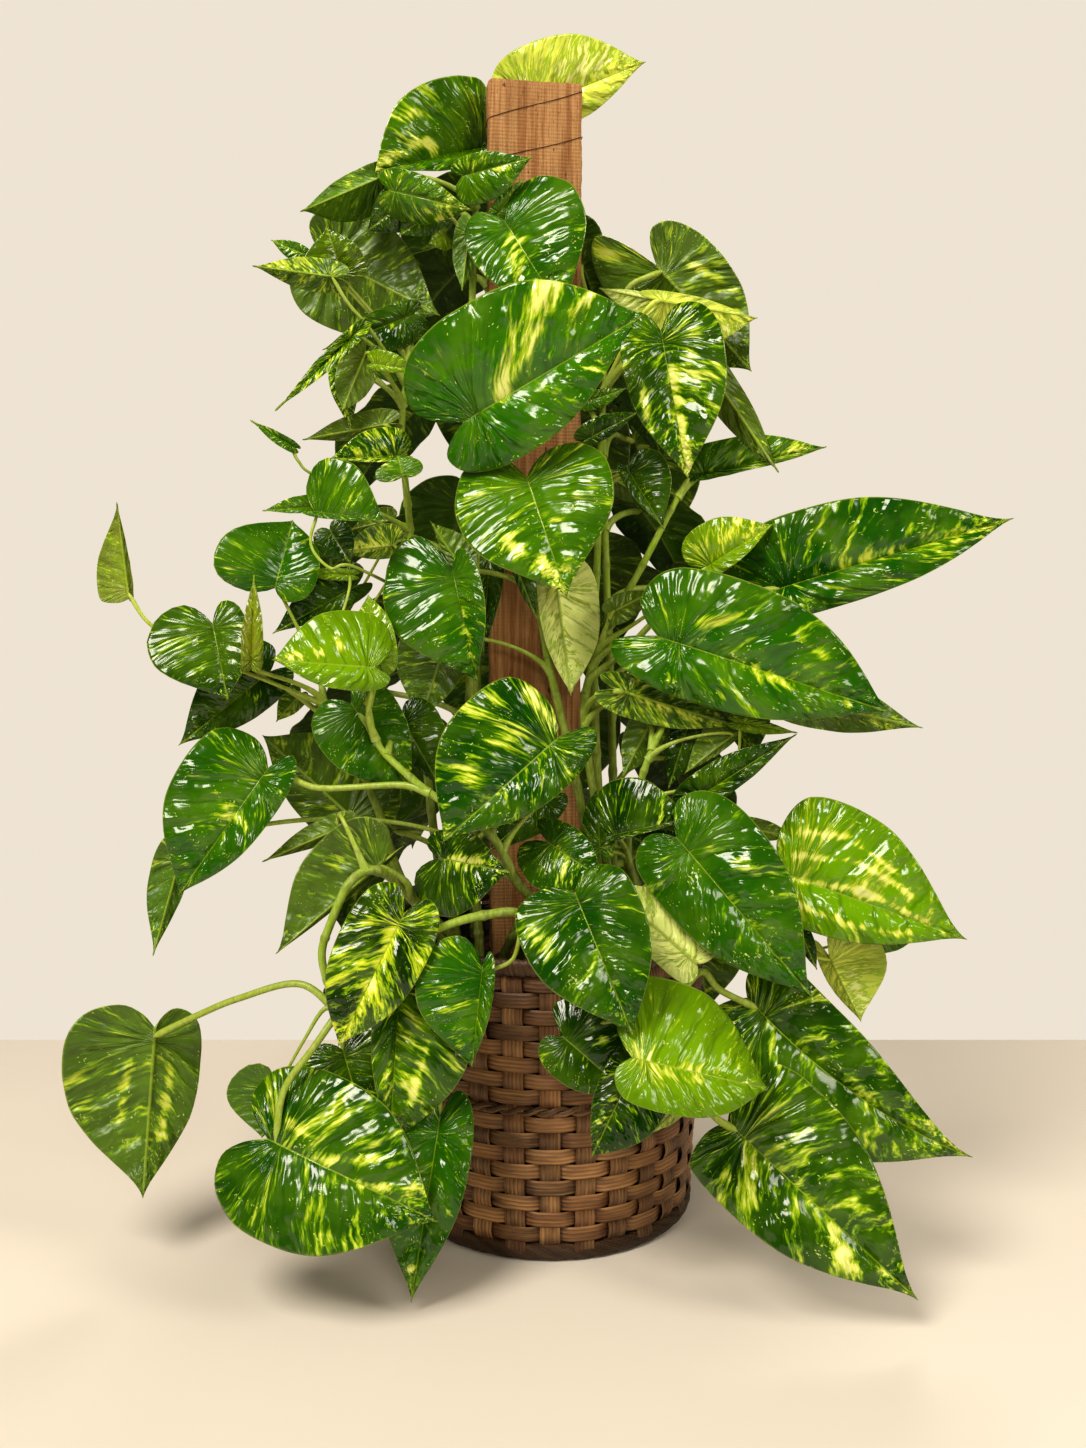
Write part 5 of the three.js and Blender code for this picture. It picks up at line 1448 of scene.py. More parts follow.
# ---------------------------------------------------------------- blades
@dataclass(frozen=True)
class BladeRule:
    """How a blade is made: its outline in shares of its size, the rest in millimetres."""

    outline: tuple[tuple[float, float], ...] = (  # how far across and down a half outline runs
        (0.0, 0.0), (0.16, -0.10), (0.38, -0.16), (0.66, -0.135), (0.86, -0.06), (0.985, 0.07),
        (1.0, 0.22), (0.955, 0.37), (0.85, 0.50), (0.64, 0.64), (0.385, 0.77), (0.155, 0.88),
        (0.038, 0.955), (0.0, 1.0),
    )
    lobe: float = 0.16  # how far that outline reaches behind the stalk
    beside_rib: tuple[float, float] = (0.022, 0.06)  # columns of the net next to the rib
    columns: tuple[float, float] = (0.12, 0.965)  # first and last column further out
    cell: float = 3.2  # length of one cell of the net
    fewest: int = 16  # fewest rows of cells
    most: int = 60  # most rows of cells
    common: float = 110.0  # length of a common leaf, to which its rib is fitted
    quilted: float = 130.0  # length of a leaf whose quilting has its full height
    middle: float = 0.9  # thickness beside the rib
    edge: float = 0.34  # thickness at the edge
    sit: float = 0.5  # how far the blade stands off the flat blade of the frame
    rib: float = 1.25  # how far the rib stands out below
    trough: float = 0.55  # how deep the upper face sinks along it
    wave: float = 0.023  # how far the edge waves, as a share of the length
    waves: tuple[tuple[float, float, float, float], ...] = (
        # height beside the first, count along the leaf, share of the leaf's number, slip of a half
        (1.0, 1.7, 1.0, 1.3), (0.45, 4.3, 0.37, 2.1),
    )
    bulge: float = 0.02  # how far the middle of a half bulges up, as a share of the length
    droop: float = 0.018  # how far the tip droops, as a share of the length

    def make(self, draft: MeshDraft, name: str, frame: BladeFrame, tone: Tone,
             strokes: Sequence[Stroke]) -> None:
        """Adds one closed blade to a draft.

        Args:
            draft: What it is added to.
            name: The leaf's name, from which its small irregularities come.
            frame: Where it stands.
            tone: Its colouring.
            strokes: Its pale streaks.
        """
        seed = seed_of(name)
        rows = int(np.clip(frame.length / self.cell, self.fewest, self.most))
        further = np.linspace(*self.columns, max(5, rows // 3))
        half = np.concatenate((self.beside_rib, further, (1.0,)))
        r = np.concatenate((-half[::-1], (0.0,), half))[None, :]
        t = np.linspace(0, 1, rows + 1)[:, None]
        outline = spline(self.outline, rows + 1)
        wide, raw = np.maximum(outline[:, :1], 0), outline[:, 1:]
        rib = np.maximum.accumulate(np.maximum(0.09 * smooth(0, 0.45, t), raw - 0.2 * wide))
        rib[-1] = 1.0
        edges = [np.where(raw < 0, raw * side.lobe / self.lobe, raw + side.belly * raw * (1 - raw))
                 for side in frame.halves]
        side = np.where(r >= 0, 1.0, -1.0) * np.ones_like(t)
        far = np.abs(r)
        across = far * wide
        down = rib + (np.where(side > 0, *edges) - rib) * far**1.25
        x = across * np.where(side > 0, frame.halves[0].width, frame.halves[1].width)
        size = float(np.clip(frame.length / self.common, 0.3, 1.3))
        net = frame.at(side, across, down)
        lift = self.lift(frame.length, size, seed, (side, far, across, down, wide, x))
        net += frame.upper * lift[..., None]
        net[0], net[-1] = net[0].mean(axis=0), net[-1].mean(axis=0)
        facing = 1.0 if float(np.dot(np.cross(frame.along, frame.left), frame.upper)) > 0 else -1.0
        normal = unit(np.cross(np.gradient(net, axis=0), np.gradient(net, axis=1)))
        normal[0], normal[-1] = unit(normal[1].mean(axis=0)), unit(normal[-2].mean(axis=0))
        normal *= facing
        thick = self.edge + (self.middle - self.edge) * (1 - far**3) * np.ones_like(t)
        keel = self.rib * size * bell(x, 1.5 * size) * (1 - 0.8 * np.clip(down, 0, 1))
        keel[-1] = 0
        high = net + normal * (self.sit + thick / 2)[..., None]
        low = net + normal * (self.sit - thick / 2 - keel)[..., None]
        pick, faces = self.faces(rows, r.size)
        if facing < 0:
            faces = faces[:, ::-1]
        ones = np.ones(len(pick))

        def seen(grid: np.ndarray) -> np.ndarray:
            """Spreads a row, a column or a whole net of values over the net's points."""
            return (grid * np.ones_like(side)).ravel()[pick]

        mark = self.paint(net.reshape(-1, 3)[pick], strokes)
        bulk = float(np.clip(frame.length / self.quilted, 0.3, 1.15))
        looks = {
            "tint": np.outer(ones, tone.green),
            "flat": np.stack((seen(x * side) * MM, seen(down) * frame.length * MM, ones * seed),
                             -1),
            "vein": np.stack((seen(t), seen(far), ones * tone.gold), -1),
            "bulk": np.outer(ones, (bulk, 0, 0)),
        }
        both = {label: np.vstack((rows, rows)) for label, rows in looks.items()}
        both["pattern"] = np.vstack([np.stack((mark, ones * tone.marble, ones * under), -1)
                                     for under in (0, 1)])
        draft.add(np.vstack([sheet.reshape(-1, 3)[pick] for sheet in (high, low)]), faces, **both)

    def lift(self, length: float, size: float, seed: float,
             net: Sequence[np.ndarray]) -> np.ndarray:
        """Finds how far the net stands above the plain blade.

        Args:
            length: The leaf's length.
            size: Its length beside a common leaf's.
            seed: The leaf's own number.
            net: Side, distance from the rib, place across and down, width there and place in
                millimetres, for each point of the net.

        Returns:
            The height of each point: waves, bulging halves, a drooping tip and a sunken rib.
        """
        side, far, across, down, wide, x = net
        ripple = sum(high * np.sin(TURN * (count * down + own * seed) + slip * side)
                     for high, count, own, slip in self.waves)
        lift = length * self.wave * across**2 * ripple
        lift += length * self.bulge * np.sin(math.pi * far**0.8) * wide
        lift -= length * self.droop * smooth(0.72, 1.05, down)
        lift -= self.trough * size * bell(x, 2.4 * size) * smooth(1.0, 0.7, down)
        return lift

    def faces(self, rows: int, columns: int) -> tuple[np.ndarray, np.ndarray]:
        """Joins the upper and the lower sheet of a blade, whose ends are one point each.

        Args:
            rows: Rows of cells.
            columns: Points in a row.

        Returns:
            Which points of a whole net are used, and the faces between them.
        """
        inner = 1 + np.arange((rows - 1) * columns).reshape(rows - 1, columns)
        last = inner.size + 1
        index = np.vstack((np.zeros((1, columns), int), inner, np.full((1, columns), last)))
        pick = np.concatenate(((0,), np.arange(columns, rows * columns), (rows * columns,)))
        top = np.stack((index[:-1, :-1], index[1:, :-1], index[1:, 1:], index[:-1, 1:]), -1)
        top = top.reshape(-1, 4)
        a, b = index[:-1, 0], index[1:, 0]
        right = np.stack((b, a, a + last + 1, b + last + 1), -1)
        a, b = index[:-1, -1], index[1:, -1]
        left = np.stack((a, b, b + last + 1, a + last + 1), -1)
        return pick, np.vstack((top, top[:, ::-1] + last + 1, right, left))

    def paint(self, places: np.ndarray, strokes: Sequence[Stroke]) -> np.ndarray:
        """Finds how far each place of a blade lies within its pale streaks.

        Args:
            places: Places of the blade.
            strokes: The streaks.

        Returns:
            The streak's force on it and 0 off it, for each place.
        """
        mark = np.zeros(len(places))
        seen = VIEW.project(places)
        for stroke in strokes:
            spots = np.asarray(stroke.spots, float)
            for start, end in zip(spots[:-1], spots[1:]):
                run = end - start
                share = np.clip(((seen - start) @ run) / max(float(run @ run), 1e-6), 0, 1)
                away = np.linalg.norm(seen - start - share[:, None] * run, axis=1)
                mark = np.maximum(mark, stroke.force * smooth(stroke.width * 1.6, 0.0, away))
        return mark


# ---------------------------------------------------------------- the plant
class Threads(MeshDraft):
    """Lines with a girth and a tint, which a rule turns into stems, stalks and wires."""

    def lay(self, points: np.ndarray, girth: np.ndarray, tint: np.ndarray) -> None:
        """Adds a line with the girth in millimetres and the colour at each of its points."""
        first = np.arange(len(points) - 1)
        self.add(points, np.stack((first, first + 1), -1), girth=girth * MM, tint=tint)

    def sweep(self, name: str, material: Material) -> Piece:
        """Sweeps every line as a round stem.

        Args:
            name: The piece's name.
            material: Its finish.

        Returns:
            The finished object.
        """
        rule = Rule("stalks")
        sides, = rule.sizes({"Sides": 10})
        curve = rule.get("GeometryNodeMeshToCurve", rule.given)
        tubes = rule.sweep(curve, rule.circle(sides), rule.kept("girth"))
        return rule.apply(tubes, name, material, self.mesh(name + "_lines"))


@dataclass(frozen=True)
class StemLook:
    """The girth of stems and stalks in millimetres, and their colours."""

    thick: float = 4.3  # radius of a stem at the soil
    thin: float = 2.4  # radius of a stem at its tip
    taper: tuple[float, ...] = (0.85, 0.6, 0.25)  # how its last points narrow
    step: float = 3.0  # distance between the points of a stem
    joint: float = 46.0  # distance between the rings of a stem
    ring: float = 0.22  # how far such a ring swells, as a share of the radius
    ring_reach: float = 2.6  # half the length of that swelling
    ring_dark: float = 0.35  # how much darker its line is
    ring_line: float = 1.6  # half the length of that line
    sheath: float = 4.2  # radius of a stalk where it clasps the stem
    clasp: float = 16.0  # how far along the stalk that thickening fades
    bleach: float = 30.0  # how far along it the sheath's colour fades
    stalk: float = 2.35  # radius of a stalk half-way
    knee: float = 2.7  # radius of a stalk at the joint below the blade
    knee_at: float = 9.0  # how far that joint lies below the blade
    knee_reach: float = 6.0  # half its length
    old: str = "6b7822"
    young: str = "90ae28"
    pale: str = "b6ca3c"
    sheath_tint: str = "9cb838"

    def fade(self, start: np.ndarray | str, end: np.ndarray | str, share: np.ndarray) -> np.ndarray:
        """Fades one colour into another along a stem; a colour is a code or in linear light."""
        start, end = (np.asarray(srgb(c)) if isinstance(c, str) else c for c in (start, end))
        return start * (1 - share[:, None]) + end * share[:, None]


class Pothos:
    """The whole plant: every leafy stem, grown leaf for leaf where the frame holds it."""

    FINE = 64  # places that a stalk may start from, between two points of a stem

    def __init__(self, nodes: dict[str, Any]) -> None:
        """Plans the plant.

        Args:
            nodes: The frame's objects by name.
        """
        self.rule = StemRule()
        self.blade = BladeRule()
        self.look = StemLook()
        self.held = FrameLeaves(nodes, [vine.name for vine in VINES])
        self.paths = {vine.name: self.rule.stem(vine) for vine in VINES}
        self.blades = {vine.name: MeshDraft() for vine in VINES}
        self.threads = {vine.name: Threads() for vine in VINES}

    def build(self, leaf_finish: Material, stem_finish: Material) -> None:
        """Grows every stem and leaf and dresses them in place of the frame's stems.

        Args:
            leaf_finish: The finish of the blades.
            stem_finish: The finish of the stems and stalks.
        """
        for vine in VINES:
            self.grow_stem(vine.name)
        leaves = [(front_frame, leaf, leaf.name) for vine in VINES for leaf in vine.leaves]
        leaves += [(rear_frame, leaf, f"rear_{number}") for number, leaf in enumerate(REAR)]
        missing = [name for stand, leaf, name in leaves if not self.grow_leaf(stand, leaf, name)]
        LOG.info("leaves that the frame doesn't hold: %d %s", len(missing), " ".join(missing))
        for name, blades in self.blades.items():
            dress(blades.finish(name + "_leaves", leaf_finish), "leaf", name)
            dress(self.threads[name].sweep(name + "_stems", stem_finish), "leaf", name)

    def grow_stem(self, name: str) -> None:
        """Adds a stem with its rings.

        Args:
            name: The stem's name.
        """
        look = self.look
        path = self.paths[name]
        run = float(steps_along(path).sum())
        share = np.linspace(0, 1, int(run / look.step))
        phase = (share * run + seed_of(name)) % look.joint
        near = np.minimum(phase, look.joint - phase)
        girth = look.thick + (look.thin - look.thick) * share**1.5
        girth = girth * (1 + look.ring * bell(near, look.ring_reach))
        girth[-len(look.taper):] *= np.array(look.taper)
        tint = look.fade(look.old, look.young, smooth(0.1, 0.8, share))
        tint = tint * (1 - look.ring_dark * bell(near, look.ring_line))[:, None]
        self.threads[name].lay(spline(path, len(share)), girth, tint)

    def on_stem(self, name: str, spot: float) -> np.ndarray:
        """Finds a place on the fine course of a stem.

        Args:
            name: The stem's name.
            spot: The number of the point before, with the share of the way to the next.

        Returns:
            The place in millimetres.
        """
        path = self.paths[name]
        return spline(path, (len(path) - 1) * self.FINE + 1)[int(round(spot * self.FINE))]

    def grow_leaf(self, stand: Any, leaf: Leaf | RearLeaf, name: str) -> bool:
        """Adds a leaf with its stalk where the frame holds it.

        Args:
            stand: The rule that stands the leaf at a shift.
            leaf: The leaf.
            name: Its name.

        Returns:
            Whether the frame holds it.
        """
        found = self.held.settle(stand, leaf)
        if found is None:
            return False
        vine, shift, frame = found
        via = [VIEW.place(stop, shift) for stop in leaf.via]
        stalk = self.held.bend(self.rule, frame, self.paths[vine], via)
        self.blade.make(self.blades[vine], name, frame, leaf.tone, STROKES.get(name, ()))
        self.grow_stalk(vine, stalk, frame, leaf.tone)
        return True

    def grow_stalk(self, vine: str, stalk: Stalk, frame: BladeFrame, tone: Tone) -> None:
        """Adds the stalk of a leaf.

        Args:
            vine: The stem it grows on.
            stalk: Its course.
            frame: Where the blade stands.
            tone: The blade's colouring.
        """
        look = self.look
        size = float(np.clip(frame.length / self.blade.common, 0.5, 1.15))
        points = stalk.course(self.on_stem(vine, stalk.spot))
        run = np.concatenate(((0,), np.cumsum(steps_along(points))))
        left = run[-1] - run
        girth = look.stalk * size + (look.sheath - look.stalk * size) * np.exp(-run / look.clasp)
        girth = girth + (look.knee - look.stalk) * size * bell(left - look.knee_at, look.knee_reach)
        girth = girth * (0.45 + 0.55 * smooth(0, 5, left))
        points = points - frame.upper * (girth * 0.9 * smooth(14, 2, left))[:, None]
        pale = np.asarray(srgb(look.pale)) * 0.6 + tone.green * 0.4
        tint = look.fade(pale, look.sheath_tint, np.exp(-run / look.bleach))
        self.threads[vine].lay(points, girth, tint * (0.9 + 0.1 * run / run[-1])[:, None])


# ---------------------------------------------------------------- finishes
@dataclass(frozen=True)
class LeafFinish:
    """The waxy leaf: its quilting, its lime and cream marbling, pale flecks that partly serve as
    painted glints, and its paler underside.
    """

    veins: float = 13.0  # side veins of a half
    flow: float = 23.0  # blots of the marbling along a half
    thread: float = 75.0  # threads of it along a half
    streaks: float = 44.0  # ripples that catch the light along a half
    dots: float = 120.0  # flecks along a half
    cream: str = "eaeea2"
    yellow: str = "cfd834"
    lime: str = "9cb41a"
    fresh: str = "6f9a0a"
    deep: str = "1c3c02"
    # pale flecks of the marbling, also laid as painted glints on the gloss
    fleck: str = "c6d678"
    spine: str = "93ab36"
    margin: str = "a9b84a"
    underside: str = "7e9432"
    relief: float = 0.0021

    def make(self) -> Material:
        """Builds the material from the values that every blade carries.

        Returns:
            The material.
        """
        f = Finish("waxy_leaf", Specular_IOR_Level=0.5)
        x, y, seed = f.split(f.attribute("flat"))
        t, r, gold = f.split(f.attribute("vein"))
        mark, marble, under = f.split(f.attribute("pattern"))
        half = f.math("LESS_THAN", x, 0.0) * 3.7 + seed
        flat = f.join(x, y, seed * 0.1)
        row = f.noise(f.join(t * 7, r * 2, half), 1.0, 2.0) * 0.04 + t
        blots = f.noise(f.join(row * self.flow, r, half), 1.0, 3.0, 0.52, 0.25)
        threads = f.noise(f.join(row * self.thread, r * 3.0, half), 1.0, 3.0, 0.6)
        value = blots + (threads * 1.1 - 0.72) + mark * 0.31 + marble * 0.30
        spread = f.noise(flat, 26.0, 3.0)
        comb = f.math("PINGPONG", row * self.veins, 0.5)
        parted = f.ramp(t, 0.10, 0.42, 0.25, 1.0)
        furrow = f.ramp(comb, 0.0, 0.12, 0.38, 0.0) * f.ramp(r, 0.5, 1.0, 1.0, 0.2) * parted
        dots = f.noise(f.join(row * self.dots, r * 26, half), 1.0, 1.0)
        flecks_and_glints = f.noise(flat, 60.0, 2.0) * 0.4 + dots * 0.7
        colour = f.attribute("tint")
        for share, shade in (
                (f.ramp(spread, 0.35, 0.70, 0.0, 0.35), self.fresh),
                (f.ramp(r, 0.3, 1.0, 0.0, 0.3), self.deep),
                (furrow, self.deep),
                (f.ramp(value, 0.53, 0.66, 0.0, 0.7), self.fresh),
                (f.ramp(value, 0.62, 0.74), self.lime),
                (f.ramp(value, 0.70, 0.86), f.mix(gold, self.cream, self.yellow)),
                (f.ramp(value, 0.86, 1.02, 0.0, 0.8), self.cream),
                # pale flecks, partly painted glints
                (f.ramp(flecks_and_glints, 0.712, 0.75, 0.0, 0.75), self.fleck),
                (f.ramp(f.math("ABSOLUTE", x), 0.0004, 0.0014, 0.72, 0.0), self.spine),
                (f.ramp(r, 0.980, 0.998, 0.0, 0.4), self.margin),
                (under * 0.16, self.underside)):
            colour = f.mix(share, colour, shade)
        swell = f.ramp(comb, 0.0, 0.45) * f.ramp(r, 0.02, 0.35)
        swell = swell * f.ramp(r, 0.8, 1.0, 1.0, 0.3) * parted
        waves = f.noise(f.join(row * self.streaks, r * 2.4, half), 1.0, 1.0)
        patch = f.ramp(f.noise(flat, 34.0, 1.0), 0.38, 0.62, 0.5, 1.9)
        bumps = waves * patch + swell + f.noise(flat, 70.0, 1.0) * 0.9
        rough = under * 0.22 + f.ramp(spread, 0.3, 0.7, 0.13, 0.22)
        return f.done(colour, rough, bumps * f.split(f.attribute("bulk"))[0], self.relief, 0.9)


@dataclass(frozen=True)
class StalkFinish:
    """Smooth green stems and stalks, faintly streaked along their length."""

    light: str = "c4cf86"
    brown: str = "6e6a35"

    def make(self) -> Material:
        """Builds the material from the tint that every stem carries.

        Returns:
            The material.
        """
        f = Finish("green_stalk", Specular_IOR_Level=0.45)
        streak = f.noise(f.stretch(f.place(), (1.0, 1.0, 0.25)), 420.0, 3.0)
        spots = f.noise(f.place(), 150.0, 3.0)
        light = f.mix(f.ramp(streak, 0.35, 0.7, 0.0, 0.35), f.attribute("tint"), self.light)
        brown = f.mix(f.ramp(spots, 0.56, 0.72, 0.0, 0.4), light, self.brown)
        return f.done(brown, f.ramp(spots, 0.3, 0.7, 0.32, 0.5), streak, 0.0004, 0.5)


@dataclass(frozen=True)
class SplintFinish:
    """Brown split reed: lengthwise ridges and fibres, with painted shade in the gaps of the weave, a
    faint painted highlight where a splint swings outwards, and painted shade towards the top of the
    wall and near the floor.
    """

    name: str = "split_reed"
    dark: str = "38210f"
    mid: str = "7a4f2c"
    light: str = "c2935f"
    ridges: float = 1900.0
    rough: float = 0.42
    fibre: str = "d0ab78"
    crack: str = "2a170b"
    # painted shade, laid where a splint dips inwards behind a stake
    gap: str = "1f1209"

    def make(self) -> Material:
        """Builds the material from the run, lane, strand and rise that every splint carries.

        Returns:
            The material.
        """
        f = Finish(self.name, Specular_IOR_Level=0.5)
        run, lane, strand, rise = (f.attribute(label, "Fac")
                                   for label in ("run", "lane", "strand", "rise"))
        fine = f.noise(f.join(run * 25, lane * 1400, strand), 1.0, 4.0, 0.65)
        blotch = f.noise(f.join(run * 14, lane * 60, strand), 1.0, 3.0)
        tone = f.noise(f.join(strand, run * 3), 3.1, 1.0)
        comb = f.sin(lane * self.ridges)
        height = f.split(f.place())[2]
        colour = f.mix(f.ramp(tone, 0.3, 0.7), self.dark, self.mid)
        for share, shade in (
                (f.ramp(blotch, 0.35, 0.75, 0.0, 0.8), self.light),
                (f.ramp(comb, -1.0, 0.4, 0.45, 0.0), self.dark),
                (f.ramp(fine, 0.5, 0.8, 0.0, 0.5), self.fibre),
                (f.ramp(fine, 0.2, 0.45, 0.5, 0.0), self.crack),
                # painted highlight where a splint swings outwards between the stakes
                (f.ramp(rise, 0.3, 1.0, 0.0, 0.1), self.light),
                # painted shade where a splint dips inwards behind a stake
                (f.ramp(rise, -0.9, -0.02, 0.8, 0.0), self.gap),
                # painted shade: darker towards the top of the wall under the overhanging leaves, and
                # at the very bottom near the floor
                (f.ramp(height, 0.06, 0.25, 0.0, 0.45), self.dark),
                (f.ramp(height, 0.008, 0.024, 0.7, 0.0), self.dark)):
            colour = f.mix(share, colour, shade)
        rough = f.ramp(fine, 0.3, 0.7, self.rough - 0.1, self.rough + 0.12)
        return f.done(colour, rough, comb * 0.5 + fine, 0.0006, 0.8)


@dataclass(frozen=True)
class PotFinish:
    """Thin black nursery plastic with faint dust."""

    plastic: str = "1a1a19"
    dust: str = "4a443c"

    def make(self) -> Material:
        """Builds the material.

        Returns:
            The material.
        """
        f = Finish("nursery_plastic", Specular_IOR_Level=0.45)
        dust = f.noise(f.place(), 60.0, 4.0)
        colour = f.mix(f.ramp(dust, 0.45, 0.8, 0.0, 0.3), self.plastic, self.dust)
        grain = f.noise(f.place(), 1400.0, 2.0)
        return f.done(colour, f.ramp(dust, 0.3, 0.7, 0.42, 0.62), grain, 0.0003, 0.4)


@dataclass(frozen=True)
class SoilFinish:
    """Damp dark potting mix with lighter fibres."""

    name: str = "potting_mix"
    dark: str = "1d140d"
    light: str = "5b4330"
    fibre: str = "8a6c4a"

    def make(self) -> Material:
        """Builds the material.

        Returns:
            The material.
        """
        f = Finish(self.name, Specular_IOR_Level=0.25)
        lumps = f.noise(f.place(), 130.0, 6.0, 0.7)
        fine = f.noise(f.place(), 900.0, 3.0, 0.7)
        colour = f.mix(f.ramp(lumps, 0.38, 0.68), self.dark, self.light)
        colour = f.mix(f.ramp(fine, 0.62, 0.72, 0.0, 0.7), colour, self.fibre)
        return f.done(colour, f.ramp(fine, 0.3, 0.7, 0.75, 0.98), lumps + fine * 0.3, 0.003)


@dataclass(frozen=True)
class BoardFinish:
    """Rough-sawn reddish softwood: rings drawn out along the grain, saw marks and dark pits."""

    dark: str = "5c3a1e"
    mid: str = "98693d"
    light: str = "bb9060"
    stain: str = "64401f"
    fibre: str = "d9ab7e"
    pit: str = "3a2211"
    saw: float = 2100.0

    def make(self) -> Material:
        """Builds the material.

        Returns:
            The material.
        """
        f = Finish("sawn_board", Specular_IOR_Level=0.3)
        place = f.place()
        x, y, z = f.split(place)
        bend = f.noise(f.stretch(place, (5.0, 5.0, 1.2)), 1.0, 2.0)
        slide = bend * 0.02 + x
        rings = f.noise(f.join(slide, y, z * 0.035), 260.0, 3.0, 0.6)
        fibre = f.noise(f.join(slide, y, z * 0.012), 1500.0, 3.0, 0.7)
        stain = f.noise(f.stretch(place, (14.0, 14.0, 5.0)), 1.0, 3.0)
        pits = f.noise(f.stretch(place, (1.0, 1.0, 0.3)), 330.0, 1.0)
        saw = f.sin((bend * 0.01 + z) * self.saw)
        colour = f.mix(f.ramp(rings, 0.36, 0.64), self.mid, self.light)
        for share, shade in (
                (f.ramp(fibre, 0.54, 0.70, 0.0, 0.75), self.dark),
                (f.ramp(stain, 0.42, 0.75, 0.0, 0.5), self.stain),
                (f.ramp(fibre, 0.25, 0.42, 0.45, 0.0), self.fibre),
                (f.ramp(pits, 0.72, 0.78) * 0.8, self.pit)):
            colour = f.mix(share, colour, shade)
        rough = f.ramp(fibre, 0.3, 0.7, 0.62, 0.85)
        return f.done(colour, rough, fibre + saw * 0.10 + rings * 0.5, 0.0012, 0.9)


@dataclass(frozen=True)
class WireFinish:
    """Dull dark binding wire."""

    steel: str = "2b2622"
    rust: str = "5a4232"

    def make(self) -> Material:
        """Builds the material.

        Returns:
            The material.
        """
        f = Finish("dark_wire", Metallic=0.75, Specular_IOR_Level=0.5)
        rust = f.noise(f.place(), 700.0, 3.0)
        colour = f.mix(f.ramp(rust, 0.45, 0.7), self.steel, self.rust)
        return f.done(colour, f.ramp(rust, 0.3, 0.7, 0.4, 0.65), rust, 0.0002, 0.5)


@dataclass(frozen=True)
class FloorFinish:
    """The plain pale floor."""

    dark: str = "d9d0c2"
    light: str = "e2dace"

    def make(self) -> Material:
        """Builds the material."""
        f = Finish("pale_floor", Specular_IOR_Level=0.2)
        return f.done(f.mix(f.noise(f.place(), 1.5, 2.0), self.dark, self.light), 0.85)


# ---------------------------------------------------------------- the basket
@dataclass(frozen=True)
class Hoop:
    """A hoop wrapped slantwise with splint, in metres."""

    name: str
    node: str  # the node of the frame that it stands in for
    low: float  # height of its lower edge
    high: float
    inner: float  # its inner radius
    outer: float
    laps: int  # how often a groove crosses its outside
    strands: int  # how many strands lie side by side
    groove: float = 0.0012  # depth of a groove
    crest: float = 0.45  # how flat a strand is between its grooves; 1 is half a wave
    fine: int = 8  # points of the ring between two grooves

    def build(self, finish: Material) -> None:
        """Makes and dresses the hoop.

        Args:
            finish: Its material.
        """
        rule = Rule("wrapped_hoop")
        around, turns, radius, level, deep, tall, groove = rule.sizes({
            "Points round": self.laps * self.fine, "Laps": float(self.laps),
            "Ring radius": (self.inner + self.outer) / 2, "Height": (self.low + self.high) / 2,
            "Half depth": (self.outer - self.inner) / 2, "Half height": (self.high - self.low) / 2,
            "Groove": self.groove})
        here = rule.bearing()
        ring = rule.keep(rule.circle(around, radius), bearing=here)
        tube = rule.sweep(ring, rule.keep(rule.circle(24, 0.001), side=here))
        bearing, side = rule.kept("bearing"), rule.kept("side")
        lap = bearing * turns + side * float(self.strands)
        ridge = rule.math("POWER", rule.math("ABSOLUTE", rule.sin(lap * 0.5)), self.crest)
        shrink = (ridge - 1.0) * groove
        strand = rule.math("FLOOR", lap / TURN)
        stored = rule.keep(tube, run=side * 0.006, lane=lap * radius / turns, strand=strand)
        away = radius + (deep + shrink) * rule.cos(side)
        height = level + (tall + shrink) * rule.sin(side)
        seated = rule.seat_round(stored, bearing, away, height)
        dress(rule.apply(seated, self.name, finish), "trim", self.node)


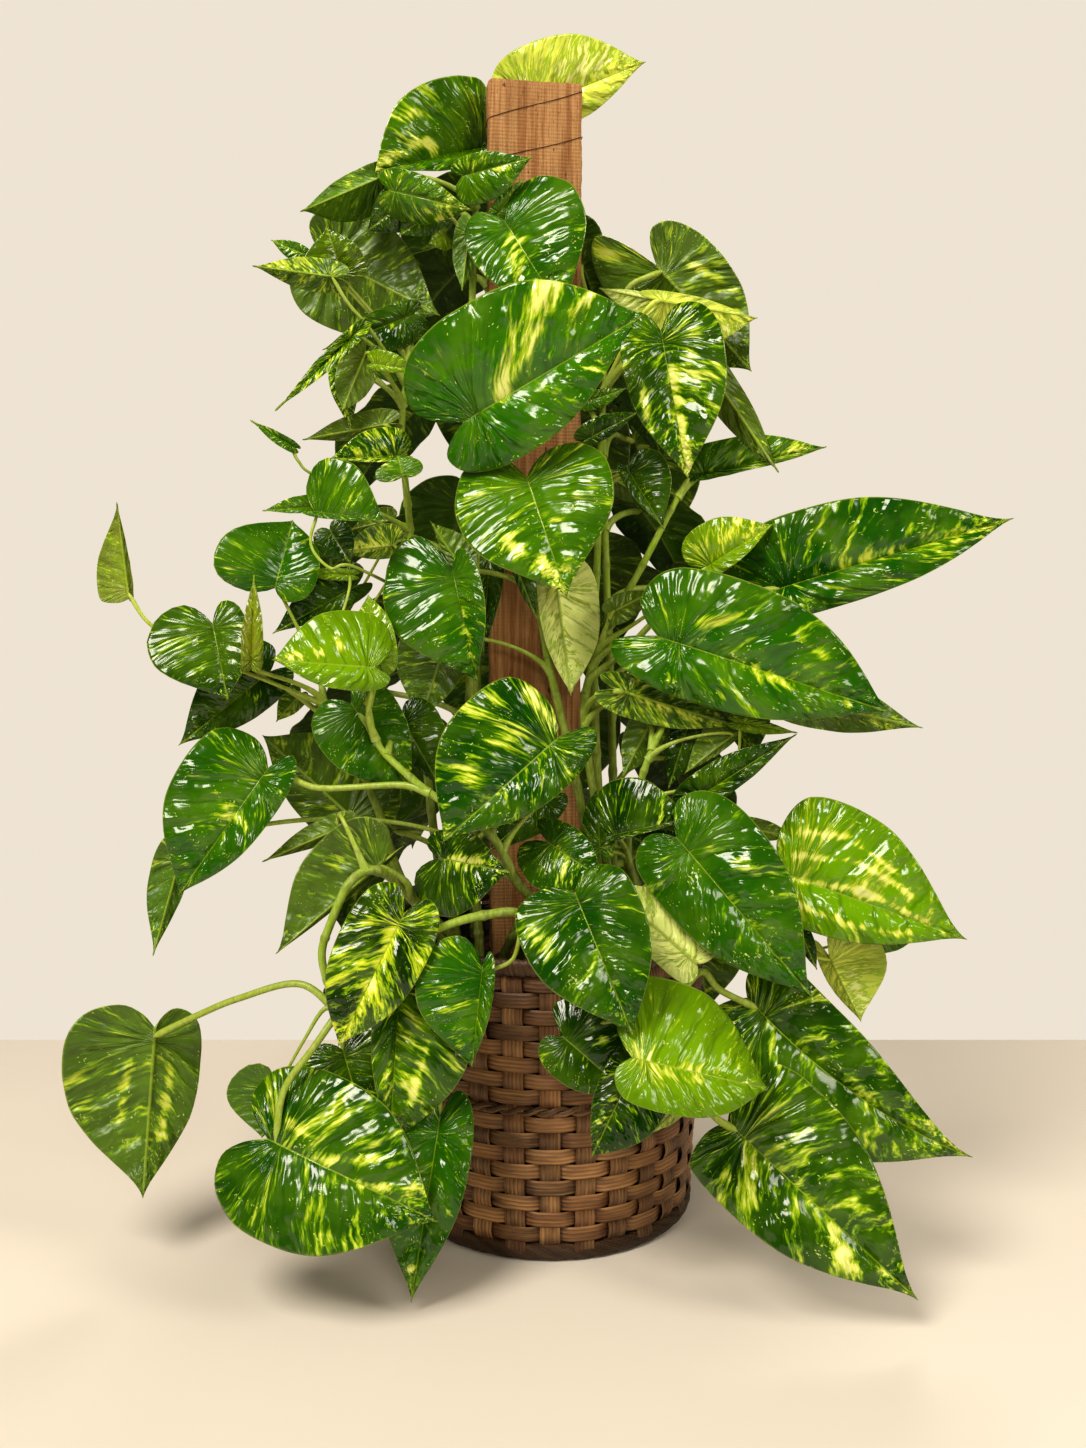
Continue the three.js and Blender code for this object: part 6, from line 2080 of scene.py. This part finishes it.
@dataclass(frozen=True)
class Basket:
    """The woven basket, in metres: splints over and under stakes, a corded band and two hoops."""

    height: float = 0.256  # height of the wall
    foot: float = 0.125  # outer radius at the floor
    rim: float = 0.137  # outer radius at the top
    relief: float = 0.0019  # how far the weave swings in and out
    stakes: int = 28
    rows: int = 16  # rows of splints
    low: float = 0.0165  # height of the lowest splint's lower edge
    high: float = 0.2415  # height of the highest splint's upper edge
    band: float = 0.129  # height of the corded band
    gap: float = 0.0095  # height that the band takes from the weave
    splint_height: float = 0.0124
    splint_thick: float = 0.0013
    splint_fine: int = 9  # points of a splint between two stakes
    press: float = 1.5  # how steeply a splint crosses between stakes; above 1 it lies flat on them
    lean: float = 0.45  # how much more of it lies outside
    pillow: float = 2.6  # how much thinner a splint is at its edges
    section_fine: int = 26  # points round a splint
    slack: float = 0.0022  # how far a splint strays up and down
    stray: float = 0.0014  # how far it strays in and out
    stake_width: float = 0.0170
    stake_thick: float = 0.0012
    stake_low: float = 0.006
    stake_high: float = 0.250
    stake_fine: int = 110  # points along a stake
    strands: int = 2  # strands of the band's cord
    twists: int = 28  # how often each goes round the other
    strand: float = 0.0023  # radius of a strand
    swing: float = 0.0024  # how far a strand swings about the middle
    proud: float = 0.0008  # how far the cord stands off the wall
    twist_fine: int = 12  # points of a strand in one twist
    drawn: float = 0.13  # metres of splint in a radian, for the grain along it
    hue_row: float = 1.7  # how far apart the shades of two rows are drawn
    hue_rise: float = 90.0  # how far apart those of the two walls are, for each metre up
    hue_stake: float = 9.0  # how far apart those of two stakes are, for each radian
    straying: tuple[float, float] = (5.0, 7.3)  # strays of a splint in a radian, and by row
    hoops: tuple[Hoop, ...] = (
        Hoop("basket_rim_hoop", "basket_rim", 0.242, 0.256, 0.1356, 0.1442, 88, 1),
        Hoop("basket_foot_hoop", "basket_foot", 0.0008, 0.0150, 0.1215, 0.1292, 36, 4),
    )

    def build(self, splint: Material, trim: Material) -> None:
        """Makes the wall, its floor, its band and its hoops, and dresses them.

        Args:
            splint: The finish of splints and stakes.
            trim: The finish of the band and the hoops.
        """
        for name, low, high in (("low", self.low, self.band - self.gap / 2),
                                ("high", self.band + self.gap / 2, self.high)):
            dress(self.weave("basket_weave_" + name, low, high, splint), "splint", "basket")
        dress(self.uprights(splint), "splint", "basket")
        dress(self.base(splint), "splint", "basket")
        dress(self.cord(trim), "trim", "basket_band")
        for hoop in self.hoops:
            hoop.build(trim)

    def wall(self, rule: Rule, z: Term) -> Term:
        """Finds the wall's radius at a height inside a rule.

        Args:
            rule: The rule, which gets the wall's sizes.
            z: The height.

        Returns:
            The radius.
        """
        foot, rim, height = rule.sizes({
            "Foot radius": self.foot, "Rim radius": self.rim, "Wall height": self.height})
        return z / height * (rim - foot) + foot

    def section(self, rule: Rule, thick: Term, wide: Term, upright: bool = False) -> Term:
        """Draws the rounded section of a splint, with its lane across kept on each point.

        Args:
            rule: The rule that it is part of.
            thick: The splint's thickness.
            wide: Its width.
            upright: Whether its width stands up.

        Returns:
            The closed curve.
        """
        plain = rule.get("GeometryNodeCurvePrimitiveQuadrilateral", Width=wide, Height=thick)
        x, y, _ = rule.spot()
        share = x / wide
        kept = rule.keep(rule.evenly(plain, self.section_fine), lane=x)
        deep = y * (share * share * -self.pillow + 1.0)
        return rule.seat(kept, *((deep, x) if upright else (x, deep)), 0.0)

    def weave(self, name: str, low: float, high: float,
              finish: Material) -> Piece:
        """Makes some rows of splints, each a ring that waves over and under the stakes.

        Args:
            name: The piece's name.
            low: Height of the lower edge of the first row.
            high: Height of the upper edge of the last row.
            finish: Its material.

        Returns:
            The rows as one object.
        """
        rule = Rule("splint_rows")
        half = self.rows // 2
        count, around, pitch, start, relief, pairs, tall, thick = rule.sizes({
            "Rows": half, "Points in a row": self.stakes * self.splint_fine,
            "Pitch": (high - low) / half,
            "First height": low, "Relief": self.relief, "Stake pairs": self.stakes / 2,
            "Splint height": self.splint_height, "Splint thickness": self.splint_thick})
        line = rule.get("GeometryNodeMeshLine", Count=count, Offset=rule.join(0.0, 0.0, pitch),
                        Start_Location=rule.join(0.0, 0.0, pitch * 0.5 + start))
        rings = rule.copies(line, rule.circle(around))
        turn, z = rule.bearing(), rule.spot()[2]
        row = rule.math("ROUND", (z - start) / pitch - 0.5)
        wave = rule.cos(turn * pairs + row * math.pi) * self.press + self.lean
        swing = rule.math("MAXIMUM", rule.math("MINIMUM", wave, 1.0), -1.0)
        along, aside = self.straying
        loose = rule.get("ShaderNodeTexNoise", rule.join(turn * along, row * aside), Scale=1.0,
                         noise_dimensions="2D") - 0.5
        kept = rule.keep(rings, run=turn * self.drawn, rise=swing,
                         strand=row * self.hue_row + low * self.hue_rise)
        radius = self.wall(rule, z) + swing * relief + loose * self.stray
        seated = rule.seat_round(kept, turn, radius, loose * self.slack + z)
        rows = rule.sweep_level(seated, self.section(rule, thick, tall, True))
        return rule.apply(rows, name, finish)

    def uprights(self, finish: Material) -> Piece:
        """Makes the stakes, which wave the other way from row to row.

        Args:
            finish: Their material.

        Returns:
            The stakes as one object.
        """
        rule = Rule("stakes")
        pitch = (self.band - self.gap / 2 - self.low) / (self.rows // 2)
        count, wide, thick, relief, pitch, low, high = rule.sizes({
            "Stakes": self.stakes, "Stake width": self.stake_width,
            "Stake thickness": self.stake_thick, "Relief": self.relief, "Pitch": pitch,
            "Lowest": self.stake_low, "Highest": self.stake_high})
        line = rule.get("GeometryNodeCurvePrimitiveLine", Start=rule.join(0.0, 0.0, low),
                        End=rule.join(0.0, 0.0, high))
        level, turn = rule.spot()[2], rule.bearing()
        course = rule.keep(rule.evenly(line, self.stake_fine), run=level)
        strip = rule.sweep(course, self.section(rule, thick, wide))
        ring = rule.get("GeometryNodeMeshCircle", Vertices=count, Radius=0.001)
        facing = rule.get("FunctionNodeEulerToRotation", rule.join(0.0, 0.0, turn + math.pi / 2))
        bearing = rule.kept("bearing")
        over = rule.math("GREATER_THAN", level, self.band)
        beat = (level - self.low) / pitch - 0.5 - over * rule.math("DIVIDE", self.gap, pitch)
        swing = rule.cos(bearing * (self.stakes / 2) + beat * math.pi)
        radius = self.wall(rule, level) + swing * (relief * -1.0)
        away = rule.join(radius * rule.cos(bearing), radius * rule.sin(bearing))
        spots = rule.keep(ring, strand=turn * self.hue_stake, bearing=turn)
        stakes = rule.keep(rule.copies(spots, strip, Rotation=facing), rise=swing * -1.0)
        moved = rule.get("GeometryNodeSetPosition", stakes, Offset=away)
        return rule.apply(moved, "basket_stakes", finish)

    def cord(self, finish: Material) -> Piece:
        """Makes the band: a cord of strands twisted round a ring.

        Args:
            finish: Its material.

        Returns:
            The cord.
        """
        rule = Rule("twisted_cord")
        ring = self.foot + (self.rim - self.foot) * self.band / self.height + self.proud
        count, around, turns, radius, level, swing, girth = rule.sizes({
            "Strands": self.strands, "Points in a strand": self.twists * self.twist_fine,
            "Twists": float(self.twists), "Ring radius": ring, "Height": self.band,
            "Swing": self.swing, "Strand radius": self.strand})
        rings = rule.copies(rule.get("GeometryNodeMeshLine", Count=count), rule.circle(around))
        turn, (_, y, z) = rule.bearing(), rule.spot()
        strand = rule.math("ROUND", z)
        lap = turn * turns + strand * (TURN / self.strands)
        kept = rule.keep(rings, run=turn * self.drawn, strand=strand)
        seated = rule.seat_round(kept, turn, rule.cos(lap) * swing + radius,
                                 rule.sin(lap) * swing + level)
        section = rule.keep(rule.circle(10, girth), lane=y)
        return rule.apply(rule.sweep_level(seated, section), "basket_cord", finish)

    def base(self, finish: Material) -> Piece:
        """Makes the round floor of the basket with its turned-up edge.

        Args:
            finish: Its material.

        Returns:
            The floor.
        """
        foot, top = self.foot / MM - 4, 3.5
        profile = (
            (0, 0.8), (foot - 8, 0.8), (foot - 2, 1.6), (foot, 4), (foot + 0.5, 14), (foot - 1, 14),
            (foot - 2.5, 5), (foot - 6, top), (0, top),
        )
        points, faces = lathe(profile, 96)
        run = np.arctan2(points[:, 1], points[:, 0]) * 0.12
        lane = np.hypot(points[:, 0], points[:, 1]) * MM
        draft = MeshDraft().add(points, faces, run=run, lane=lane, strand=0 * run)
        return draft.finish("basket_base", finish)


# ---------------------------------------------------------------- pot, soil, board and wires
@dataclass(frozen=True)
class NurseryPot:
    """The thin black pot inside the basket, in millimetres."""

    lip_radius: float = 123.0
    foot_radius: float = 104.0
    wall: float = 2.2
    lift: float = 5.3  # height of its underside
    top: float = 244.0
    lip: float = 4.0  # how far the lip stands out
    lip_height: float = 12.0

    def radius(self, z: float) -> float:
        """Finds the outer radius at a height."""
        share = (z - self.lift) / (self.top - self.lift)
        return self.foot_radius + (self.lip_radius - self.lip - self.foot_radius) * share

    def build(self, finish: Material) -> None:
        """Makes and dresses the pot.

        Args:
            finish: Its material.
        """
        lip, foot, edge = self.top - self.lip_height, self.foot_radius, self.lip_radius
        inner = self.radius(self.top) - self.wall
        profile = (
            (0, self.lift), (foot - 3, self.lift), (foot - 0.8, self.lift + 0.8),
            (foot, self.lift + 3), (self.radius(lip) - 0.1, lip - 1.2),
            (self.radius(lip) + 0.6, lip), (edge - 0.8, lip), (edge, lip + 0.8),
            (edge, self.top - 2.0),
            (edge - 0.7, self.top - 0.5), (edge - 2, self.top), (inner + 1.6, self.top),
            (inner + 0.4, self.top - 0.6), (inner, self.top - 2.2),
            (foot - self.wall, self.lift + self.wall), (0, self.lift + self.wall),
        )
        dress(MeshDraft().add(*lathe(profile, 96)).finish("grower_pot", finish), "pot_plastic",
              "nursery_pot")


@dataclass(frozen=True)
class Soil:
    """The potting mix with its crumbs, in millimetres."""

    radius: float = 113.5
    floor_radius: float = 101.0
    floor: float = 8.2  # height of its underside
    edge: float = 221.0  # height at the pot's wall
    crown: float = 227.0  # height in the middle
    rings: int = 44
    sides: int = 120
    crumbs: float = 26000.0  # crumbs on a square metre
    level: float = 0.6  # how level a face must be to carry them; 1 is level
    crumb: float = 0.0021  # radius of a crumb, in metres
    seed: int = 7

    def build(self, finish: Material, crumb: Material) -> None:
        """Makes and dresses the mix and the crumbs on it.

        Args:
            finish: The mix's material.
            crumb: The crumbs' material.
        """
        heap = self.heap(finish)
        for piece in (heap, self.scatter(heap, crumb)):
            dress(piece, "soil", "soil")

    def heap(self, finish: Material) -> Piece:
        """Makes the body of the mix with its uneven top.

        Args:
            finish: Its material.

        Returns:
            The body.
        """
        reach = np.linspace(0, 1, self.rings)[1:]
        turn = np.linspace(0, TURN, self.sides, endpoint=False)
        radius, angle = np.meshgrid(reach * self.radius, turn, indexing="ij")
        x, y = radius * np.cos(angle), radius * np.sin(angle)
        lumps = (1.3 * np.sin(x * 0.11 + 1.2) * np.cos(y * 0.13 - 0.4)
                 + 0.8 * np.sin(x * 0.31 + y * 0.23) + 0.5 * np.cos(x * 0.57 - y * 0.71 + 2.0)
                 + 0.35 * np.sin(x * 1.13 + 0.7) * np.sin(y * 1.31))
        top = self.crown + (self.edge - self.crown) * smooth(0.75, 1.0, reach)[:, None] + lumps
        top[-1] = self.edge
        low = self.floor_radius
        foot = np.stack((low * np.cos(turn), low * np.sin(turn), 0 * turn + self.floor), -1)
        body = stack((0, 0, self.crown), [*np.stack((x, y, top), -1), foot], (0, 0, self.floor))
        return MeshDraft().add(*body).finish("potting_mix_heap", finish)

    def scatter(self, heap: Piece, finish: Material) -> Piece:
        """Strews crumbs and bark over the top of the mix.

        Args:
            heap: The mix.
            finish: The crumbs' material.

        Returns:
            The crumbs as one object.
        """
        rule = Rule("crumbs")
        density, seed, smallest, largest = rule.sizes({
            "Crumbs per square metre": self.crumbs, "Seed": self.seed, "Smallest": 0.25,
            "Largest": 1.0})
        upward = rule.split(rule.get("GeometryNodeInputNormal"))[2]
        spread = rule.get("GeometryNodeDistributePointsOnFaces", rule.given, Density=density,
                          Seed=seed, Selection=rule.math("GREATER_THAN", upward, self.level))
        crumb = rule.get("GeometryNodeMeshIcoSphere", Radius=self.crumb, Subdivisions=1)
        draw = "FunctionNodeRandomValue"
        size = rule.get(draw, data_type="FLOAT_VECTOR", Min=(0.2, 0.2, 0.15), Max=(1.5, 0.8, 0.5))
        turn = rule.get(draw, data_type="FLOAT_VECTOR", Max=(0.6, 0.6, 6.28))
        girth = rule.get(draw, data_type="FLOAT", Min=smallest, Max=largest)
        scale = rule.get("ShaderNodeVectorMath", size, operation="SCALE", Scale=girth)
        strewn = rule.get("GeometryNodeInstanceOnPoints", spread, Instance=crumb, Scale=scale,
                          Rotation=turn)
        return rule.apply(strewn, "potting_mix_crumbs", finish, heap.data)


@dataclass(frozen=True)
class Board:
    """The rough board that carries the plant, in millimetres."""

    width: float = 80.0
    thickness: float = 19.0
    top: float = 977.0
    bottom: float = 8.0
    x: float = -13.5
    y: float = 0.0
    turn: float = 9.0  # how far it is turned about its height, in degrees
    edge: float = 1.6  # how far its end corners are worn
    rows: int = 150
    waves: tuple[tuple[float, float, float], ...] = (  # depth, and pace up and across the board
        (0.35, 0.11, 0.3), (0.25, 0.47, 0.9),
    )

    def outline(self, grow: float = 0.0, corner: float = 1.6, across: int = 14) -> np.ndarray:
        """Draws the board's section.

        Args:
            grow: How far outside the board the outline runs.
            corner: Radius of its corners.
            across: Points along each wide side.

        Returns:
            The outline's points, anticlockwise.
        """
        half, deep = self.width / 2 + grow, self.thickness / 2 + grow
        spots = []
        for sx, sy, start in ((1, -1, -90), (1, 1, 0), (-1, 1, 90), (-1, -1, 180)):
            for step in range(4):
                angle = math.radians(start + 30 * step)
                spots.append((sx * (half - corner) + corner * math.cos(angle),
                              sy * (deep - corner) + corner * math.sin(angle)))
            if sy * sx > 0:
                inner = np.linspace(sx * (half - corner), -sx * (half - corner), across + 2)[1:-1]
                spots.extend((float(u), sy * deep) for u in inner)
        tilt = math.radians(self.turn)
        spin = np.array(((math.cos(tilt), math.sin(tilt)), (-math.sin(tilt), math.cos(tilt))))
        return np.asarray(spots) @ spin + (self.x, self.y)

    def build(self, finish: Material) -> None:
        """Makes and dresses the board.

        Args:
            finish: Its material.
        """
        outline = self.outline()
        middle = outline.mean(axis=0)
        away = outline - middle
        levels = np.linspace(self.bottom, self.top, self.rows)
        low, high = levels[0], levels[-1]
        rings = []
        for z in (low, low + self.edge, *levels[1:-1], high - self.edge, high):
            inset = self.edge if z in (low, high) else 0.0
            scale = 1 - inset / np.maximum(np.linalg.norm(away, axis=1, keepdims=True), 1)
            wobble = sum(deep * np.sin(z * up + outline[:, :1] * side)
                         for deep, up, side in self.waves)
            ring = middle + away * scale + wobble * unit(away)
            rings.append(np.column_stack((ring, np.full(len(ring), z))))
        points, faces = stack((*middle, low), rings, (*middle, high))
        draft = MeshDraft().add(points, np.roll(faces[:, ::-1], 1, axis=1))
        dress(draft.finish("sawn_board", finish), "board_wood", "board")


@dataclass(frozen=True)
class Ties:
    """The wires wound round the board, in millimetres: name, height in the middle, and slant."""

    loops: tuple[tuple[str, float, float], ...] = (
        ("tie_top", 957.0, 13.0), ("tie_high", 921.0, 12.0), ("tie_middle", 628.0, 10.0),
    )
    wire: float = 0.28  # radius of the wire
    off: float = 0.5  # how far its middle stands off the board
    corner: float = 2.6
    count: int = 160

    def build(self, board: Board, finish: Material) -> None:
        """Makes and dresses every loop.

        Args:
            board: The board that they go round.
            finish: Their material.
        """
        outline = board.outline(self.off, self.corner)
        for name, middle, slant in self.loops:
            rise = middle + slant * (outline[:, 0] - board.x) / (board.width / 2)
            loop = np.column_stack((outline, rise))
            points = spline(np.vstack((loop, loop[:1])), self.count)
            points[:, 2] += 0.5 * np.sin(np.linspace(0, 19, self.count))
            thread = Threads()
            thread.lay(points, np.full(self.count, self.wire), np.ones((self.count, 3)))
            dress(thread.sweep(name + "_wire", finish), "wire", name)


# ---------------------------------------------------------------- the stage
@dataclass(frozen=True)
class Lamp:
    """A soft round lamp, in metres and watts."""

    name: str
    spot: Point  # where it stands
    aim: float  # height on the plant's axis that it points at
    size: float
    power: float
    mirrored: bool = True  # whether glossy faces mirror it
    glow: str = "fff7ea"

    def build(self) -> None:
        """Hangs the lamp."""
        light = bpy.data.lights.new(self.name, "AREA")
        light.shape, light.size = "DISK", self.size
        light.energy, light.color = self.power, srgb(self.glow)
        holder = link(bpy.data.objects.new(self.name, light))
        holder.location, holder.visible_glossy = self.spot, self.mirrored
        sight = Vector((0.0, 0.0, self.aim)) - Vector(self.spot)
        holder.rotation_euler = sight.to_track_quat("-Z", "Y").to_euler()


@dataclass(frozen=True)
class Studio:
    """The floor, the lights and the camera, in metres."""

    eye: Point = (-0.0058, -1.108, 0.528)  # where the camera stands
    pitch: float = 5.0  # how far it looks down, in degrees
    lens: float = 31.08  # its focal length in millimetres
    sensor: float = 36.0  # height of its frame in millimetres
    floor: float = 12.0  # half the width of the floor
    edge: float = 0.41  # how far behind the plant the floor ends
    backdrop: float = 0.84  # how bright the wall looks
    sky: float = 0.27  # how brightly it shines
    mirrored: float = 0.07  # how bright glossy faces see it
    wall: str = "efe5d6"
    lamps: tuple[Lamp, ...] = (
        Lamp("key", (-1.0, -1.4, 2.2), 0.5, 1.1, 54.0),
        Lamp("side", (1.7, -1.1, 1.6), 0.5, 0.9, 17.0),
        Lamp("front", (0.3, -2.2, 1.1), 0.45, 0.6, 9.0, False),
        Lamp("back", (0.5, 1.9, 1.9), 0.6, 1.0, 22.0),
    )

    def build(self, floor_finish: Material) -> None:
        """Sets up the floor, the lights and the camera.

        Args:
            floor_finish: The floor's material.
        """
        mesh = bpy.data.meshes.new("floor")
        corners = [(x, y, 0.0) for x, y in ((-self.floor, -self.floor), (self.floor, -self.floor),
                                            (self.floor, self.edge), (-self.floor, self.edge))]
        mesh.from_pydata(corners, [], [(0, 1, 2, 3)])
        mesh.materials.append(floor_finish)
        link(bpy.data.objects.new("floor", mesh))
        self.surround()
        for lamp in self.lamps:
            lamp.build()
        scene = bpy.context.scene
        scene.view_settings.view_transform = "Standard"
        scene.view_settings.look = "Medium High Contrast"
        camera = bpy.data.cameras.new("front")
        camera.lens, camera.sensor_fit = self.lens, "AUTO"
        camera.sensor_width = camera.sensor_height = self.sensor
        scene.camera = link(bpy.data.objects.new("front", camera))
        scene.camera.location = self.eye
        scene.camera.rotation_euler = (math.radians(90 - self.pitch), 0, 0)

    def surround(self) -> None:
        """Surrounds the scene with a pale wall that shines less than it shows, least in gloss."""
        world = bpy.data.worlds.new("studio")
        world.use_nodes = True
        nodes = Nodes()
        nodes.tree = world.node_tree
        back = nodes.tree.nodes["Background"]
        back.inputs["Color"].default_value = (*srgb(self.wall), 1.0)
        path = nodes.node("ShaderNodeLightPath").outputs
        shine = nodes.get("ShaderNodeMapRange", Term(nodes, path["Is Glossy Ray"]),
                          To_Min=self.sky, To_Max=self.mirrored)
        seen = nodes.get("ShaderNodeMapRange", Term(nodes, path["Is Camera Ray"]),
                         To_Min=shine, To_Max=self.backdrop)
        nodes.feed(back.inputs["Strength"], seen)
        bpy.context.scene.world = world


def main() -> None:
    """Builds every class in order."""
    logging.basicConfig(level=logging.INFO, format="%(name)s: %(message)s")
    for old in [o for o in bpy.data.objects if o.type in ("LIGHT", "CAMERA")]:
        bpy.data.objects.remove(old)
    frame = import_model()
    Studio().build(FloorFinish().make())
    trim = SplintFinish("dark_reed", "2d1c10", "5e3f24", "9c774c", 1500.0, 0.4)
    Basket().build(SplintFinish().make(), trim.make())
    NurseryPot().build(PotFinish().make())
    Soil().build(SoilFinish().make(), SoilFinish("mix_crumbs", "2a1c12", "7a5a3c").make())
    board = Board()
    board.build(BoardFinish().make())
    Ties().build(board, WireFinish().make())
    Pothos(frame["nodes"]).build(LeafFinish().make(), StalkFinish().make())


if __name__ == "__main__":
    main()
